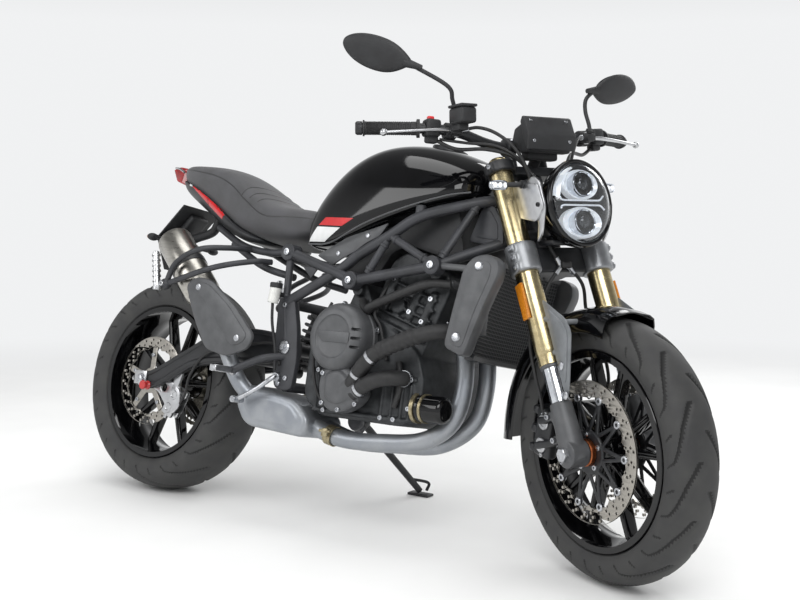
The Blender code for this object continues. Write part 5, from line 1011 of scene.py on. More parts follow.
def make_calipers():
    """Radial four-piston calipers: a waisted two-part body, piston caps, bridge bolts and ears."""
    inner_y = FRONT_DISC_Y - 0.026
    outer_y = FORK_Y - 0.0105
    out = spin_place(1, CALIPER_ANGLE)
    along = LEFT.cross(out)
    for side, word in SIDES:
        turn = axes_turn(out, LEFT, out.cross(LEFT))
        middle = FRONT_AXLE + out * CALIPER_REACH
        shapes = []
        caps = []
        for low, high in ((inner_y, FRONT_DISC_Y - 0.0055), (FRONT_DISC_Y + 0.0055, outer_y)):
            y = side * (low + high) / 2
            shapes.append(block((0.060, high - low, 0.116), middle + LEFT * y - out * 0.004, turn, 0.007))
        for share in (-0.4, 0, 0.4):
            shapes.append(block((0.017, outer_y - inner_y, 0.020), middle + along * CALIPER_LONG * share
                                + out * 0.034 + LEFT * side * (inner_y + outer_y) / 2, turn, 0.004))
        for share in (-0.24, 0.24):
            face = middle + along * CALIPER_LONG * share - out * 0.006
            caps.append(turned([(0, 0.003), (0.009, 0.003), (0.010, 0.0045), (0.0165, 0.0045), (0.018, 0.003),
                                (0.018, 0), (0, 0)], face + LEFT * side * outer_y, LEFT * side, 36))
        for height, share in ((LUG_HEIGHTS[0], -0.25), (LUG_HEIGHTS[1], 0.25)):
            start = fork_point(height, side * (FORK_Y - 0.004)) + STEER_BACK * (LUG_REACH + SEAM)
            knee = start + STEER_BACK * 0.018
            end = middle + along * 0.120 * share
            end.y = start.y
            shapes.append(bar(start, knee, 0.018, 0.017, 1))
            shapes.append(bar(knee - (end - knee) * 0.1, end, 0.017, 0.016, 1))
            caps.append(cap_screw(middle + along * CALIPER_LONG * share * 1.75 + LEFT * side * outer_y
                                  - out * 0.012, LEFT * side, 0.005))
        piece("front_caliper_body_" + word, "fork", satin_black, [cast(shapes, 0.0018, 4)],
              ["front_caliper_" + word])
        piece("front_caliper_caps_" + word, "fork", bright_alloy, caps)


def clamp_silver():
    """Silver lacquer over a forged aluminium clamp."""
    return surface("silver lacquered forging", "#7f8184", "#8f9194", (0.30, 0.42), 30, 1.4, 0.01,
                   Metallic=0.7)


def make_clamps():
    """Forged top and bottom clamps on the steering stem, with their pinch screws and bar risers."""
    turn = axes_turn(-STEER_BACK, LEFT, STEER_AXIS)
    forged = []
    silver = []
    screws = []
    for z, tall in ((UPPER_CLAMP_Z, UPPER_CLAMP_TALL), (LOWER_CLAMP_Z, LOWER_CLAMP_TALL)):
        legs = fork_point(clamp_drop(z))
        stem = on_stem(legs)
        forged.append(block((0.040, 2 * FORK_Y, tall * 0.9), (legs + stem) / 2, turn, 0.004))
        forged.append(rod(stem - STEER_AXIS * tall * 0.45, stem + STEER_AXIS * tall * 0.45, 0.030))
        for side in (-1, 1):
            centre = fork_point(clamp_drop(z), side * FORK_Y)
            ends = silver if z == LOWER_CLAMP_Z else forged
            ends.append(turned([(FORK_OUTER_R - 0.001, tall / 2), (FORK_OUTER_R + 0.007, tall / 2),
                                (FORK_OUTER_R + 0.0095, tall / 2 - 0.003),
                                (FORK_OUTER_R + 0.0095, -tall / 2 + 0.003), (FORK_OUTER_R + 0.007, -tall / 2),
                                (FORK_OUTER_R - 0.001, -tall / 2)], centre, STEER_AXIS, 48))
            count = 3 if tall > 0.05 else 1
            for k in range(count):
                rise = (k - (count - 1) / 2) * tall * 0.33
                ear = centre + STEER_AXIS * rise + LEFT * side * (FORK_OUTER_R + 0.004) - STEER_BACK * 0.014
                ends.append(block((0.018, 0.014, tall / count * 0.8), ear, turn, 0.003))
                screws.append(cap_screw(ear + LEFT * side * 0.006, LEFT * side, 0.0065, 0.004))
    stem = on_stem(fork_point(clamp_drop(UPPER_CLAMP_Z)))
    forged.append(rod(on_stem(fork_point(clamp_drop(LOWER_CLAMP_Z))), stem, 0.014))
    for side in (-1, 1):
        forged.append(rod(stem + LEFT * side * 0.045, BAR_HALF[0] + LEFT * side * 0.045, 0.014))
        forged.append(rod(BAR_HALF[0] + LEFT * side * 0.031, BAR_HALF[0] + LEFT * side * 0.059, 0.024,
                          chamfer=0.003))
        for fore in (-0.016, 0.016):
            screws.append(cap_screw(BAR_HALF[0] + LEFT * side * 0.045 + Vector((fore, 0, 0.0155)), UP,
                                    0.0055))
    nut = hex_nut(stem + STEER_AXIS * UPPER_CLAMP_TALL * 0.44, STEER_AXIS, 0.018, 0.010)
    piece("fork_clamps_forged", "fork", satin_black, [cast(forged, 0.0024, 3)], ["fork_clamps"])
    piece("fork_clamp_lower", "fork", clamp_silver, [cast(silver, 0.0024, 3)], ["fork_clamps"])
    piece("fork_clamp_screws", "fork", zinc_steel, screws + [nut])


# The middle line of the handlebar's left half
BAR_HALF = lay([(1.128, 0, 1.006), (1.128, 0.060, 1.006), (1.122, 0.110, 1.016), (1.108, 0.180, 1.040),
                (1.094, 0.260, 1.047), (1.048, 0.345, 1.049), (1.022, 0.393, 1.050)])
BAR_R = 0.0125
GRIP_R = 0.0165


def make_handlebar():
    """A black tapered bar with ribbed rubber grips and turned end weights."""
    route = through(to_side(BAR_HALF[:0:-1], -1) + BAR_HALF, 96)
    piece("handlebar_tube", "fork", satin_black, [tube(route, BAR_R, 24)], ["handlebar"])
    grips = []
    weights = []
    for side in (-1, 1):
        path = through(to_side(BAR_HALF[4:], side), 110)[8:]
        radii = []
        for k in range(len(path)):
            share = k / (len(path) - 1)
            ribbed = 0.10 < share < 0.92 and k % 3 == 0
            flange = 0.006 if share < 0.04 else (0.003 if share > 0.96 else 0)
            radii.append(GRIP_R + flange - (0.0011 if ribbed else 0))
        grips.append(tube(path, radii, 28))
        along = (path[-1] - path[-3]).normalized()
        weights.append(turned([(0, 0.020), (0.006, 0.020), (0.0075, 0.022), (0.0135, 0.022), (0.0165, 0.018),
                               (0.0165, 0.006), (0.013, 0.0045), (0.013, 0), (0, 0)], path[-1]
                              - along * 0.004, along, 36))
    piece("handlebar_grips", "fork", hose_rubber, grips, ["handlebar"])
    piece("handlebar_weights", "fork", satin_black, weights, ["handlebar"])


# On the left: the lever's perch, the middle line of its blade, and the switch box
PERCH = (1.1045, 0.200, 1.0415)
LEVER = lay([(1.128, 0.196, 1.040), (1.132, 0.235, 1.041), (1.126, 0.300, 1.037), (1.104, 0.380, 1.032)])
SWITCH_AT = (1.093, 0.246, 1.046)


def make_hand_controls():
    """Lever perches, bright levers with ball ends, switch boxes and the square brake reservoir."""
    for side, node in ((-1, "brake_control"), (1, "clutch_control")):
        perch, switch = to_side([PERCH, SWITCH_AT], side)
        lever = through(to_side(LEVER, side), 24)
        along = (to_side([BAR_HALF[4]], side)[0] - to_side([BAR_HALF[3]], side)[0]).normalized()
        turn = axes_turn(FORWARD - along * along.x, along, (FORWARD - along * along.x).cross(along))
        clamp = [rod(perch - along * 0.014, perch + along * 0.014, BAR_R + 0.008, chamfer=0.002),
                 block((0.050, 0.030, 0.020), (perch + lever[0]) / 2 + FORWARD * 0.004, turn, 0.004),
                 rod(lever[0] - UP * 0.013, lever[0] + UP * 0.013, 0.010, chamfer=0.002)]
        radii = [0.0085 - 0.0030 * min(1, k / 16) for k in range(len(lever))]
        blade = [tube(lever, radii, 20, 0.72), ball(lever[-1], (0.0088, 0.0088, 0.0088)),
                 rod(lever[0] - UP * 0.0145, lever[0] + UP * 0.0145, 0.0055)]
        box = [block((0.040, 0.038, 0.042), switch + Vector((0.004, 0, 0.002)), turn, 0.007, 3),
               block((0.026, 0.030, 0.020), switch + Vector((0.002, 0, -0.024)), turn, 0.006, 3)]
        knobs = [block((0.012, 0.012, 0.006), switch + Vector((-0.018, 0, 0.010)), turn, 0.002),
                 block((0.012, 0.016, 0.006), switch + Vector((-0.018, 0, -0.006)), turn, 0.002)]
        if side < 0:
            pot = Vector((1.174, -0.205, 1.074))
            clamp.append(block((0.058, 0.028, 0.018), Vector((1.148, -0.203, 1.046)), None, 0.004))
            clamp.append(block((0.060, 0.044, 0.038), pot - UP * 0.003, None, 0.007, 3))
            clamp.append(block((0.062, 0.046, 0.007), pot + UP * 0.0195, None, 0.003, 3))
            screws = [cap_screw(pot + Vector((fore, 0, 0.0225)), UP, 0.0032, 0.0012)
                      for fore in (-0.021, 0.021)]
            piece("brake_reservoir_screws", "fork", zinc_steel, screws)
            piece("kill_switch", "fork", red_plastic, [block((0.014, 0.016, 0.010), switch
                                                             + Vector((0, 0, 0.0265)), turn, 0.003, 3)])
        piece(node + "_perch", "fork", moulded_black, clamp, [node])
        piece(node + "_lever", "fork", bright_alloy, blade, [node])
        piece(node + "_switches", "fork", moulded_black, box + knobs)


def red_plastic():
    """Red nylon switch cap, moulded in its colour."""
    return surface("red switch plastic", "#c81e22", "#d8282c", (0.3, 0.4), 8, 1.0, 0.01)


# Each mirror's side, the places of its stem and the tip of its head, given as if on the left
MIRRORS = [(-1, "right", [(1.136, 0.200, 1.0523), (1.136, 0.200, 1.072), (1.140, 0.212, 1.112),
                          (1.142, 0.228, 1.145), (1.094, 0.300, 1.198)], (0.973, 0.420, 1.262)),
           (1, "left", [(1.136, 0.200, 1.0523), (1.134, 0.201, 1.072), (1.110, 0.208, 1.112),
                        (1.098, 0.220, 1.145), (1.094, 0.250, 1.170)], (1.047, 0.427, 1.194))]
# Rings of a mirror's head: share of the way to its tip, and share of its half width
MIRROR_RINGS = [(0.00, 0.16), (0.04, 0.30), (0.12, 0.56), (0.24, 0.84), (0.38, 0.98), (0.55, 1.0),
                (0.72, 0.90), (0.86, 0.68), (0.95, 0.40), (0.99, 0.16)]
MIRROR_HALF_WIDE = 0.043
MIRROR_DEEP = 0.0155


def make_mirrors():
    """Teardrop mirrors on bent stems, each with a rubber boot and its glass facing back."""
    for side, word, stem, tip in MIRRORS:
        *stem, tip = to_side([*stem, tip], side)
        long = tip - stem[-1]
        normal = long.cross(LEFT * side).cross(long).normalized()
        wide = long.normalized().cross(normal)
        rings = []
        for along_share, wide_share in MIRROR_RINGS:
            middle = stem[-1] + long * along_share + wide * MIRROR_HALF_WIDE * 0.10 * (1 - wide_share)
            rings.append([middle + wide * MIRROR_HALF_WIDE * wide_share * math.cos(a)
                          + normal * MIRROR_DEEP * (0.35 + 0.62 * wide_share) * math.sin(a)
                          for a in angles(20)])
        route = through(stem, 30)
        boot = [stem[-1] + long * s for s in (-0.16, -0.06, 0.03, 0.08)]
        shapes = [softened([loft(rings)], 2), tube(route, 0.0052, 20),
                  tube(boot, [0.0065, 0.0085, 0.0105, 0.0115], 24),
                  hex_nut(stem[0] + UP * 0.004, UP, 0.0085, 0.008)]
        piece("mirror_head_" + word, "fork", moulded_black, shapes, ["mirror_" + word])
        back = -normal if normal.x > 0 else normal
        middle = stem[-1] + long * 0.52 + back * MIRROR_DEEP * 0.93
        turn = axes_turn(long, wide, long.cross(wide))
        piece("mirror_glass_" + word, "fork", mirror_chrome,
              [ball(middle, (long.length * 0.40, MIRROR_HALF_WIDE * 0.80, 0.0022), turn, 40, 12)])


# The headlight: its middle, how far it looks up, and its half sizes
LAMP_CENTRE = Vector((1.352, 0, 0.858))
LAMP_TILT = math.radians(9)
LAMP_HALF_WIDE = 0.090
LAMP_HALF_TALL = 0.104
LAMP_DEEP = 0.085
LAMP_OUT = Vector((math.cos(LAMP_TILT), 0, math.sin(LAMP_TILT)))
LAMP_UP = Vector((-math.sin(LAMP_TILT), 0, math.cos(LAMP_TILT)))


def lamp_place(u, v, out):
    """A place in the headlight: u to the left and v up in shares of its half size, out in metres."""
    return LAMP_CENTRE + LEFT * u * LAMP_HALF_WIDE + LAMP_UP * v * LAMP_HALF_TALL + LAMP_OUT * out


def lamp_ring(size, out, sides=96):
    """A ring of the headlight's own outline, in shares of its half size."""
    return [lamp_place(size * math.cos(a), size * math.sin(a), out)
            for a in angles(sides)]


def lamp_oval(u, v, wide, tall, out, sides=48):
    """An oval ring in the headlight's face, its sizes in metres."""
    return [lamp_place(u, v, out) + LEFT * wide * math.cos(a) + LAMP_UP * tall * math.sin(a)
            for a in angles(sides)]


def make_headlight():
    """A deep black bowl and rim round two stacked projectors, a dark band between and a domed lens."""
    deep = LAMP_DEEP
    shell = [(0.30, -1.0), (0.50, -0.99), (0.66, -0.90), (0.80, -0.72), (0.92, -0.45), (0.97, -0.25),
             (1.0, -0.05), (1.0, 0.04), (0.985, 0.09), (0.955, 0.11), (0.915, 0.10), (0.89, 0.05),
             (0.88, -0.10), (0.86, -0.40), (0.60, -0.55), (0.30, -0.60)]
    piece("headlight_shell", "fork", enamel_black, [loft([lamp_ring(s, o * deep) for s, o in shell])],
          ["headlight_bowl"], 60)
    dish = [(0.05, -0.24), (0.82, -0.20), (0.84, -0.02), (0.875, 0.02), (0.878, 0.0), (0.85, -0.23),
            (0.05, -0.27)]
    piece("headlight_dish", "fork", moulded_black, [loft([lamp_ring(s, o * deep) for s, o in dish])])
    white = []
    chrome = []
    eyes = []
    glass = []
    for v, tall, shift in ((0.43, 0.036, 0.10), (-0.43, 0.037, 0.04)):
        reach = 0.056 if v < 0 else 0.050
        white.append(loft([lamp_oval(shift, v, reach * s, tall * s, o * deep)
                           for s, o in ((1.0, -0.24), (1.0, -0.02), (0.97, 0.0), (0.90, -0.03), (0.66, -0.16),
                                        (0.5, -0.2))]))
        chrome.append(loft([lamp_oval(shift, v, 0.030 * s, 0.030 * s, o * deep) for s, o in
                            ((1.0, -0.20), (1.0, 0.10), (0.94, 0.13), (0.86, 0.10), (0.82, -0.1))]))
        eyes.append(loft([lamp_oval(shift, v, 0.0245 * s, 0.0245 * s, o * deep) for s, o in
                          ((1.0, -0.1), (1.0, 0.03), (0.86, 0.05), (0.70, 0.03), (0.66, 0.0), (0.3, -0.02))]))
        glass.append(loft([lamp_oval(shift, v, 0.017 * s, 0.017 * s, o * deep) for s, o in
                           ((1.0, 0.0), (0.92, 0.06), (0.70, 0.11), (0.38, 0.14), (0.06, 0.15))]))
    lines = []
    for up in (-1, 1):
        route = [lamp_place(u, up * v, 0.006) for u, v in ((-0.66, 0.13), (-0.60, 0.065), (-0.40, 0.055),
                                                           (0, 0.055), (0.40, 0.055), (0.60, 0.065),
                                                           (0.72, 0.16))]
        lines.append(tube(through(route, 36), 0.0022, 10))
    band = [(-0.80, 0.16), (-0.58, 0.05), (0.58, 0.05), (0.80, 0.16), (0.84, 0), (0.80, -0.16), (0.58, -0.05),
            (-0.58, -0.05), (-0.80, -0.16), (-0.84, 0)]
    band = [loft([[lamp_place(u, v, o) for u, v in band] for o in (-0.012, 0.003)])]
    brow = [(-0.74, 0.36), (-0.80, 0.16), (-0.60, 0.12), (-0.52, 0.40), (-0.36, 0.66), (-0.10, 0.80),
            (-0.20, 0.86), (-0.44, 0.74)]
    white.append(loft([[lamp_place(u, v, o) for u, v in brow] for o in (-0.010, -0.002)]))
    piece("headlight_reflectors", "fork", lamp_reflector, white)
    piece("headlight_rings", "fork", mirror_chrome, chrome)
    piece("headlight_eyes", "fork", enamel_black, eyes)
    piece("headlight_projectors", "fork", dark_glass, glass)
    piece("headlight_band", "fork", enamel_black, band)
    piece("headlight_light_lines", "fork", lamp_white, lines)
    dome = [(0.885, 0.02), (0.885, 0.10), (0.84, 0.165), (0.70, 0.22), (0.50, 0.26), (0.25, 0.28),
            (0.004, 0.285)]
    wall = [(s * 0.985, o - 0.02) for s, o in dome]
    lens = loft([lamp_ring(s, o * deep) for s, o in dome[::-1] + wall])
    piece("headlight_dome", "fork", clear_lens, [lens], ["headlight_lens"], 60)


def dark_glass():
    """Projector lens: clear dark glass whose face mirrors the studio."""
    return surface("projector glass", "#15181c", "#1c2026", (0.02, 0.05), 20, 3.0, 0.002, Coat_Weight=1.0,
                   Coat_Roughness=0.01, Metallic=0.4)


def lamp_reflector():
    """Moulded reflector with a pale face. It glows faintly, as the dome shades it more than glass would."""
    return surface("pale reflector", "#d9dce0", "#eceef0", (0.25, 0.36), 15, 2.0, 0.01, Metallic=0.3,
                   Emission_Color=linear("#e8ebef"), Emission_Strength=0.42)


# The bracket in the side view, and the left indicator with the root of its stem
BRACKET = [(1.240, 0.830), (1.205, 0.905), (1.325, 0.905), (1.350, 0.850), (1.320, 0.815)]
INDICATOR = (1.252, 0.158, 0.903)
INDICATOR_STEM = (1.270, 0.100, 0.905)


def make_lamp_bracket():
    """Alloy cheek plates from the fork to the headlight, and oval indicators with three lamps each."""
    plates = []
    stems = []
    rims = []
    leds = []
    screws = []
    for side in (-1, 1):
        plates.append(side_plate(rounded(BRACKET, 0.012), side * 0.099, 0.005, 0.0012))
        trim = [(1.262, 0.900), (1.300, 0.925), (1.330, 0.905), (1.350, 0.850), (1.338, 0.790),
                (1.318, 0.765), (1.322, 0.815), (1.302, 0.868)]
        plates.append(side_plate(rounded(trim, 0.012), side * 0.094, 0.006, 0.002))
        stem, lamp = to_side([INDICATOR_STEM, INDICATOR], side)
        stems.append(tube([stem, lamp], 0.0062, 20))
        stems.append(rod(stem - LEFT * side * 0.010, stem + LEFT * side * 0.008, 0.010))
        stems.append(rod(Vector((1.330, side * 0.099, 0.855)), Vector((1.330, side * 0.074, 0.855)), 0.010))
        for face in (-1, 1):
            rims.append(softened([block((0.008, 0.046, 0.024), lamp + FORWARD * face * 0.004, None, 0.008,
                                        2)], 1))
        for k in (-1, 0, 1):
            leds.append(ball(lamp + Vector((0.0085, k * 0.0135, 0)), (0.003, 0.0058, 0.0062)))
        screws += [cap_screw(Vector((x, side * 0.1015, z)), LEFT * side, 0.0055, 0.004)
                   for x, z in ((1.222, 0.892), (1.246, 0.846), (1.330, 0.855))]
    tray = [block((0.010, 0.198, 0.030), Vector((1.2585, 0, 0.8675)), None, 0.003),
            block((0.060, 0.120, 0.012), Vector((1.300, 0, 0.768)), None, 0.004),
            block((0.050, 0.100, 0.040), Vector((1.278, 0, 0.800)), None, 0.008, 3)]
    piece("lamp_bracket_plates", "fork", bright_alloy, plates, ["headlight_bracket"])
    piece("lamp_bracket_stems", "fork", satin_black, stems + tray, ["headlight_bracket"])
    piece("indicator_bodies_front", "fork", mirror_chrome, rims)
    piece("indicator_lamps_front", "fork", lamp_white, leds)
    piece("lamp_bracket_screws", "fork", satin_black, screws)


def make_dash():
    """The instrument: a boxy black case under a slanted visor, its screen towards the rider."""
    case = [(1.168, 1.018), (1.178, 1.046), (1.222, 1.062), (1.240, 1.030), (1.238, 0.985), (1.205, 0.985)]
    visor = [(1.214, 1.060), (1.222, 1.0735), (1.230, 1.070), (1.250, 1.025), (1.246, 0.990), (1.236, 0.990)]
    shapes = [side_plate(rounded(case, 0.006), 0, 0.124, 0.004),
              side_plate(rounded(visor, 0.004), 0, 0.140, 0.003),
              block((0.030, 0.090, 0.026), Vector((1.196, 0, 0.982)), None, 0.006, 3)]
    shapes.append(rod(Vector((1.164, 0, 0.954)), Vector((1.195, 0, 0.995)), 0.0135))
    screen = block((0.040, 0.104, 0.003), Vector((1.1735, 0, 1.034)),
                   Matrix.Rotation(math.radians(-70), 4, "Y"), 0.001)
    dots = [cap_screw(Vector((1.2475, y, 1.012)), FORWARD, 0.004, 0.002) for y in (-0.052, 0.052)]
    dots += [cap_screw(Vector((1.2325, y, 1.062)), FORWARD + UP, 0.004, 0.002) for y in (-0.052, 0.052)]
    piece("dash_case", "fork", moulded_black, shapes, ["dash"])
    piece("dash_screen", "fork", dark_glass, [screen])
    piece("dash_screws", "fork", zinc_steel, dots)


FENDER_WIDE = 0.146
# The fork guard and its raised middle in the side view, and the fender as (degrees round the axle, radius
# in tyre radii)
GUARD = [(1.351, 0.640), (1.400, 0.616), (1.438, 0.598), (1.460, 0.570), (1.456, 0.500), (1.452, 0.440),
         (1.442, 0.415), (1.436, 0.428), (1.417, 0.475), (1.392, 0.540)]
GUARD_RELIEF = [(1.372, 0.622), (1.402, 0.605), (1.432, 0.590), (1.449, 0.566), (1.446, 0.500),
                (1.441, 0.450), (1.426, 0.480), (1.402, 0.540)]
FENDER_R = [(77, 1.050), (85, 1.058), (95, 1.066), (110, 1.08), (125, 1.09), (140, 1.10),
            (155, 1.115), (170, 1.13), (182, 1.15)]


def make_fender():
    """A gloss arched fender with a raised spine, and grey guard plates beside the fork legs."""
    rings = []
    for degrees, reach in FENDER_R:
        angle = math.radians(degrees)
        r = FRONT_TYRE_R * reach
        half = FENDER_WIDE / 2
        outer = [(r - 0.052, half), (r - 0.030, half * 0.995), (r - 0.013, half * 0.93),
                 (r - 0.004, half * 0.74), (r, half * 0.42), (r + 0.0035, half * 0.16), (r + 0.004, 0)]
        inner = [(a - 0.0025, max(0, b - 0.0028)) for a, b in outer]
        ring = outer + [(a, -b) for a, b in outer[-2::-1]] + [(a, -b) for a, b in inner[:-1]]
        ring += [(a, b) for a, b in inner[::-1]]
        rings.append([FRONT_AXLE + spin_place(a, angle) + LEFT * b for a, b in ring])
    route = []
    for k in range(len(rings[0])):
        route.append(through([ring[k] for ring in rings], 54))
    shell = loft([[line[i] for line in route] for i in range(55)])
    piece("front_fender_shell", "fork", enamel_black, [shell], ["front_fender"], 50)
    guards = []
    screws = []
    y = FORK_Y + 0.004
    for side in (-1, 1):
        guards.append(side_plate(rounded(GUARD, 0.012), side * y, 0.003, 0.001))
        guards.append(side_plate(rounded(GUARD_RELIEF, 0.014), side * (y + 0.002), 0.005, 0.002))
        for drop in (0.240, 0.320):
            pad = fork_point(drop, side * FORK_Y)
            guards.append(rod(pad + FORWARD * (FORK_OUTER_R + 0.001), pad + FORWARD * (FORK_OUTER_R + 0.020),
                              0.007))
        for degrees in (96, 103):
            back = FRONT_AXLE + spin_place(FRONT_TYRE_R * 0.97, math.radians(degrees))
            guards.append(rod(Vector((back.x, side * (FENDER_WIDE / 2 - 0.004), back.z)),
                              Vector((back.x, side * y, back.z)), 0.006))
        for x, z in ((1.428, 0.492), (1.444, 0.428)):
            screws.append(turned([(0, 0.0045), (0.006, 0.0045), (0.0095, 0.003), (0.010, 0), (0, 0)],
                                 Vector((x, side * (y + 0.004), z)), LEFT * side, 24))
    piece("fork_guards", "fork", guard_grey, guards, ["front_fender"])
    piece("fork_guard_screws", "fork", zinc_steel, screws)


def make_front_axle():
    """The front axle with its nut, and the ring on each side of the hub."""
    half = FORK_Y + 0.038
    shapes = [rod(FRONT_AXLE - LEFT * (half - 0.004), FRONT_AXLE + LEFT * half, 0.0105),
              hex_nut(FRONT_AXLE - LEFT * (FORK_Y + 0.026), -LEFT, 0.0168, 0.011)]
    piece("front_axle_pin", "fork", zinc_steel, shapes, ["front_axle"])
    rings = [turned([(0.021, 0.014), (0.029, 0.014), (0.031, 0.012), (0.031, 0.002), (0.029, 0), (0.021, 0)],
                    FRONT_AXLE + LEFT * side * 0.0655, LEFT * side, 48) for side in (-1, 1)]
    piece("front_hub_rings", "front_wheel", copper_ring, rings)


# Hoses and cables that the bike holds all along: each a list of places from one end to the other
BRAKE_HOSE = [(1.136, -0.186, 1.041), (1.160, -0.152, 1.047), (1.190, -0.118, 1.030), (1.222, -0.086, 0.990),
              (1.236, -0.060, 0.930), (1.242, -0.050, 0.862), (1.278, -0.040, 0.772), (1.291, -0.012, 0.716)]
CALIPER_HOSE = [(1.291, -0.008, 0.716), (1.296, -0.050, 0.668), (1.283, -0.072, 0.602),
                (1.290, -0.100, 0.545), (1.318, -0.106, 0.465), (1.328, -0.098, 0.410),
                (1.325, -0.086, 0.362)]
HOSE_SPLIT = Vector((1.291, 0, 0.716))
SWITCH_LEAD = [(1.098, -0.236, 1.020), (1.120, -0.190, 0.998), (1.160, -0.130, 0.996), (1.205, -0.080, 0.975),
               (1.235, -0.048, 0.930), (1.262, -0.030, 0.890)]
THROTTLE_CABLE = [(1.100, -0.226, 1.022), (1.135, -0.170, 1.012), (1.185, -0.110, 1.000),
                  (1.228, -0.060, 0.950), (1.236, -0.030, 0.870), (1.245, -0.020, 0.800)]
CLUTCH_CABLE = [(1.148, 0.168, 1.040), (1.190, 0.120, 1.026), (1.226, 0.076, 0.980), (1.240, 0.046, 0.900),
                (1.246, 0.030, 0.820), (1.250, 0.024, 0.790)]


def make_cables():
    """Brake hoses down to both calipers, and the leads and cables that gather behind the headlight."""
    hoses = [tube(through(to_side(route, side), 60), 0.0042, 16)
             for route, side in ((BRAKE_HOSE, 1), (CALIPER_HOSE, 1), (CALIPER_HOSE, -1))]
    hoses.append(block((0.030, 0.028, 0.016), HOSE_SPLIT, None, 0.004, 3))
    piece("front_brake_hoses", "fork", hose_rubber, hoses, ["brake_hoses"])
    cables = [(SWITCH_LEAD, 0.0046, 1), (SWITCH_LEAD, 0.0046, -1), (THROTTLE_CABLE, 0.0036, 1),
              (CLUTCH_CABLE, 0.0036, 1)]
    piece("bar_cables", "fork", cable_sleeve, [tube(through(to_side(route, side), 48), r, 12)
                                               for route, r, side in cables])
    fittings = [rod(Vector(CLUTCH_CABLE[0]) - FORWARD * 0.004,
                    Vector(CLUTCH_CABLE[0]).lerp(Vector(CLUTCH_CABLE[1]), 0.3), 0.0062)]
    for route, side in ((BRAKE_HOSE, 1), (CALIPER_HOSE, 1), (CALIPER_HOSE, -1)):
        a, b, *_, c, d = to_side(route, side)
        fittings += [rod(a, a.lerp(b, 0.45), 0.0060), rod(d, d.lerp(c, 0.30), 0.0060)]
    fittings += [hex_nut(Vector((1.325, side * 0.086, 0.362)), UP, 0.008, 0.010) for side in (-1, 1)]
    piece("hose_fittings", "fork", zinc_steel, fittings)


def cable_sleeve():
    """Ribbed plastic sleeve over cables and leads."""
    return surface("plastic cable sleeve", "#151516", "#1e1e1f", (0.42, 0.55), 10, 1.0, 0.02)


def make_front_end():
    """Everything that turns with the handlebar."""
    make_fork_legs()
    make_calipers()
    make_clamps()
    make_handlebar()
    make_hand_controls()
    make_mirrors()
    make_headlight()
    make_lamp_bracket()
    make_dash()
    make_fender()
    make_front_axle()
    make_cables()


# Engine, cooling and exhaust

# The crankcase and the leaning cylinders in the side view, with their widths
CASE = [(0.640, 0.330), (0.640, 0.520), (0.700, 0.575), (0.830, 0.560), (0.985, 0.470), (1.015, 0.400),
        (1.010, 0.310), (0.960, 0.285), (0.700, 0.285)]
CASE_WIDE = 0.300
BARREL = [(0.800, 0.500), (0.865, 0.690), (0.905, 0.715), (1.040, 0.665), (1.050, 0.620), (0.985, 0.450)]
BARREL_WIDE = 0.270
BARREL_UP = Vector((0.065, 0, 0.19)).normalized()
BARREL_ACROSS = Vector((BARREL_UP.z, 0, -BARREL_UP.x))


def carved(shapes, cutters):
    """The shapes with the cutters taken out of them."""
    base = loose(mesh_of(shapes))
    tool = loose(mesh_of(cutters))
    cut = base.modifiers.new("Carve", "BOOLEAN")
    cut.operation = "DIFFERENCE"
    cut.object = tool
    cut.solver = "EXACT"
    cut.use_self = True
    made = worked(base)
    bpy.data.objects.remove(tool, do_unlink=True)
    return made


def barrel_place(across, up, y=0):
    """A place on the leaning cylinders: across and up them from their front foot, y to the left."""
    return Vector((0.892, y, 0.520)) + BARREL_ACROSS * across + BARREL_UP * up


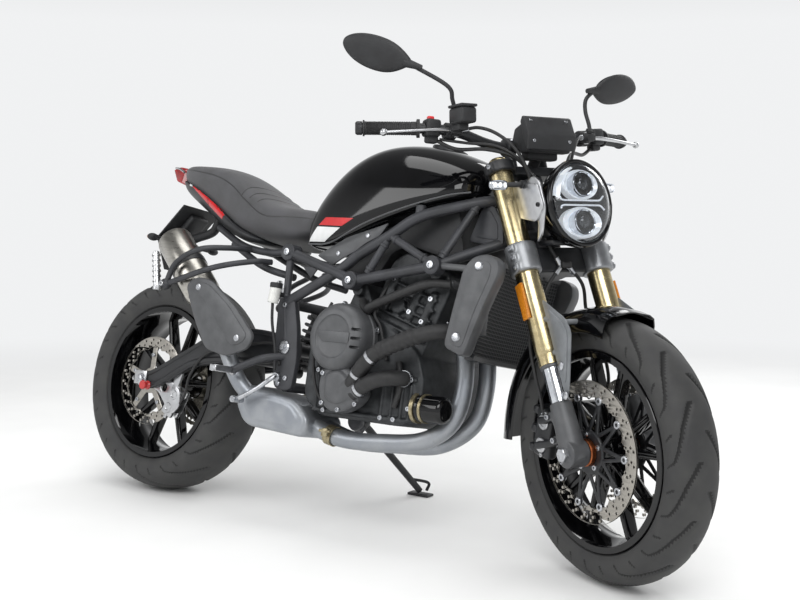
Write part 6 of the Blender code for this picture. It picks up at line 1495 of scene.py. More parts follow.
def make_crankcase():
    """Dark cast cases: sump, split flange, ribs, the leaning cylinder block and its finned sides."""
    shapes = [side_plate(rounded(CASE, 0.02), 0, CASE_WIDE - 0.008, 0.004)]
    shapes.append(side_plate(rounded(BARREL, 0.012), 0, BARREL_WIDE - 0.006, 0.003))
    turn = axes_turn(BARREL_ACROSS, LEFT, BARREL_ACROSS.cross(LEFT))
    for side in (-1, 1):
        y = side * (CASE_WIDE / 2 - 0.001)
        for x in (0.690, 0.722, 0.900, 0.930, 0.960, 0.985):
            shapes.append(block((0.007, 0.010, 0.090), Vector((x, y, 0.345)), None, 0.002))
        shapes.append(block((0.330, 0.012, 0.010), Vector((0.835, y, 0.400)), None, 0.003))
        shapes.append(block((0.300, 0.014, 0.010), Vector((0.830, y, 0.300)), None, 0.003))
        for k in range(5):
            up = 0.008 + 0.026 * k
            shapes.append(block((0.176 - 0.006 * k, 0.020, 0.007),
                                barrel_place(0.022, up, side * (BARREL_WIDE / 2 - 0.001)), turn, 0.0025))
        for across in (-0.046, 0.036, 0.082):
            shapes.append(block((0.022, 0.026, 0.090), barrel_place(across, 0.085,
                                                                    side * (BARREL_WIDE / 2 - 0.002)), turn,
                                0.005))
        shapes.append(rod(barrel_place(-0.005, 0.062, side * 0.100),
                          barrel_place(-0.005, 0.062, side * 0.149), 0.022, chamfer=0.004))
    shapes += [rod(lug - LEFT * 0.1617, lug + LEFT * 0.1617, 0.016)
               for lug in (Vector((1.020, 0, 0.660)), Vector((0.786, 0, 0.612)))]
    shapes.append(side_plate([(0.745, 0.560), (0.772, 0.630), (0.800, 0.630), (0.835, 0.555)], 0, 0.284))
    piece("crankcase", "chassis", engine_cast, [cast(shapes, 0.0028, 3)], ["engine"])
    cover = [block((0.190, BARREL_WIDE - 0.020, 0.040), barrel_place(0.016, 0.155), turn, 0.012, 4)]
    for k in range(4):
        cover.append(block((0.010, BARREL_WIDE - 0.030, 0.044), barrel_place(-0.052 + 0.045 * k, 0.156), turn,
                           0.003))
    piece("cam_cover", "chassis", cover_grey, [cast(cover, 0.0025, 4)])
    screws = []
    for side in (-1, 1):
        y = side * (CASE_WIDE / 2 + 0.004)
        screws += [cap_screw(Vector((x, y, z)), LEFT * side, 0.0062)
                   for x, z in ((0.690, 0.400), (0.722, 0.300), (0.905, 0.400), (0.935, 0.400),
                                (0.985, 0.400), (0.905, 0.300), (0.945, 0.300), (0.985, 0.330),
                                (0.660, 0.470), (0.675, 0.540))]
        screws += [cap_screw(barrel_place(across, up, side * (BARREL_WIDE / 2 + 0.010)), LEFT * side, 0.0068)
                   for across, up in ((-0.046, 0.052), (-0.046, 0.118), (0.036, 0.060), (0.036, 0.118),
                                      (0.082, 0.052), (0.082, 0.112))]
        screws += [hex_nut(barrel_place(across, 0.134, side * (BARREL_WIDE / 2 - 0.012)), LEFT * side, 0.007)
                   for across in (-0.062, 0.010, 0.066)]
    piece("engine_screws", "chassis", zinc_steel, screws)
    ports = [turned([(0.024, 0.010), (0.034, 0.010), (0.036, 0.007), (0.036, 0), (0.024, 0)],
                    Vector((1.006, y, 0.540)), Vector((0.80, 0, -0.60)), 40) for y in (-0.050, 0.055)]
    studs = [hex_nut(Vector((1.010, y + dy, 0.545 + dz)), Vector((0.80, 0, -0.60)), 0.0075, 0.014)
             for y in (-0.050, 0.055) for dy, dz in ((-0.036, 0.010), (0.036, -0.010))]
    piece("exhaust_flanges", "chassis", bright_alloy, ports + studs)


# Where the covers stand: the middle of the face that each is screwed to
CLUTCH = Vector((0.774, -0.1503, 0.484))
CLUTCH_DEEP = 0.070
GENERATOR = Vector((0.790, 0.1503, 0.440))


def make_engine_covers():
    """Painted covers: the round clutch cover with its recess, band and slots, and the left-hand cover."""
    deep = CLUTCH_DEEP
    profile = [(0, deep - 0.005), (0.050, deep - 0.005), (0.0535, deep - 0.0035), (0.0555, deep),
               (0.0665, deep), (0.0710, deep - 0.0025), (0.0800, deep - 0.010), (0.0862, deep - 0.022),
               (0.0875, deep - 0.030), (0.0875, 0.016), (0.0900, 0.013), (0.0900, 0), (0, 0)]
    cover = turned(profile, CLUTCH, -LEFT, 144)
    slots = [block((0.030, 0.020, 0.0075), CLUTCH + Vector((0.073, -deep + 0.004, z)), None, 0.003, 3)
             for z in (0.022, 0.0, -0.022)]
    cover = carved([cover], slots)
    band = [(-0.049, 0.013), (0.050, 0.013), (0.050, -0.014), (-0.034, -0.014), (-0.050, 0.002)]
    band = side_plate([(CLUTCH.x + x, CLUTCH.z + z) for x, z in band], CLUTCH.y - deep + 0.0045, 0.003,
                      0.0008)
    piece("clutch_cover_paint", "chassis", cover_grey, [cover, band], ["clutch_cover"])
    deep = 0.055
    left = [(0, deep), (0.030, deep), (0.034, deep - 0.003), (0.038, deep - 0.003), (0.042, deep),
            (0.056, deep - 0.001), (0.072, deep - 0.010), (0.080, deep - 0.022), (0.082, 0.014),
            (0.085, 0.011), (0.085, 0), (0, 0)]
    shapes = [turned(left, GENERATOR, LEFT, 144)]
    for k in range(6):
        angle = 2 * math.pi * k / 6
        shapes.append(bar(GENERATOR + spin_place(0.044, angle) + LEFT * (deep - 0.002),
                          GENERATOR + spin_place(0.074, angle) + LEFT * (deep - 0.014), 0.005, 0.006, 0.8))
    piece("generator_cover_paint", "chassis", cover_grey, shapes, ["generator_cover"])
    screws = [cap_screw(CLUTCH + spin_place(0.094, a) - LEFT * 0.004, -LEFT, 0.0058)
              for a in angles(8, 0.4)]
    screws += [cap_screw(GENERATOR + spin_place(0.089, a), LEFT, 0.0058)
               for a in angles(7, 0.2)]
    lugs = [rod(CLUTCH + spin_place(0.093, a), CLUTCH + spin_place(0.093, a) - LEFT * 0.006, 0.0085)
            for a in angles(8, 0.4)]
    piece("engine_cover_screws", "chassis", zinc_steel, screws)
    piece("clutch_cover_lugs", "chassis", cover_grey, lugs)


# The water pump in the side view, and the coolant hoses' middle lines
PUMP = [(0.735, 0.398), (0.762, 0.415), (0.800, 0.418), (0.842, 0.400), (0.866, 0.370), (0.870, 0.345),
        (0.850, 0.320), (0.815, 0.300), (0.770, 0.300), (0.742, 0.322), (0.730, 0.360)]
HOSE_A = lay([(0.835, -0.195, 0.372), (0.880, -0.215, 0.420), (0.928, -0.220, 0.459), (1.011, -0.205, 0.500),
              (1.064, -0.170, 0.520), (1.098, -0.128, 0.520)])
HOSE_B = lay([(0.845, -0.195, 0.350), (0.890, -0.205, 0.378), (0.935, -0.200, 0.395), (0.964, -0.168, 0.400),
              (0.964, -0.150, 0.400)])
HOSE_R = 0.019


def ring_on(route, at, r, long, steps=40):
    """A band round a hose at one of its places."""
    along = (route[at + 1] - route[at - 1]).normalized()
    return turned([(r - 0.001, long / 2), (r + 0.0012, long / 2), (r + 0.0012, -long / 2),
                   (r - 0.001, -long / 2)], route[at], along, steps)


def make_cooling():
    """Water pump cover and coolant hoses with their clips, and the oil hose under the frame tube."""
    cover = [side_plate(rounded(PUMP, 0.02), -0.176, 0.050, 0.009),
             side_plate(rounded([(0.752, 0.392), (0.800, 0.408), (0.852, 0.366), (0.842, 0.335),
                                 (0.800, 0.315), (0.760, 0.330)], 0.02), -0.198, 0.020, 0.008),
             tube([Vector((0.805, -0.188, 0.352)), Vector((0.856, -0.196, 0.388))], 0.0205, 32),
             tube([Vector((0.815, -0.188, 0.345)), Vector((0.862, -0.198, 0.360))], 0.0205, 32)]
    piece("water_pump_cover", "chassis", cover_grey, [cast(cover, 0.002, 4)])
    piece("water_pump_screws", "chassis", zinc_steel,
          [cap_screw(Vector((x, -0.200, z)), -LEFT, 0.0062) for x, z in ((0.744, 0.392), (0.752, 0.318),
                                                                        (0.806, 0.306), (0.858, 0.325))])
    upper = through(HOSE_A, 90)
    lower = through(HOSE_B, 60)
    radii = [HOSE_R * (1.10 if 32 < k < 58 and k % 3 else 1.0) for k in range(len(upper))]
    piece("coolant_hose_rubber", "chassis", hose_rubber, [tube(upper, radii, 32), tube(lower, HOSE_R, 32)],
          ["coolant_hoses"])
    clips = [ring_on(upper, at, HOSE_R, 0.009) for at in (10, 28, 84)] + [ring_on(lower, at, HOSE_R, 0.009)
                                                                         for at in (7, 52)]
    piece("hose_clips", "chassis", zinc_steel, clips)
    oil = through(lay([(0.800, -0.150, 0.585), (0.826, -0.165, 0.560), (0.850, -0.170, 0.572),
                       (0.930, -0.172, 0.604), (1.010, -0.172, 0.632), (1.060, -0.150, 0.636)]), 60)
    radii = [0.0105 * (1.14 if 16 < k < 50 else 1.0) for k in range(len(oil))]
    piece("breather_hose", "chassis", hose_rubber, [tube(oil, radii, 20)])
    wires = []
    for route, r in (([(0.700, -0.150, 0.575), (0.690, -0.168, 0.520), (0.670, -0.160, 0.440),
                       (0.690, -0.156, 0.350), (0.740, -0.150, 0.300)], 0.004),
                     ([(0.872, -0.140, 0.640), (0.850, -0.158, 0.560), (0.872, -0.156, 0.520),
                       (0.900, -0.152, 0.440)], 0.0045), ([(0.640, 0.140, 0.560), (0.690, 0.160, 0.540),
                                                           (0.720, 0.166, 0.500)], 0.004),
                     ([(0.940, -0.150, 0.330), (0.955, -0.158, 0.380), (0.940, -0.154, 0.440)], 0.008)):
        wires.append(tube(through(lay(route), 40), r, 12))
    piece("engine_leads", "chassis", hose_rubber, wires)


def make_oil_filter():
    """A spin-on oil filter: black enamelled can with a fluted end, on its bronze-coloured seat ring."""
    start = Vector((1.005, -0.130, 0.336))
    can = [(0, 0.076), (0.020, 0.076), (0.026, 0.075), (0.0315, 0.070), (0.033, 0.064), (0.033, 0.012),
           (0.034, 0.010), (0.034, 0), (0, 0)]
    piece("oil_filter_can", "chassis", enamel_black, [turned(can, start, FORWARD, 72)], ["oil_filter"])
    piece("oil_filter_ring", "chassis", bronze_clamp,
          [turned([(0.033, 0.020), (0.0355, 0.020), (0.0355, 0.013), (0.033, 0.013)], start, FORWARD, 60),
           turned([(0.030, 0.0), (0.038, 0.0), (0.038, -0.010), (0.030, -0.010)], start, FORWARD, 60)])


# The radiator's bow from above, its heights and lean, and its side cover in the side view
RADIATOR_ARC = [(1.150, 0.150), (1.132, 0.080), (1.126, 0)]
RADIATOR_THICK = 0.026
RADIATOR_LOW = 0.462
RADIATOR_HIGH = 0.700
RADIATOR_LEAN = 0.040
RADIATOR_COVER = [(1.124, 0.672), (1.150, 0.700), (1.190, 0.706), (1.218, 0.690), (1.222, 0.660),
                  (1.190, 0.580), (1.152, 0.462), (1.094, 0.484), (1.105, 0.560)]
RADIATOR_COVER_Y = 0.182


def make_radiator():
    """A bowed core of flat tubes and fins between its end tanks, with a moulded cover on each side."""
    arc = [Vector((x, y, 0)) for x, y in RADIATOR_ARC]
    front = through(arc + [Vector((p.x, -p.y, 0)) for p in arc[-2::-1]], 32)

    def level(share, out, thick):
        rise = RADIATOR_LOW + (RADIATOR_HIGH - RADIATOR_LOW) * share
        lean = RADIATOR_LEAN * share
        near = [Vector((p.x + lean + out, p.y, rise)) for p in front]
        return near + [Vector((p.x + lean - thick, p.y, rise)) for p in front[::-1]]

    core = [loft([level(0.03, -0.005, RADIATOR_THICK - 0.006), level(0.97, -0.005, RADIATOR_THICK - 0.006)])]
    piece("radiator_fins", "chassis", radiator_core, core, ["radiator"])
    rows = 26
    tubes = [loft([level(0.04 + 0.92 * (k + 0.32) / rows, -0.001, RADIATOR_THICK - 0.002),
                   level(0.04 + 0.92 * (k + 0.50) / rows, -0.001, RADIATOR_THICK - 0.002)])
             for k in range(rows)]
    tubes += [loft([level(a, 0, RADIATOR_THICK), level(b, 0, RADIATOR_THICK)])
              for a, b in ((0, 0.045), (0.955, 1))]
    piece("radiator_tubes", "chassis", satin_black, tubes, ["radiator"])
    covers = []
    screws = []
    for side in (-1, 1):
        y = side * RADIATOR_COVER_Y
        panel = side_plate(rounded(RADIATOR_COVER, 0.016), y, 0.040, 0.007)
        rib = side_plate(rounded([(1.140, 0.662), (1.158, 0.684), (1.188, 0.690), (1.203, 0.676),
                                  (1.200, 0.650), (1.170, 0.570), (1.146, 0.482), (1.112, 0.494),
                                  (1.124, 0.570)], 0.014), y + side * 0.0195, 0.005, 0.002)
        covers += [panel, rib, block((0.020, 0.040, 0.120), Vector((1.157, side * 0.152, 0.581)), None,
                                     0.004), rod(Vector((1.140, side * 0.178, 0.672)),
                                                 Vector((1.050, side * 0.178, 0.676)), 0.008)]
        for x, z in ((1.170, 0.676), (1.130, 0.508)):
            screws.append(turned([(0, 0.004), (0.006, 0.005), (0.0095, 0.004), (0.0115, 0), (0, 0)],
                                 Vector((x, y + side * 0.0222, z)), LEFT * side, 28))
    piece("radiator_covers", "chassis", cover_grey, covers, ["radiator"])
    piece("radiator_cover_screws", "chassis", zinc_steel, screws)
    centre = Vector((1.116, 0, 0.585))
    fan = [turned([(0.078, 0.004), (0.084, 0.004), (0.084, -0.018), (0.078, -0.018)], centre
                  - FORWARD * 0.004, FORWARD, 64), rod(centre - FORWARD * 0.036, centre - FORWARD * 0.010,
                                                       0.022)]
    for k in range(6):
        angle = math.pi * k / 3
        out = Vector((0, math.cos(angle), math.sin(angle)))
        fan.append(bar(centre - FORWARD * 0.016 + out * 0.018, centre - FORWARD * 0.016 + out * 0.079, 0.010,
                       0.006, 1, FORWARD))
    piece("radiator_fan", "chassis", moulded_black, fan)


# Middle lines of the exhaust pipes, and the collector box and silencer guard in the side view
PIPE_RIGHT = lay([(1.000, -0.050, 0.545), (1.052, -0.050, 0.500), (1.070, -0.052, 0.400),
                  (1.056, -0.065, 0.310), (1.000, -0.095, 0.258), (0.900, -0.112, 0.240),
                  (0.763, -0.120, 0.234), (0.640, -0.120, 0.262)])
PIPE_LEFT = lay([(1.000, 0.055, 0.545), (1.052, 0.055, 0.500), (1.066, 0.055, 0.400), (1.048, 0.045, 0.310),
                 (0.985, 0.000, 0.250), (0.880, -0.040, 0.236), (0.763, -0.066, 0.232),
                 (0.640, -0.070, 0.262)])
PIPE_R = 0.022
COLLECTOR = [(0.675, 0.222), (0.462, 0.232), (0.420, 0.290), (0.428, 0.341), (0.500, 0.335), (0.634, 0.316),
             (0.688, 0.270)]
COLLECTOR_Y = -0.095
COLLECTOR_WIDE = 0.150
TAIL_PIPE = lay([(0.465, -0.150, 0.305), (0.425, -0.172, 0.350), (0.372, -0.180, 0.430),
                 (0.300, -0.1728, 0.520)])
SILENCER_FRONT = Vector((0.285, -0.172, 0.535))
SILENCER_REAR = Vector((0.083, -0.165, 0.728))
SILENCER_R = 0.050
SILENCER_ALONG = (SILENCER_REAR - SILENCER_FRONT).normalized()
GUARD_OUTLINE = [(0.240, 0.590), (0.275, 0.614), (0.335, 0.608), (0.440, 0.540), (0.522, 0.466),
                 (0.505, 0.430), (0.430, 0.405), (0.350, 0.420), (0.290, 0.500)]


def make_exhaust():
    """Two bent header pipes, the welded collector box under the engine and the pipe to the silencer."""
    pipes = [tube(through(route, 90), PIPE_R, 40) for route in (PIPE_RIGHT, PIPE_LEFT)]
    pipes.append(tube(through(TAIL_PIPE, 40), PIPE_R, 40))
    box = [side_plate(rounded(COLLECTOR, 0.03, 6), COLLECTOR_Y, COLLECTOR_WIDE, 0.012)]
    box.append(side_plate(rounded([(0.640, 0.240), (0.490, 0.250), (0.455, 0.292), (0.460, 0.322),
                                   (0.510, 0.318), (0.622, 0.300), (0.656, 0.268)], 0.02), COLLECTOR_Y,
                          COLLECTOR_WIDE + 0.004, 0.004))
    piece("exhaust_pipes", "chassis", header_steel, pipes + [cast(box, 0.0022, 4)], ["exhaust"])
    right = through(PIPE_RIGHT, 90)
    beads = [ring_on(right, at, PIPE_R, 0.004, 36) for at in (16, 48)]
    piece("exhaust_welds", "chassis", header_steel, beads)
    clamp_at = 80
    strap = ring_on(right, clamp_at, PIPE_R + 0.003, 0.024, 48)
    clamp = right[clamp_at]
    piece("exhaust_clamp", "chassis", bronze_clamp,
          [strap, block((0.020, 0.012, 0.022), clamp + Vector((0, -0.030, 0.006)), None, 0.003),
           rod(clamp + Vector((-0.018, -0.032, 0.010)), clamp + Vector((0.018, -0.032, 0.010)), 0.004)])


def make_silencer():
    """A short brushed can with a rolled end and dark outlet, and the matt guard beside its pipe."""
    long = (SILENCER_REAR - SILENCER_FRONT).length
    bore_r = SILENCER_R * 0.62
    can = [(bore_r * 0.985, long - 0.028), (bore_r, long - 0.001), (bore_r + 0.002, long),
           (SILENCER_R * 0.92, long), (SILENCER_R * 0.955, long - 0.002), (SILENCER_R * 0.97, long - 0.008),
           (SILENCER_R, long - 0.010), (SILENCER_R, 0.062), (SILENCER_R * 0.97, 0.060),
           (SILENCER_R * 0.97, 0.054), (SILENCER_R * 0.80, 0.034), (PIPE_R * 1.28, 0.006), (PIPE_R * 1.28, 0),
           (0, 0), (0, long - 0.035), (bore_r * 0.985, long - 0.035)]
    piece("silencer_can", "chassis", silencer_steel, [turned(can, SILENCER_FRONT, SILENCER_ALONG, 96)],
          ["silencer"])
    inside = turned([(0, 0.004), (bore_r * 0.97, 0.004), (bore_r * 0.97, 0), (0, 0)],
                    SILENCER_REAR - SILENCER_ALONG * 0.034, SILENCER_ALONG, 48)
    grille = turned([(0.016, 0.030), (0.018, 0.030), (0.018, 0), (0.016, 0)],
                    SILENCER_REAR - SILENCER_ALONG * 0.034, SILENCER_ALONG, 48)
    piece("silencer_outlet", "chassis", satin_black, [inside, grille])
    piece("silencer_strap", "chassis", satin_black, [turned([(SILENCER_R - 0.001, 0.010),
                                                             (SILENCER_R + 0.0016, 0.010),
                                                             (SILENCER_R + 0.0016, -0.010),
                                                             (SILENCER_R - 0.001, -0.010)], SILENCER_FRONT
                                                            + SILENCER_ALONG * 0.160, SILENCER_ALONG, 72)])
    guard = [side_plate(rounded(GUARD_OUTLINE, 0.02), -0.232, 0.012, 0.004)]
    raised_part = [(0.272, 0.585), (0.292, 0.600), (0.332, 0.596), (0.420, 0.540), (0.502, 0.466),
                   (0.486, 0.444), (0.446, 0.432), (0.400, 0.480), (0.330, 0.545)]
    guard.append(side_plate(rounded(raised_part, 0.02), -0.2365, 0.009, 0.004))
    for x, y, z in ((0.388, -0.185, 0.428), (0.262, -0.180, 0.560)):
        guard.append(rod(Vector((x, y - 0.012, z)), Vector((x, -0.232, z)), 0.010))
    piece("silencer_guard_paint", "chassis", cover_grey, guard, ["silencer_guard"])
    piece("silencer_guard_screws", "chassis", zinc_steel, [turned([(0, 0.003), (0.005, 0.0045),
                                                                   (0.0085, 0.0035), (0.010, 0), (0, 0)],
                                                                  Vector((x, -0.2392, z)), -LEFT, 28)
                                                           for x, z in ((0.466, 0.456), (0.296, 0.585))])


def make_engine():
    """Engine, cooling and exhaust."""
    make_crankcase()
    make_engine_covers()
    make_cooling()
    make_oil_filter()
    make_radiator()
    make_exhaust()
    make_silencer()


# Frame, footrests and foot controls, swingarm, rear brake and side stand

# The frame's tubes on the left, each a list of places, and its plates in the side view
TUBE_R = 0.0135
BRACE_R = 0.010
UPPER_TUBE = [(1.176, 0.014, 0.868), (1.114, 0.085, 0.854), (1.048, 0.140, 0.828), (0.953, 0.165, 0.797),
              (0.873, 0.170, 0.748), (0.784, 0.168, 0.700), (0.716, 0.163, 0.655), (0.540, 0.150, 0.566)]
LOWER_TUBES = [[(1.208, 0.014, 0.790), (1.126, 0.105, 0.735), (1.026, 0.178, 0.676)],
               [(1.026, 0.178, 0.676), (0.781, 0.178, 0.630)],
               [(0.781, 0.178, 0.630), (0.720, 0.168, 0.650), (0.535, 0.150, 0.702)]]
BRACES = [[(0.886, 0.170, 0.745), (1.004, 0.178, 0.688)], [(0.869, 0.170, 0.736), (0.826, 0.178, 0.651)],
          [(1.085, 0.115, 0.835), (1.039, 0.172, 0.695)], [(0.535, 0.150, 0.702), (0.540, 0.150, 0.572)],
          [(0.540, 0.150, 0.572), (0.566, 0.150, 0.450)]]
BOSSES = [(1.026, 0.178, 0.676), (0.781, 0.178, 0.630), (0.535, 0.150, 0.702)]
CROSS_TUBES = [(0.540, 0.150, 0.566), (0.575, 0.150, 0.346), (0.535, 0.150, 0.690)]
CHEEK = [(1.120, 0.842), (1.088, 0.835), (1.060, 0.752), (1.130, 0.742), (1.160, 0.745), (1.150, 0.800)]
PIVOT = Vector((0.565, 0, 0.448))
PIVOT_PLATE = [(0.520, 0.580), (0.575, 0.585), (0.600, 0.500), (0.612, 0.420), (0.606, 0.337), (0.545, 0.337),
               (0.530, 0.400)]
STAND_PLATE = [(0.560, 0.400), (0.612, 0.400), (0.616, 0.262), (0.590, 0.244), (0.566, 0.262)]
PLATE_Y = 0.150
PEG_ARM = [(0.565, 0.152, 0.425), (0.525, 0.200, 0.410), (0.452, 0.228, 0.370)]
PEG = (0.452, 0.224, 0.370)
PEG_LONG = 0.075
BRAKE_PEDAL = lay([(0.556, -0.150, 0.372), (0.556, -0.178, 0.366), (0.520, -0.198, 0.330),
                   (0.466, -0.208, 0.297)])
GEAR_LEVER = lay([(0.545, 0.150, 0.385), (0.545, 0.178, 0.380), (0.515, 0.198, 0.355), (0.470, 0.208, 0.338)])
POT_LOW = Vector((0.530, -0.190, 0.560))
POT_HIGH = Vector((0.535, -0.190, 0.602))


def weld(place, along, r):
    """A bead of weld round the end of a tube."""
    profile = [(r * 0.92, 0.005), (r + 0.002, 0.003), (r + 0.0028, 0), (r + 0.002, -0.003),
               (r * 0.92, -0.005)]
    return turned(profile, place, along, 28)


def make_trellis():
    """The powder-coated tube frame with its welds, bolt bosses, head tube, cheeks and pivot plates."""
    low = on_stem(fork_point(clamp_drop(LOWER_CLAMP_Z))) + STEER_AXIS * (LOWER_CLAMP_TALL * 0.45 + 0.0006)
    high = on_stem(fork_point(clamp_drop(UPPER_CLAMP_Z))) - STEER_AXIS * (UPPER_CLAMP_TALL * 0.45 + 0.0006)
    shapes = [rod(low, high, 0.030, sides=48, chamfer=0.002)]
    bolts = []
    for side, _ in SIDES:
        shapes.append(tube(through(to_side(UPPER_TUBE, side), 70), TUBE_R, 24))
        shapes += [tube(through(to_side(route, side), 16), TUBE_R, 24) for route in LOWER_TUBES]
        for brace in BRACES:
            a, b = to_side(brace, side)
            along = (b - a).normalized()
            shapes += [rod(a, b, BRACE_R), weld(a + along * TUBE_R, along, BRACE_R),
                       weld(b - along * TUBE_R, along, BRACE_R)]
        for place in to_side(BOSSES, side):
            out = LEFT * side
            profile = [(0, 0.0155), (0.010, 0.0155), (0.0115, 0.014), (0.019, 0.0145), (0.0215, 0.016),
                       (0.023, 0.0145), (0.023, -0.016), (0, -0.016)]
            shapes.append(turned(profile, place, out, 48))
            bolts.append(turned([(0, 0.003), (0.0045, 0.0035), (0.005, 0.006), (0.009, 0.0055), (0.0095, 0),
                                 (0, 0)], place + out * 0.0150, out, 24))
        shapes.append(side_plate(rounded(CHEEK, 0.010), side * 0.090, 0.012, 0.002))
        shapes.append(side_plate(rounded([(1.112, 0.830), (1.096, 0.826), (1.076, 0.764), (1.128, 0.756),
                                          (1.144, 0.758), (1.138, 0.796)], 0.008), side * 0.096, 0.004,
                                 0.0015))
        shapes.append(side_plate(rounded(PIVOT_PLATE, 0.020), side * PLATE_Y, 0.018, 0.003))
        shapes.append(tube(through(to_side(PEG_ARM, side), 16), 0.010, 20))
        pad = to_side([(0.953, 0.160, 0.797)], side)[0]
        shapes.append(rod(pad, pad + UP * 0.030, TUBE_R))
        bolts.append(turned([(0, 0.012), (0.007, 0.012), (0.008, 0.006), (0.015, 0.006), (0.018, 0.003),
                             (0.018, 0), (0, 0)], PIVOT + LEFT * side * (PLATE_Y + 0.009), LEFT * side, 40))
        bolts += [cap_screw(Vector((x, side * (PLATE_Y + 0.009), z)), LEFT * side, 0.0065)
                  for x, z in ((0.548, 0.560), (0.583, 0.368), (0.560, 0.352))]
    shapes += [rod(Vector(p), Vector((p[0], -p[1], p[2])), TUBE_R) for p in CROSS_TUBES]
    shapes.append(side_plate(rounded(STAND_PLATE, 0.014), PLATE_Y, 0.016, 0.003))
    lug = STAND_PIVOT - STAND_AXIS * 0.0126
    shapes += [rod(lug - STAND_AXIS * 0.018, lug, 0.018), rod(lug, STAND_PIVOT + STAND_AXIS * 0.016, 0.006)]
    shapes.append(side_plate([(0.594, 0.664), (0.650, 0.666), (0.626, 0.634)], -0.160, 0.005))
    piece("frame_tubes", "chassis", powder_grey, shapes, ["main_frame"])
    piece("frame_bolts", "chassis", zinc_steel, bolts)


def pot_white():
    """Translucent white nylon, blow moulded for the brake fluid's pot."""
    return plain_paint("white nylon pot", "#c9cac6", "#dcdcd8", (0.35, 0.45))


def make_foot_controls():
    """Toothed alloy footrests, the brake pedal, the gear lever and the rear brake's fluid pot."""
    alloy = []
    for side, _ in SIDES:
        peg = to_side([PEG], side)[0]
        out = LEFT * side
        alloy += [rod(peg - out * 0.004, peg + out * PEG_LONG, 0.0075), ball(peg, (0.012, 0.012, 0.012))]
        for k in range(7):
            at = peg + out * (0.014 + 0.0095 * k)
            alloy.append(block((0.021, 0.0055, 0.014), at + UP * 0.003, None, 0.0015, 1))
        alloy += [block((0.003, 0.060, 0.016), peg + out * 0.043 + FORWARD * 0.010 * way + UP * 0.002, None,
                        0.001, 1) for way in (-1, 1)]
    piece("footrests", "chassis", bright_alloy, alloy, ["main_frame"])
    levers = []
    for route in (BRAKE_PEDAL, GEAR_LEVER):
        levers += [tube(through(route, 24), 0.0062, 18, 1.0),
                   rod(route[0], route[0] + (route[1] - route[0]) * 0.7, 0.012),
                   rod(route[-1] - LEFT * 0.018, route[-1] + LEFT * 0.020, 0.0088)]
    piece("foot_levers", "chassis", zinc_steel, levers, ["main_frame"])
    piece("brake_fluid_pot", "chassis", pot_white, [rod(POT_LOW, POT_HIGH, 0.0148, sides=36, chamfer=0.002)],
          ["main_frame"])
    cap = [rod(POT_HIGH - UP * 0.002, POT_HIGH + UP * 0.012, 0.0168, sides=36, chamfer=0.002),
           rod(Vector((0.537, -0.150, 0.586)), Vector((0.534, -0.178, 0.586)), 0.006),
           tube(through([POT_LOW, POT_LOW + Vector((0.004, 0.004, -0.050)), Vector((0.548, -0.176, 0.440)),
                         Vector((0.553, -0.172, 0.385))], 30), 0.004, 12)]
    piece("brake_pot_cap", "chassis", moulded_black, cap, ["main_frame"])


# The swingarm's arm in the side view, and the middle lines of its two rails
ARM = [(-0.040, 0.300), (-0.040, 0.332), (0.037, 0.345), (0.170, 0.415), (0.306, 0.483), (0.450, 0.492),
       (0.590, 0.470), (0.590, 0.425), (0.450, 0.398), (0.330, 0.392), (0.200, 0.370), (0.060, 0.297)]
ARM_Y = 0.125
ARM_THICK = 0.026
TOP_RAIL = [(-0.030, 0.328), (0.034, 0.338), (0.166, 0.407), (0.304, 0.475), (0.450, 0.484), (0.584, 0.463)]
LOW_RAIL = [(-0.030, 0.306), (0.056, 0.306), (0.196, 0.379), (0.330, 0.401), (0.450, 0.406), (0.584, 0.432)]


def make_swingarm():
    """Two deep arms, each with a round rail above and below a sunk web, and the bridge ahead of the tyre."""
    shapes = []
    for side, _ in SIDES:
        shapes.append(side_plate(rounded(ARM, 0.012), side * ARM_Y, ARM_THICK - 0.008, 0.003))
        for rail, r in ((TOP_RAIL, 0.0072), (LOW_RAIL, 0.0085)):
            for y in (-0.0055, 0.0055):
                route = lay([(x, side * ARM_Y + y, z) for x, z in rail])
                shapes.append(tube(through(route, 50), r, 16))
        lug = Vector((0.472, side * 0.024, 0.388))
        shapes.append(bar(lug, Vector((0.410, side * 0.024, 0.414)), 0.022, 0.008, 1))
    shapes += [block((0.085, 2 * ARM_Y, 0.042), Vector((0.400, 0, 0.416)), None, 0.010, 4),
               rod(PIVOT - LEFT * (ARM_Y + 0.010), PIVOT + LEFT * (ARM_Y + 0.010), 0.0186, chamfer=0.002),
               rod(PIVOT - LEFT * 0.164, PIVOT + LEFT * 0.164, 0.012),
               rod(Vector((0.472, -0.024, 0.388)), Vector((0.472, 0.024, 0.388)), 0.008)]
    piece("swingarm_casting", "chassis", satin_black, shapes, ["swingarm"])


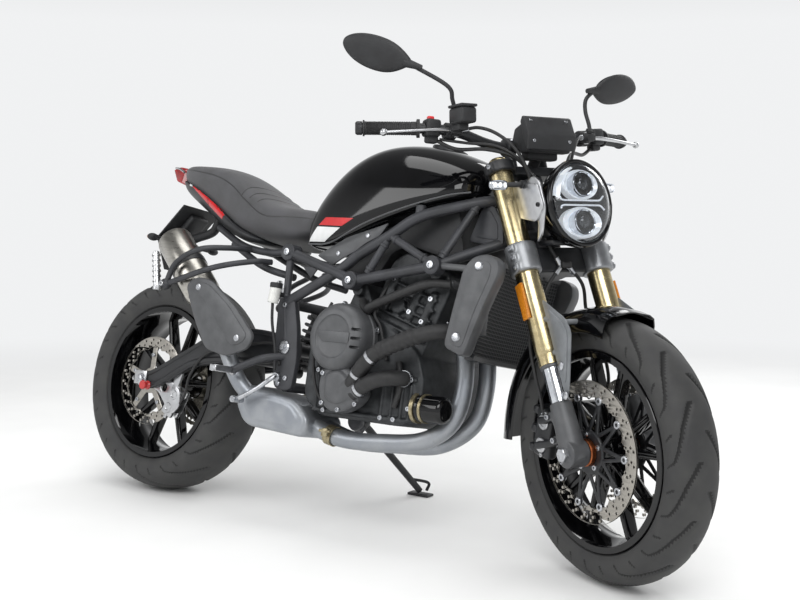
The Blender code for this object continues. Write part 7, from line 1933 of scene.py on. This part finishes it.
def make_rear_axle():
    """The axle with its nuts, the adjuster blocks at the arm ends and the red stand bobbins."""
    steel = [rod(REAR_AXLE - LEFT * 0.138, REAR_AXLE + LEFT * 0.138, 0.0105)]
    blocks = []
    bobbins = []
    for side, _ in SIDES:
        out = LEFT * side
        face = REAR_AXLE + out * 0.1383
        steel += [turned([(0, 0.0035), (0.016, 0.0035), (0.0178, 0.002), (0.0178, 0), (0, 0)], face, out, 40),
                  hex_nut(face + out * 0.0034, out, 0.0145, 0.008)]
        blocks.append(block((0.050, 0.005, 0.040), face + Vector((-0.004, 0, 0.006)) - out * 0.001, None,
                            0.0015))
        blocks += [hex_nut(Vector((-0.040, side * ARM_Y, 0.316)), -FORWARD, 0.007, 0.010),
                   rod(Vector((-0.049, side * ARM_Y, 0.316)), Vector((-0.030, side * ARM_Y, 0.316)), 0.004)]
        spool = [(0, 0.022), (0.012, 0.022), (0.0135, 0.020), (0.0135, 0.018), (0.0085, 0.014),
                 (0.0085, 0.007), (0.013, 0.003), (0.013, 0), (0, 0)]
        bobbins.append(turned(spool, Vector((0.031, side * 0.1375, 0.300)), out, 36))
    piece("rear_axle_steel", "chassis", zinc_steel, steel, ["rear_axle"])
    piece("chain_adjusters", "chassis", bright_alloy, blocks)
    piece("stand_bobbins", "chassis", red_anodise, bobbins)


def red_anodise():
    """Turned aluminium, dyed red as it is anodised and then sealed."""
    return plain_paint("red anodised aluminium", "#9c1a1c", "#b3211f", (0.25, 0.32))


def make_rear_caliper():
    """A sliding caliper on its alloy bracket below the arm, with its pipe along the arm."""
    centre = Vector((0.118, REAR_DISC_Y, 0.262))
    out = (centre - REAR_AXLE - LEFT * REAR_DISC_Y).normalized()
    along = out.cross(LEFT)
    turn = axes_turn(out, LEFT, along)
    shapes = [block((0.044, 0.014, 0.086), centre + LEFT * way * 0.0125, turn, 0.005, 3) for way in (-1, 1)]
    shapes += [block((0.016, 0.038, 0.050), centre + out * 0.0165, turn, 0.004),
               rod(centre + along * 0.052 - LEFT * 0.014, centre - along * 0.052 - LEFT * 0.014, 0.006),
               bar(Vector((0.116, -0.117, 0.275)), Vector((0.140, -0.117, 0.350)), 0.026, 0.009, 1)]
    shapes.append(side_plate(rounded([(0.020, 0.302), (0.060, 0.322), (0.110, 0.322), (0.152, 0.296),
                                      (0.158, 0.252), (0.132, 0.226), (0.102, 0.246), (0.064, 0.284)], 0.012),
                             -0.1185, 0.006, 0.0015, [ring_outline(0.012, 28, 0.084, 0.300)]))
    shapes += [turned([(0, 0.002), (0.006, 0.002), (0.008, 0.004), (0.014, 0.004), (0.0155, 0.002),
                       (0.0155, 0), (0, 0)], centre - LEFT * 0.0193 + along * step, -LEFT, 32)
               for step in (-0.020, 0.022)]
    piece("rear_caliper_alloy", "chassis", bright_alloy, shapes, ["rear_caliper"])
    pipe = lay([(0.150, -0.116, 0.255), (0.180, -0.126, 0.290), (0.200, -0.136, 0.345),
                (0.260, -0.142, 0.410), (0.380, -0.142, 0.440), (0.520, -0.150, 0.455),
                (0.560, -0.164, 0.400)])
    piece("rear_brake_pipe", "chassis", hose_rubber, [tube(through(pipe, 50), 0.0038, 12)])


# The side stand's pivot, foot and axis, and how far the bike leans on it
STAND_PIVOT = Vector((0.588, 0.187, 0.273))
STAND_FOOT = Vector((0.664, 0.405, 0.082))
STAND_AXIS = (STAND_FOOT - STAND_PIVOT).cross(Vector((-0.985, 0.14, 0.10))).normalized()
LEAN = math.radians(11.95)


def make_side_stand():
    """The prop: a forked eye on its bolt, a tapering leg, a flat sole and a short tang to kick it down."""
    leg = (STAND_FOOT - STAND_PIVOT).normalized()
    down = Vector((0, math.sin(LEAN), -math.cos(LEAN)))
    ankle = STAND_FOOT - down * 0.010 - leg * 0.004
    turn = Matrix.Rotation(LEAN, 4, "X")
    eye = turned([(0.0066, 0.012), (0.016, 0.012), (0.018, 0.010), (0.018, -0.010), (0.016, -0.012),
                  (0.0066, -0.012)], STAND_PIVOT, STAND_AXIS, 40)
    shapes = [eye, tube([STAND_PIVOT + leg * 0.012, STAND_PIVOT.lerp(ankle, 0.6), ankle],
                        [0.0108, 0.0102, 0.0095], 24), block((0.074, 0.033, 0.0075), STAND_FOOT
                                                             - down * 0.0028, turn, 0.003, 3),
              tube(through([ankle - leg * 0.050, ankle + Vector((0.018, 0.012, 0.026)), ankle
                            + Vector((0.022, 0.004, 0.004))], 14), 0.0045, 14)]
    piece("side_stand_leg", "side_stand", satin_black, shapes, ["side_stand"])


def make_frame():
    """Frame, foot controls, swingarm, rear brake and side stand."""
    make_trellis()
    make_foot_controls()
    make_swingarm()
    make_rear_axle()
    make_rear_caliper()
    make_side_stand()


# Tank, air box, seat, tail, plate hanger and rear suspension

# Bodies as cross sections: the place along the bike, then (half width, height) from the top to the bottom
TANK = [
    (0.562, [(0, 0.838), (0.060, 0.836), (0.105, 0.815), (0.135, 0.772), (0.142, 0.735), (0.120, 0.722),
             (0, 0.722)]),
    (0.600, [(0, 0.925), (0.070, 0.912), (0.125, 0.868), (0.155, 0.795), (0.158, 0.725), (0.135, 0.716),
             (0, 0.716)]),
    (0.680, [(0, 0.998), (0.080, 0.984), (0.140, 0.930), (0.168, 0.835), (0.165, 0.730), (0.140, 0.722),
             (0, 0.722)]),
    (0.790, [(0, 1.026), (0.085, 1.012), (0.150, 0.965), (0.176, 0.875), (0.176, 0.778), (0.150, 0.768),
             (0, 0.768)]),
    (0.920, [(0, 1.014), (0.085, 0.998), (0.150, 0.955), (0.180, 0.880), (0.180, 0.820), (0.150, 0.806),
             (0, 0.806)]),
    (1.030, [(0, 0.978), (0.080, 0.966), (0.140, 0.930), (0.168, 0.885), (0.170, 0.850), (0.140, 0.836),
             (0, 0.836)]),
    (1.085, [(0, 0.945), (0.065, 0.936), (0.115, 0.912), (0.145, 0.890), (0.148, 0.862), (0.120, 0.852),
             (0, 0.852)])
]
SEAT = [(0.580, [(0, 0.832), (0.070, 0.828), (0.100, 0.805), (0.118, 0.764), (0.100, 0.745), (0, 0.745)]),
        (0.480, [(0, 0.846), (0.085, 0.840), (0.125, 0.815), (0.142, 0.762), (0.120, 0.738), (0, 0.738)]),
        (0.400, [(0, 0.850), (0.100, 0.845), (0.140, 0.820), (0.150, 0.770), (0.122, 0.735), (0, 0.735)]),
        (0.310, [(0, 0.898), (0.090, 0.890), (0.125, 0.862), (0.138, 0.795), (0.112, 0.755), (0, 0.755)]),
        (0.230, [(0, 0.952), (0.080, 0.940), (0.108, 0.908), (0.120, 0.835), (0.094, 0.790), (0, 0.790)]),
        (0.150, [(0, 0.974), (0.070, 0.966), (0.095, 0.938), (0.104, 0.880), (0.080, 0.832), (0, 0.832)]),
        (0.050, [(0, 0.982), (0.058, 0.976), (0.078, 0.958), (0.084, 0.925), (0.062, 0.880), (0, 0.880)]),
        (-0.070, [(0, 0.990), (0.035, 0.986), (0.045, 0.976), (0.048, 0.960), (0.030, 0.925), (0, 0.925)])]
TAIL = [(0.400, [(0, 0.748), (0.070, 0.748), (0.120, 0.746), (0.138, 0.740), (0.130, 0.722), (0, 0.722)]),
        (0.300, [(0, 0.772), (0.080, 0.772), (0.115, 0.772), (0.130, 0.765), (0.122, 0.735), (0, 0.735)]),
        (0.220, [(0, 0.808), (0.070, 0.808), (0.098, 0.812), (0.122, 0.820), (0.110, 0.765), (0, 0.762)]),
        (0.140, [(0, 0.850), (0.060, 0.850), (0.082, 0.856), (0.106, 0.870), (0.092, 0.808), (0, 0.795)]),
        (0.040, [(0, 0.896), (0.050, 0.896), (0.066, 0.902), (0.086, 0.915), (0.066, 0.862), (0, 0.845)]),
        (-0.070, [(0, 0.950), (0.028, 0.949), (0.038, 0.947), (0.046, 0.942), (0.036, 0.918), (0, 0.908)])]


def skinned(stations, levels=3):
    """A body drawn over cross sections, each (forward, right half from top to bottom)."""
    rings = []
    for x, half in stations:
        rings.append([Vector((x, -y, z)) for y, z in half] + [Vector((x, y, z)) for y, z in half[-2:0:-1]])
    return softened([loft(rings)], levels)


# How far along its line a film looks for the body when the line misses it
REACH = 0.40


def touch(tree, start, way):
    """Where a line from start meets the surface, or else its nearest place, and how it faces there."""
    place, normal, _, _ = tree.ray_cast(start, way)
    if place is None:
        place, normal, _, _ = tree.find_nearest(start + way * REACH)
    return place, (-normal if normal.dot(way) > 0 else normal)


def film(tree, corners, side, lift=0.0005, steps=(28, 10)):
    """A film laid on a body's side: four corners in the side view, carried straight across onto it."""
    a, b, c, d = [Vector((x, 0, z)) for x, z in corners]
    rings = []
    for i in range(steps[0] + 1):
        top = a.lerp(b, i / steps[0])
        low = d.lerp(c, i / steps[0])
        over = []
        for j in range(steps[1] + 1):
            spot = top.lerp(low, j / steps[1]) + LEFT * side * 0.5
            over.append(touch(tree, spot, -LEFT * side))
        rings.append([p + n * lift for p, n in over] + [p - n * lift for p, n in over[::-1]])
    return loft(rings)


def seam_on(tree, starts, way, r, sunk=0.4, count=60):
    """A piped seam that follows a body's surface."""
    route = []
    for spot in through(starts, count):
        place, normal = touch(tree, spot, way)
        if place:
            route.append(place - normal * r * sunk)
    return tube(route, r, 12)


def stripe_red():
    """Red vinyl decal under the tank's clear lacquer."""
    return plain_paint("red lacquered decal", "#b01318", "#c4161b", (0.14, 0.2))


def stripe_white():
    """White vinyl decal under the tank's clear lacquer."""
    return plain_paint("white lacquered decal", "#cfd0d0", "#dedede", (0.14, 0.2))


def make_tank():
    """The gloss-black tank with its stripes, the bead along its lower edge and the flush filler cap."""
    shell = skinned(TANK)
    tree = BVHTree.FromBMesh(shell)
    bead = [half[4] for _, half in TANK]
    red = [(0.649, 0.797), (0.750, 0.793), (0.711, 0.773), (0.626, 0.777)]
    white = [(0.621, 0.773), (0.706, 0.769), (0.650, 0.733), (0.590, 0.734)]
    reds = [film(tree, red, side) for side, _ in SIDES]
    whites = [film(tree, white, side) for side, _ in SIDES]
    crown, up = touch(tree, Vector((0.905, 0, 1.2)), -UP)
    piece("tank_shell", "chassis", enamel_black, [shell], ["fuel_tank"], 60)
    piece("tank_stripe_red", "chassis", stripe_red, reds)
    piece("tank_stripe_white", "chassis", stripe_white, whites)
    lips = [tube(through([Vector((x, side * (y + 0.0005), z)) for (x, _), (y, z) in zip(TANK, bead)][1:], 60),
                 0.0022, 12) for side, _ in SIDES]
    piece("tank_edge_beads", "chassis", cover_grey, lips)
    cap = [turned([(0, 0.004), (0.030, 0.004), (0.0315, 0.003), (0.0315, 0.0015), (0.034, 0.0015),
                   (0.034, 0.005), (0.046, 0.004), (0.048, 0.001), (0.048, -0.010), (0, -0.010)], crown, up,
                  72), block((0.026, 0.012, 0.004), crown + up * 0.005, None, 0.0015)]
    turn = facing(up)
    screws = [cap_screw(crown + up * 0.003 + (turn @ Vector((0.040 * math.cos(a), 0.040 * math.sin(a), 0))),
                        up, 0.0035, 0.003) for a in (math.pi / 3 * k for k in range(6))]
    piece("filler_cap", "chassis", satin_black, cap)
    piece("filler_cap_screws", "chassis", zinc_steel, screws)


# The air box and the panel beside the seat, in the side view
AIRBOX = [(0.705, 0.664), (0.800, 0.776), (0.900, 0.806), (1.035, 0.838), (1.070, 0.700), (1.055, 0.692),
          (0.900, 0.735), (0.850, 0.715), (0.780, 0.604)]
INFILL = [(0.628, 0.697), (0.726, 0.749), (0.800, 0.770), (0.852, 0.786), (0.827, 0.752), (0.782, 0.731),
          (0.757, 0.712), (0.711, 0.690), (0.683, 0.672)]


def make_airbox():
    """The moulded air box under the tank and the matt panels that close the gap beside the seat."""
    piece("air_box_moulding", "chassis", moulded_black, [side_plate(rounded(AIRBOX, 0.012), 0, 0.238, 0.006)],
          ["airbox"])
    panels = [side_plate(rounded(INFILL, 0.008), side * 0.148, 0.006, 0.0015) for side, _ in SIDES]
    panels += [rod(Vector((x, -0.147, z)), Vector((x, 0.147, z)), 0.009)
               for x, z in ((0.752, 0.714), (0.812, 0.752))]
    piece("infill_panels", "chassis", cover_grey, panels, ["airbox"])
    screws = [cap_screw(Vector((x, side * 0.1508, z)), LEFT * side, 0.0062, 0.003)
              for side, _ in SIDES for x, z in ((0.700, 0.704), (0.790, 0.752))]
    piece("infill_screws", "chassis", zinc_steel, screws)


def make_seat():
    """A stepped seat in grained vinyl: piped edges, a cross seam at the step and stitched ribs behind it."""
    cushion = skinned(SEAT)
    tree = BVHTree.FromBMesh(cushion)
    made = piece("seat_cushion", "chassis", seat_vinyl, [cushion], ["seat"], 60)
    pipes = []
    for side, _ in SIDES:
        edge = [Vector((x, side * 0.4, z)) for x, z in ((0.545, 0.806), (0.480, 0.806), (0.400, 0.808),
                                                        (0.310, 0.852), (0.230, 0.900), (0.150, 0.932),
                                                        (0.050, 0.953), (-0.030, 0.966))]
        pipes.append(seam_on(tree, edge, -LEFT * side, 0.0022))
    for x in (0.352, 0.318, 0.284):
        pipes.append(seam_on(tree, [Vector((x, -0.118, 1.2)), Vector((x + 0.012, 0, 1.2)),
                                    Vector((x, 0.118, 1.2))], -UP, 0.0020))
    piece("seat_piping", "chassis", seat_piping, pipes)


def seat_piping():
    """Black vinyl piping, sewn into the seams of the seat's cover."""
    return plain_paint("black vinyl piping", "#1b1b1c", "#242425", (0.5, 0.6))


def make_tail():
    """The tail moulding with its stripes, the lamp under the seat's end and the bright trim round it."""
    shell = skinned(TAIL)
    tree = BVHTree.FromBMesh(shell)
    piece("tail_moulding", "chassis", satin_black, [shell], ["tail_cover"], 60)
    bands = []
    marks = []
    for side, _ in SIDES:
        bands.append(film(tree, [(0.020, 0.920), (0.120, 0.880), (0.130, 0.848), (0.030, 0.906)], side,
                          0.0006))
        bands.append(film(tree, [(0.124, 0.878), (0.222, 0.812), (0.214, 0.800), (0.134, 0.845)], side,
                          0.0006))
        marks.append(film(tree, [(0.000, 0.926), (0.016, 0.920), (0.026, 0.907), (0.008, 0.912)], side,
                          0.0006))
    piece("tail_stripe_red", "chassis", stripe_red, bands)
    piece("tail_stripe_white", "chassis", stripe_white, marks)
    lamp = [(-0.056, 0.922), (-0.054, 0.976), (-0.093, 0.983), (-0.122, 0.974), (-0.100, 0.936)]
    piece("tail_lamp_lens", "chassis", red_lens, [side_plate(rounded(lamp, 0.006), 0, 0.056, 0.005)],
          ["tail_lamp"])
    trim = []
    for side, _ in SIDES:
        trim.append(tube(through(lay([(-0.050, side * 0.046, 0.960), (-0.086, side * 0.034, 0.974),
                                      (-0.118, side * 0.022, 0.980)]), 12), 0.0035, 12))
    trim.append(tube(lay([(-0.118, -0.022, 0.980), (-0.118, 0.022, 0.980)]), 0.0035, 12))
    piece("tail_trim", "chassis", bright_alloy, trim)


# The plate hanger's arm, the tilt of its plate and the middle of its carrier
PLATE_ARM = lay([(0.095, 0, 0.850), (0.080, 0, 0.806), (0.060, 0, 0.780), (-0.010, 0, 0.760),
                 (-0.075, 0, 0.730)])
PLATE_TILT = math.radians(-28)
CARRIER_AT = Vector((-0.050, 0, 0.798))


def make_plate_hanger():
    """The moulded hanger with its bare plate holder, lamp and two rear indicators on short stems."""
    tilt = Matrix.Rotation(PLATE_TILT, 4, "Y")
    foot = PLATE_ARM[-1]
    at = foot + (tilt @ Vector((0, 0, -0.030)))
    carrier = Matrix.Rotation(math.radians(-45), 4, "Y")
    black = [tube(through(PLATE_ARM, 30), 0.0135, 20), block((0.0036, 0.169, 0.119), at, tilt, 0.0012),
             block((0.150, 0.150, 0.006), CARRIER_AT, carrier, 0.0025, 3),
             block((0.110, 0.070, 0.022), CARRIER_AT + Vector((0.012, 0, -0.012)), carrier, 0.008, 3),
             block((0.030, 0.060, 0.020), foot + Vector((0.010, 0, 0.004)), tilt, 0.005, 3)]
    glow = []
    for side, _ in SIDES:
        lamp = foot + Vector((0.016, side * 0.125, 0.012))
        black += [rod(foot + Vector((0.016, 0, 0.012)), lamp, 0.0065),
                  ball(lamp + FORWARD * 0.002, (0.014, 0.019, 0.0115))]
        glow.append(ball(lamp - FORWARD * 0.004, (0.0105, 0.0165, 0.009)))
    piece("plate_hanger", "chassis", moulded_black, black, ["plate_bracket"])
    piece("rear_indicator_lenses", "chassis", amber_lens, glow)


# The seat rails and the loops of the rear pegs, on the left
RAILS = [[(0.535, 0.118, 0.715), (0.430, 0.112, 0.706), (0.300, 0.095, 0.727), (0.160, 0.065, 0.784)],
         [(0.523, 0.112, 0.640), (0.400, 0.110, 0.668), (0.250, 0.085, 0.733)]]
PEG_LOOPS = [[(0.432, 0.112, 0.680), (0.410, 0.165, 0.672), (0.330, 0.234, 0.640), (0.161, 0.240, 0.588)],
             [(0.345, 0.105, 0.714), (0.320, 0.175, 0.706), (0.270, 0.234, 0.690), (0.190, 0.238, 0.650),
              (0.161, 0.240, 0.588)]]


def make_rear_frame():
    """Seat rails, the open loops that carry the rear pegs, and the bright pegs folded up against them."""
    shapes = []
    pegs = []
    for side, _ in SIDES:
        shapes += [tube(through(to_side(rail, side), 30), BRACE_R, 20) for rail in RAILS]
        shapes += [tube(through(to_side(loop, side), 44), 0.008, 18) for loop in PEG_LOOPS]
        low, high, knee = to_side([(0.149, 0.258, 0.572), (0.123, 0.258, 0.676), (0.161, 0.240, 0.588)], side)
        shapes.append(ball(knee, (0.017, 0.016, 0.016)))
        pegs += [rod(low, high, 0.0098, sides=28, chamfer=0.002),
                 rod(low - UP * 0.004, low + UP * 0.010, 0.012)]
        pegs += [turned([(0.009, 0.003), (0.0122, 0.0022), (0.0122, -0.0022), (0.009, -0.003)],
                        low.lerp(high, s), high - low, 28) for s in (0.2, 0.34, 0.48, 0.62, 0.76, 0.9)]
        pegs.append(cap_screw(knee + LEFT * side * 0.014, LEFT * side, 0.008))
    for rail in RAILS:
        shapes.append(rod(*to_side([rail[-1]], 1), to_side([rail[-1]], -1)[0], BRACE_R))
    piece("seat_rails", "chassis", powder_grey, shapes, ["rear_frame"])
    piece("rear_pegs", "chassis", bright_alloy, pegs, ["rear_frame"])


def make_shock():
    """A single damper with its coil spring, seat collars and end eyes."""
    low = Vector((0.472, 0, 0.388))
    high = Vector((0.536, 0, 0.564))
    along = (high - low).normalized()
    turn = facing(along)
    long = (high - low).length
    coil = []
    turns = 6.5
    for k in range(int(turns * 28) + 1):
        angle = 2 * math.pi * k / 28
        rise = long * (0.20 + 0.66 * k / (turns * 28))
        coil.append(low + (turn @ Vector((0.0245 * math.cos(angle), 0.0245 * math.sin(angle), rise))))
    body = [turned([(0, long * 0.96), (0.013, long * 0.96), (0.013, long * 0.88), (0.029, long * 0.88),
                    (0.029, long * 0.85), (0.015, long * 0.84), (0.015, long * 0.5), (0.007, long * 0.5),
                    (0.007, long * 0.2), (0.029, long * 0.19), (0.029, long * 0.15), (0.012, long * 0.14),
                    (0.012, 0.014), (0, 0.014)], low, along, 48)]
    body += [rod(end - LEFT * 0.018, end + LEFT * 0.018, 0.015)
             for end in (low, low + along * (long - 0.018))]
    piece("damper_body", "chassis", satin_black, body, ["shock_absorber"])
    piece("damper_spring", "chassis", cover_grey, [tube(coil, 0.0045, 14)], ["shock_absorber"])


def make_rear_end():
    """Tank, air box, seat, tail, plate hanger, seat rails and rear suspension."""
    make_tank()
    make_airbox()
    make_seat()
    make_tail()
    make_plate_hanger()
    make_rear_frame()
    make_shock()


# Camera, floor and light

# The camera that the outlines of both rims gave
CAMERA_OFFSET = Vector((2.5741, -2.2290, 0.8254))
CAMERA_YAW = math.radians(126.96)
CAMERA_PITCH = math.radians(-4.418)
CAMERA_ROLL = math.radians(0.212)
CAMERA_LENS_MM = 50.57
SENSOR_WIDTH_MM = 36


def make_camera():
    """The photograph's viewpoint, measured from the floor point under the upright bike's rear axle."""
    data = bpy.data.cameras.new("camera")
    data.sensor_width = SENSOR_WIDTH_MM
    data.lens = CAMERA_LENS_MM
    data.clip_start = 0.05
    camera = bpy.data.objects.new("camera", data)
    bpy.context.scene.collection.objects.link(camera)
    look = Vector((math.cos(CAMERA_YAW) * math.cos(CAMERA_PITCH),
                   math.sin(CAMERA_YAW) * math.cos(CAMERA_PITCH), math.sin(CAMERA_PITCH)))
    right = look.cross(UP).normalized()
    up = right.cross(look)
    across = right * math.cos(CAMERA_ROLL) + up * math.sin(CAMERA_ROLL)
    above = up * math.cos(CAMERA_ROLL) - right * math.sin(CAMERA_ROLL)
    turn = Matrix((across, above, -look)).transposed().to_4x4()
    camera.matrix_world = Matrix.Translation(BIKE.translation + CAMERA_OFFSET) @ turn
    bpy.context.scene.camera = camera


# How strong the light of the walls is: as it falls on the bike, as seen or mirrored, and the ceiling's
WORLD_LEVEL = 0.80
SEEN_LEVEL = 0.95
CEILING_LEVEL = 0.22

# How steeply a line of sight rises, as a sine, where the walls begin to darken and where the ceiling starts
WALL_TOP = 0.16
CEILING_FROM = 0.55

FLOOR_HALF = 40

# The floor meets the tyres' treads, which stop a little above the lowest corner of the stand's solid foot
FLOOR_Z = 0.0059

# How far from the bike, in metres, the paper begins and ends its turn to the tone of the walls
FADE_FROM = 2.2
FADE_TO = 5.0


def make_floor():
    """A plain pale floor that keeps the bike's shadow."""
    bm = bmesh.new()
    bmesh.ops.create_grid(bm, x_segments=1, y_segments=1, size=FLOOR_HALF)
    mesh = bpy.data.meshes.new("floor")
    bm.to_mesh(mesh)
    bm.free()
    floor = bpy.data.objects.new("floor", mesh)
    floor.location.z = FLOOR_Z
    bpy.context.scene.collection.objects.link(floor)
    mesh.materials.append(floor_paper())


def floor_paper():
    """Pale studio paper that keeps the shadow, and far from the bike turns to the tone of the walls."""
    material, tree, shader, place = blank("studio paper", Roughness=0.7)
    patches = add_node(tree, "TexNoise", Vector=place, Scale=per_mm(400), Detail=4.0).outputs["Fac"]
    share = add_node(tree, "MapRange", Value=patches, From_Min=0.35, From_Max=0.65).outputs["Result"]
    tone = add_node(tree, "Mix", {"data_type": "RGBA"}, i0=share, i6=linear("#ececeb"), i7=linear("#e8e8e7"))
    tree.links.new(tone.outputs[2], shader.inputs["Base Color"])
    reach = add_node(tree, "VectorMath", {"operation": "LENGTH"}, i0=place).outputs["Value"]
    far = add_node(tree, "MapRange", {"interpolation_type": "SMOOTHSTEP"}, Value=reach, From_Min=FADE_FROM,
                   From_Max=FADE_TO)
    rays = add_node(tree, "LightPath").outputs
    seen = add_node(tree, "Math", {"operation": "MAXIMUM"}, i0=rays["Is Camera Ray"],
                    i1=rays["Is Glossy Ray"])
    share = add_node(tree, "Math", {"operation": "MULTIPLY"}, i0=far.outputs["Result"], i1=seen.outputs[0])
    pale = add_node(tree, "Emission", Color=linear("#f6f7f8"), Strength=SEEN_LEVEL)
    both = add_node(tree, "MixShader", Fac=share.outputs[0], i1=shader.outputs["BSDF"], i2=pale.outputs[0])
    tree.links.new(both.outputs[0], tree.nodes["Material Output"].inputs["Surface"])
    return material


def make_world():
    """Pale walls that the camera and reflections see near white, under a ceiling that is darker overhead."""
    world = bpy.data.worlds.new("studio")
    bpy.context.scene.world = world
    world.use_nodes = True
    tree = world.node_tree
    shade = tree.nodes["Background"]
    rays = add_node(tree, "LightPath").outputs
    seen = add_node(tree, "Math", {"operation": "MAXIMUM"}, i0=rays["Is Camera Ray"],
                    i1=rays["Is Glossy Ray"])
    seen = add_node(tree, "Math", {"operation": "MAXIMUM"}, i0=seen.outputs[0],
                    i1=rays["Is Transmission Ray"])
    way = add_node(tree, "SeparateXYZ", Vector=add_node(tree, "TexCoord").outputs["Generated"])
    wall = add_node(tree, "MapRange", Value=way.outputs["Z"], From_Min=WALL_TOP, From_Max=CEILING_FROM,
                    To_Min=SEEN_LEVEL, To_Max=CEILING_LEVEL)
    level = add_node(tree, "Mix", i0=seen.outputs[0], i2=WORLD_LEVEL, i3=wall.outputs["Result"])
    tree.links.new(level.outputs[0], shade.inputs["Strength"])
    shade.inputs["Color"].default_value = linear("#f6f7f8")


# Soft lamps: where each hangs from the bike's middle, its size, and its power in watts
LAMPS = {
    "key lamp": ((2.2, -2.6, 3.0), (2.6, 1.6), 75),
    "side lamp": ((-1.6, -3.0, 2.2), (2.2, 1.4), 35),
    "far lamp": ((0.5, 3.2, 2.6), (2.6, 1.4), 45),
    "top lamp": ((0.0, 0.0, 3.6), (3.2, 1.6), 40),
}


def make_lamps():
    """The studio lamps, all aimed at the middle of the bike."""
    for name, (place, size, power) in LAMPS.items():
        data = bpy.data.lights.new(name, "AREA")
        data.shape = "RECTANGLE"
        data.size, data.size_y = size
        data.energy = power
        lamp = bpy.data.objects.new(name, data)
        bpy.context.scene.collection.objects.link(lamp)
        lamp.matrix_world = Matrix.Translation(place) @ facing(Vector(place) - UP * 0.5)


finish_model()
make_wheels()
make_front_end()
make_engine()
make_frame()
make_rear_end()
make_camera()
make_floor()
make_world()
make_lamps()
bpy.context.scene.view_settings.view_transform = "Standard"
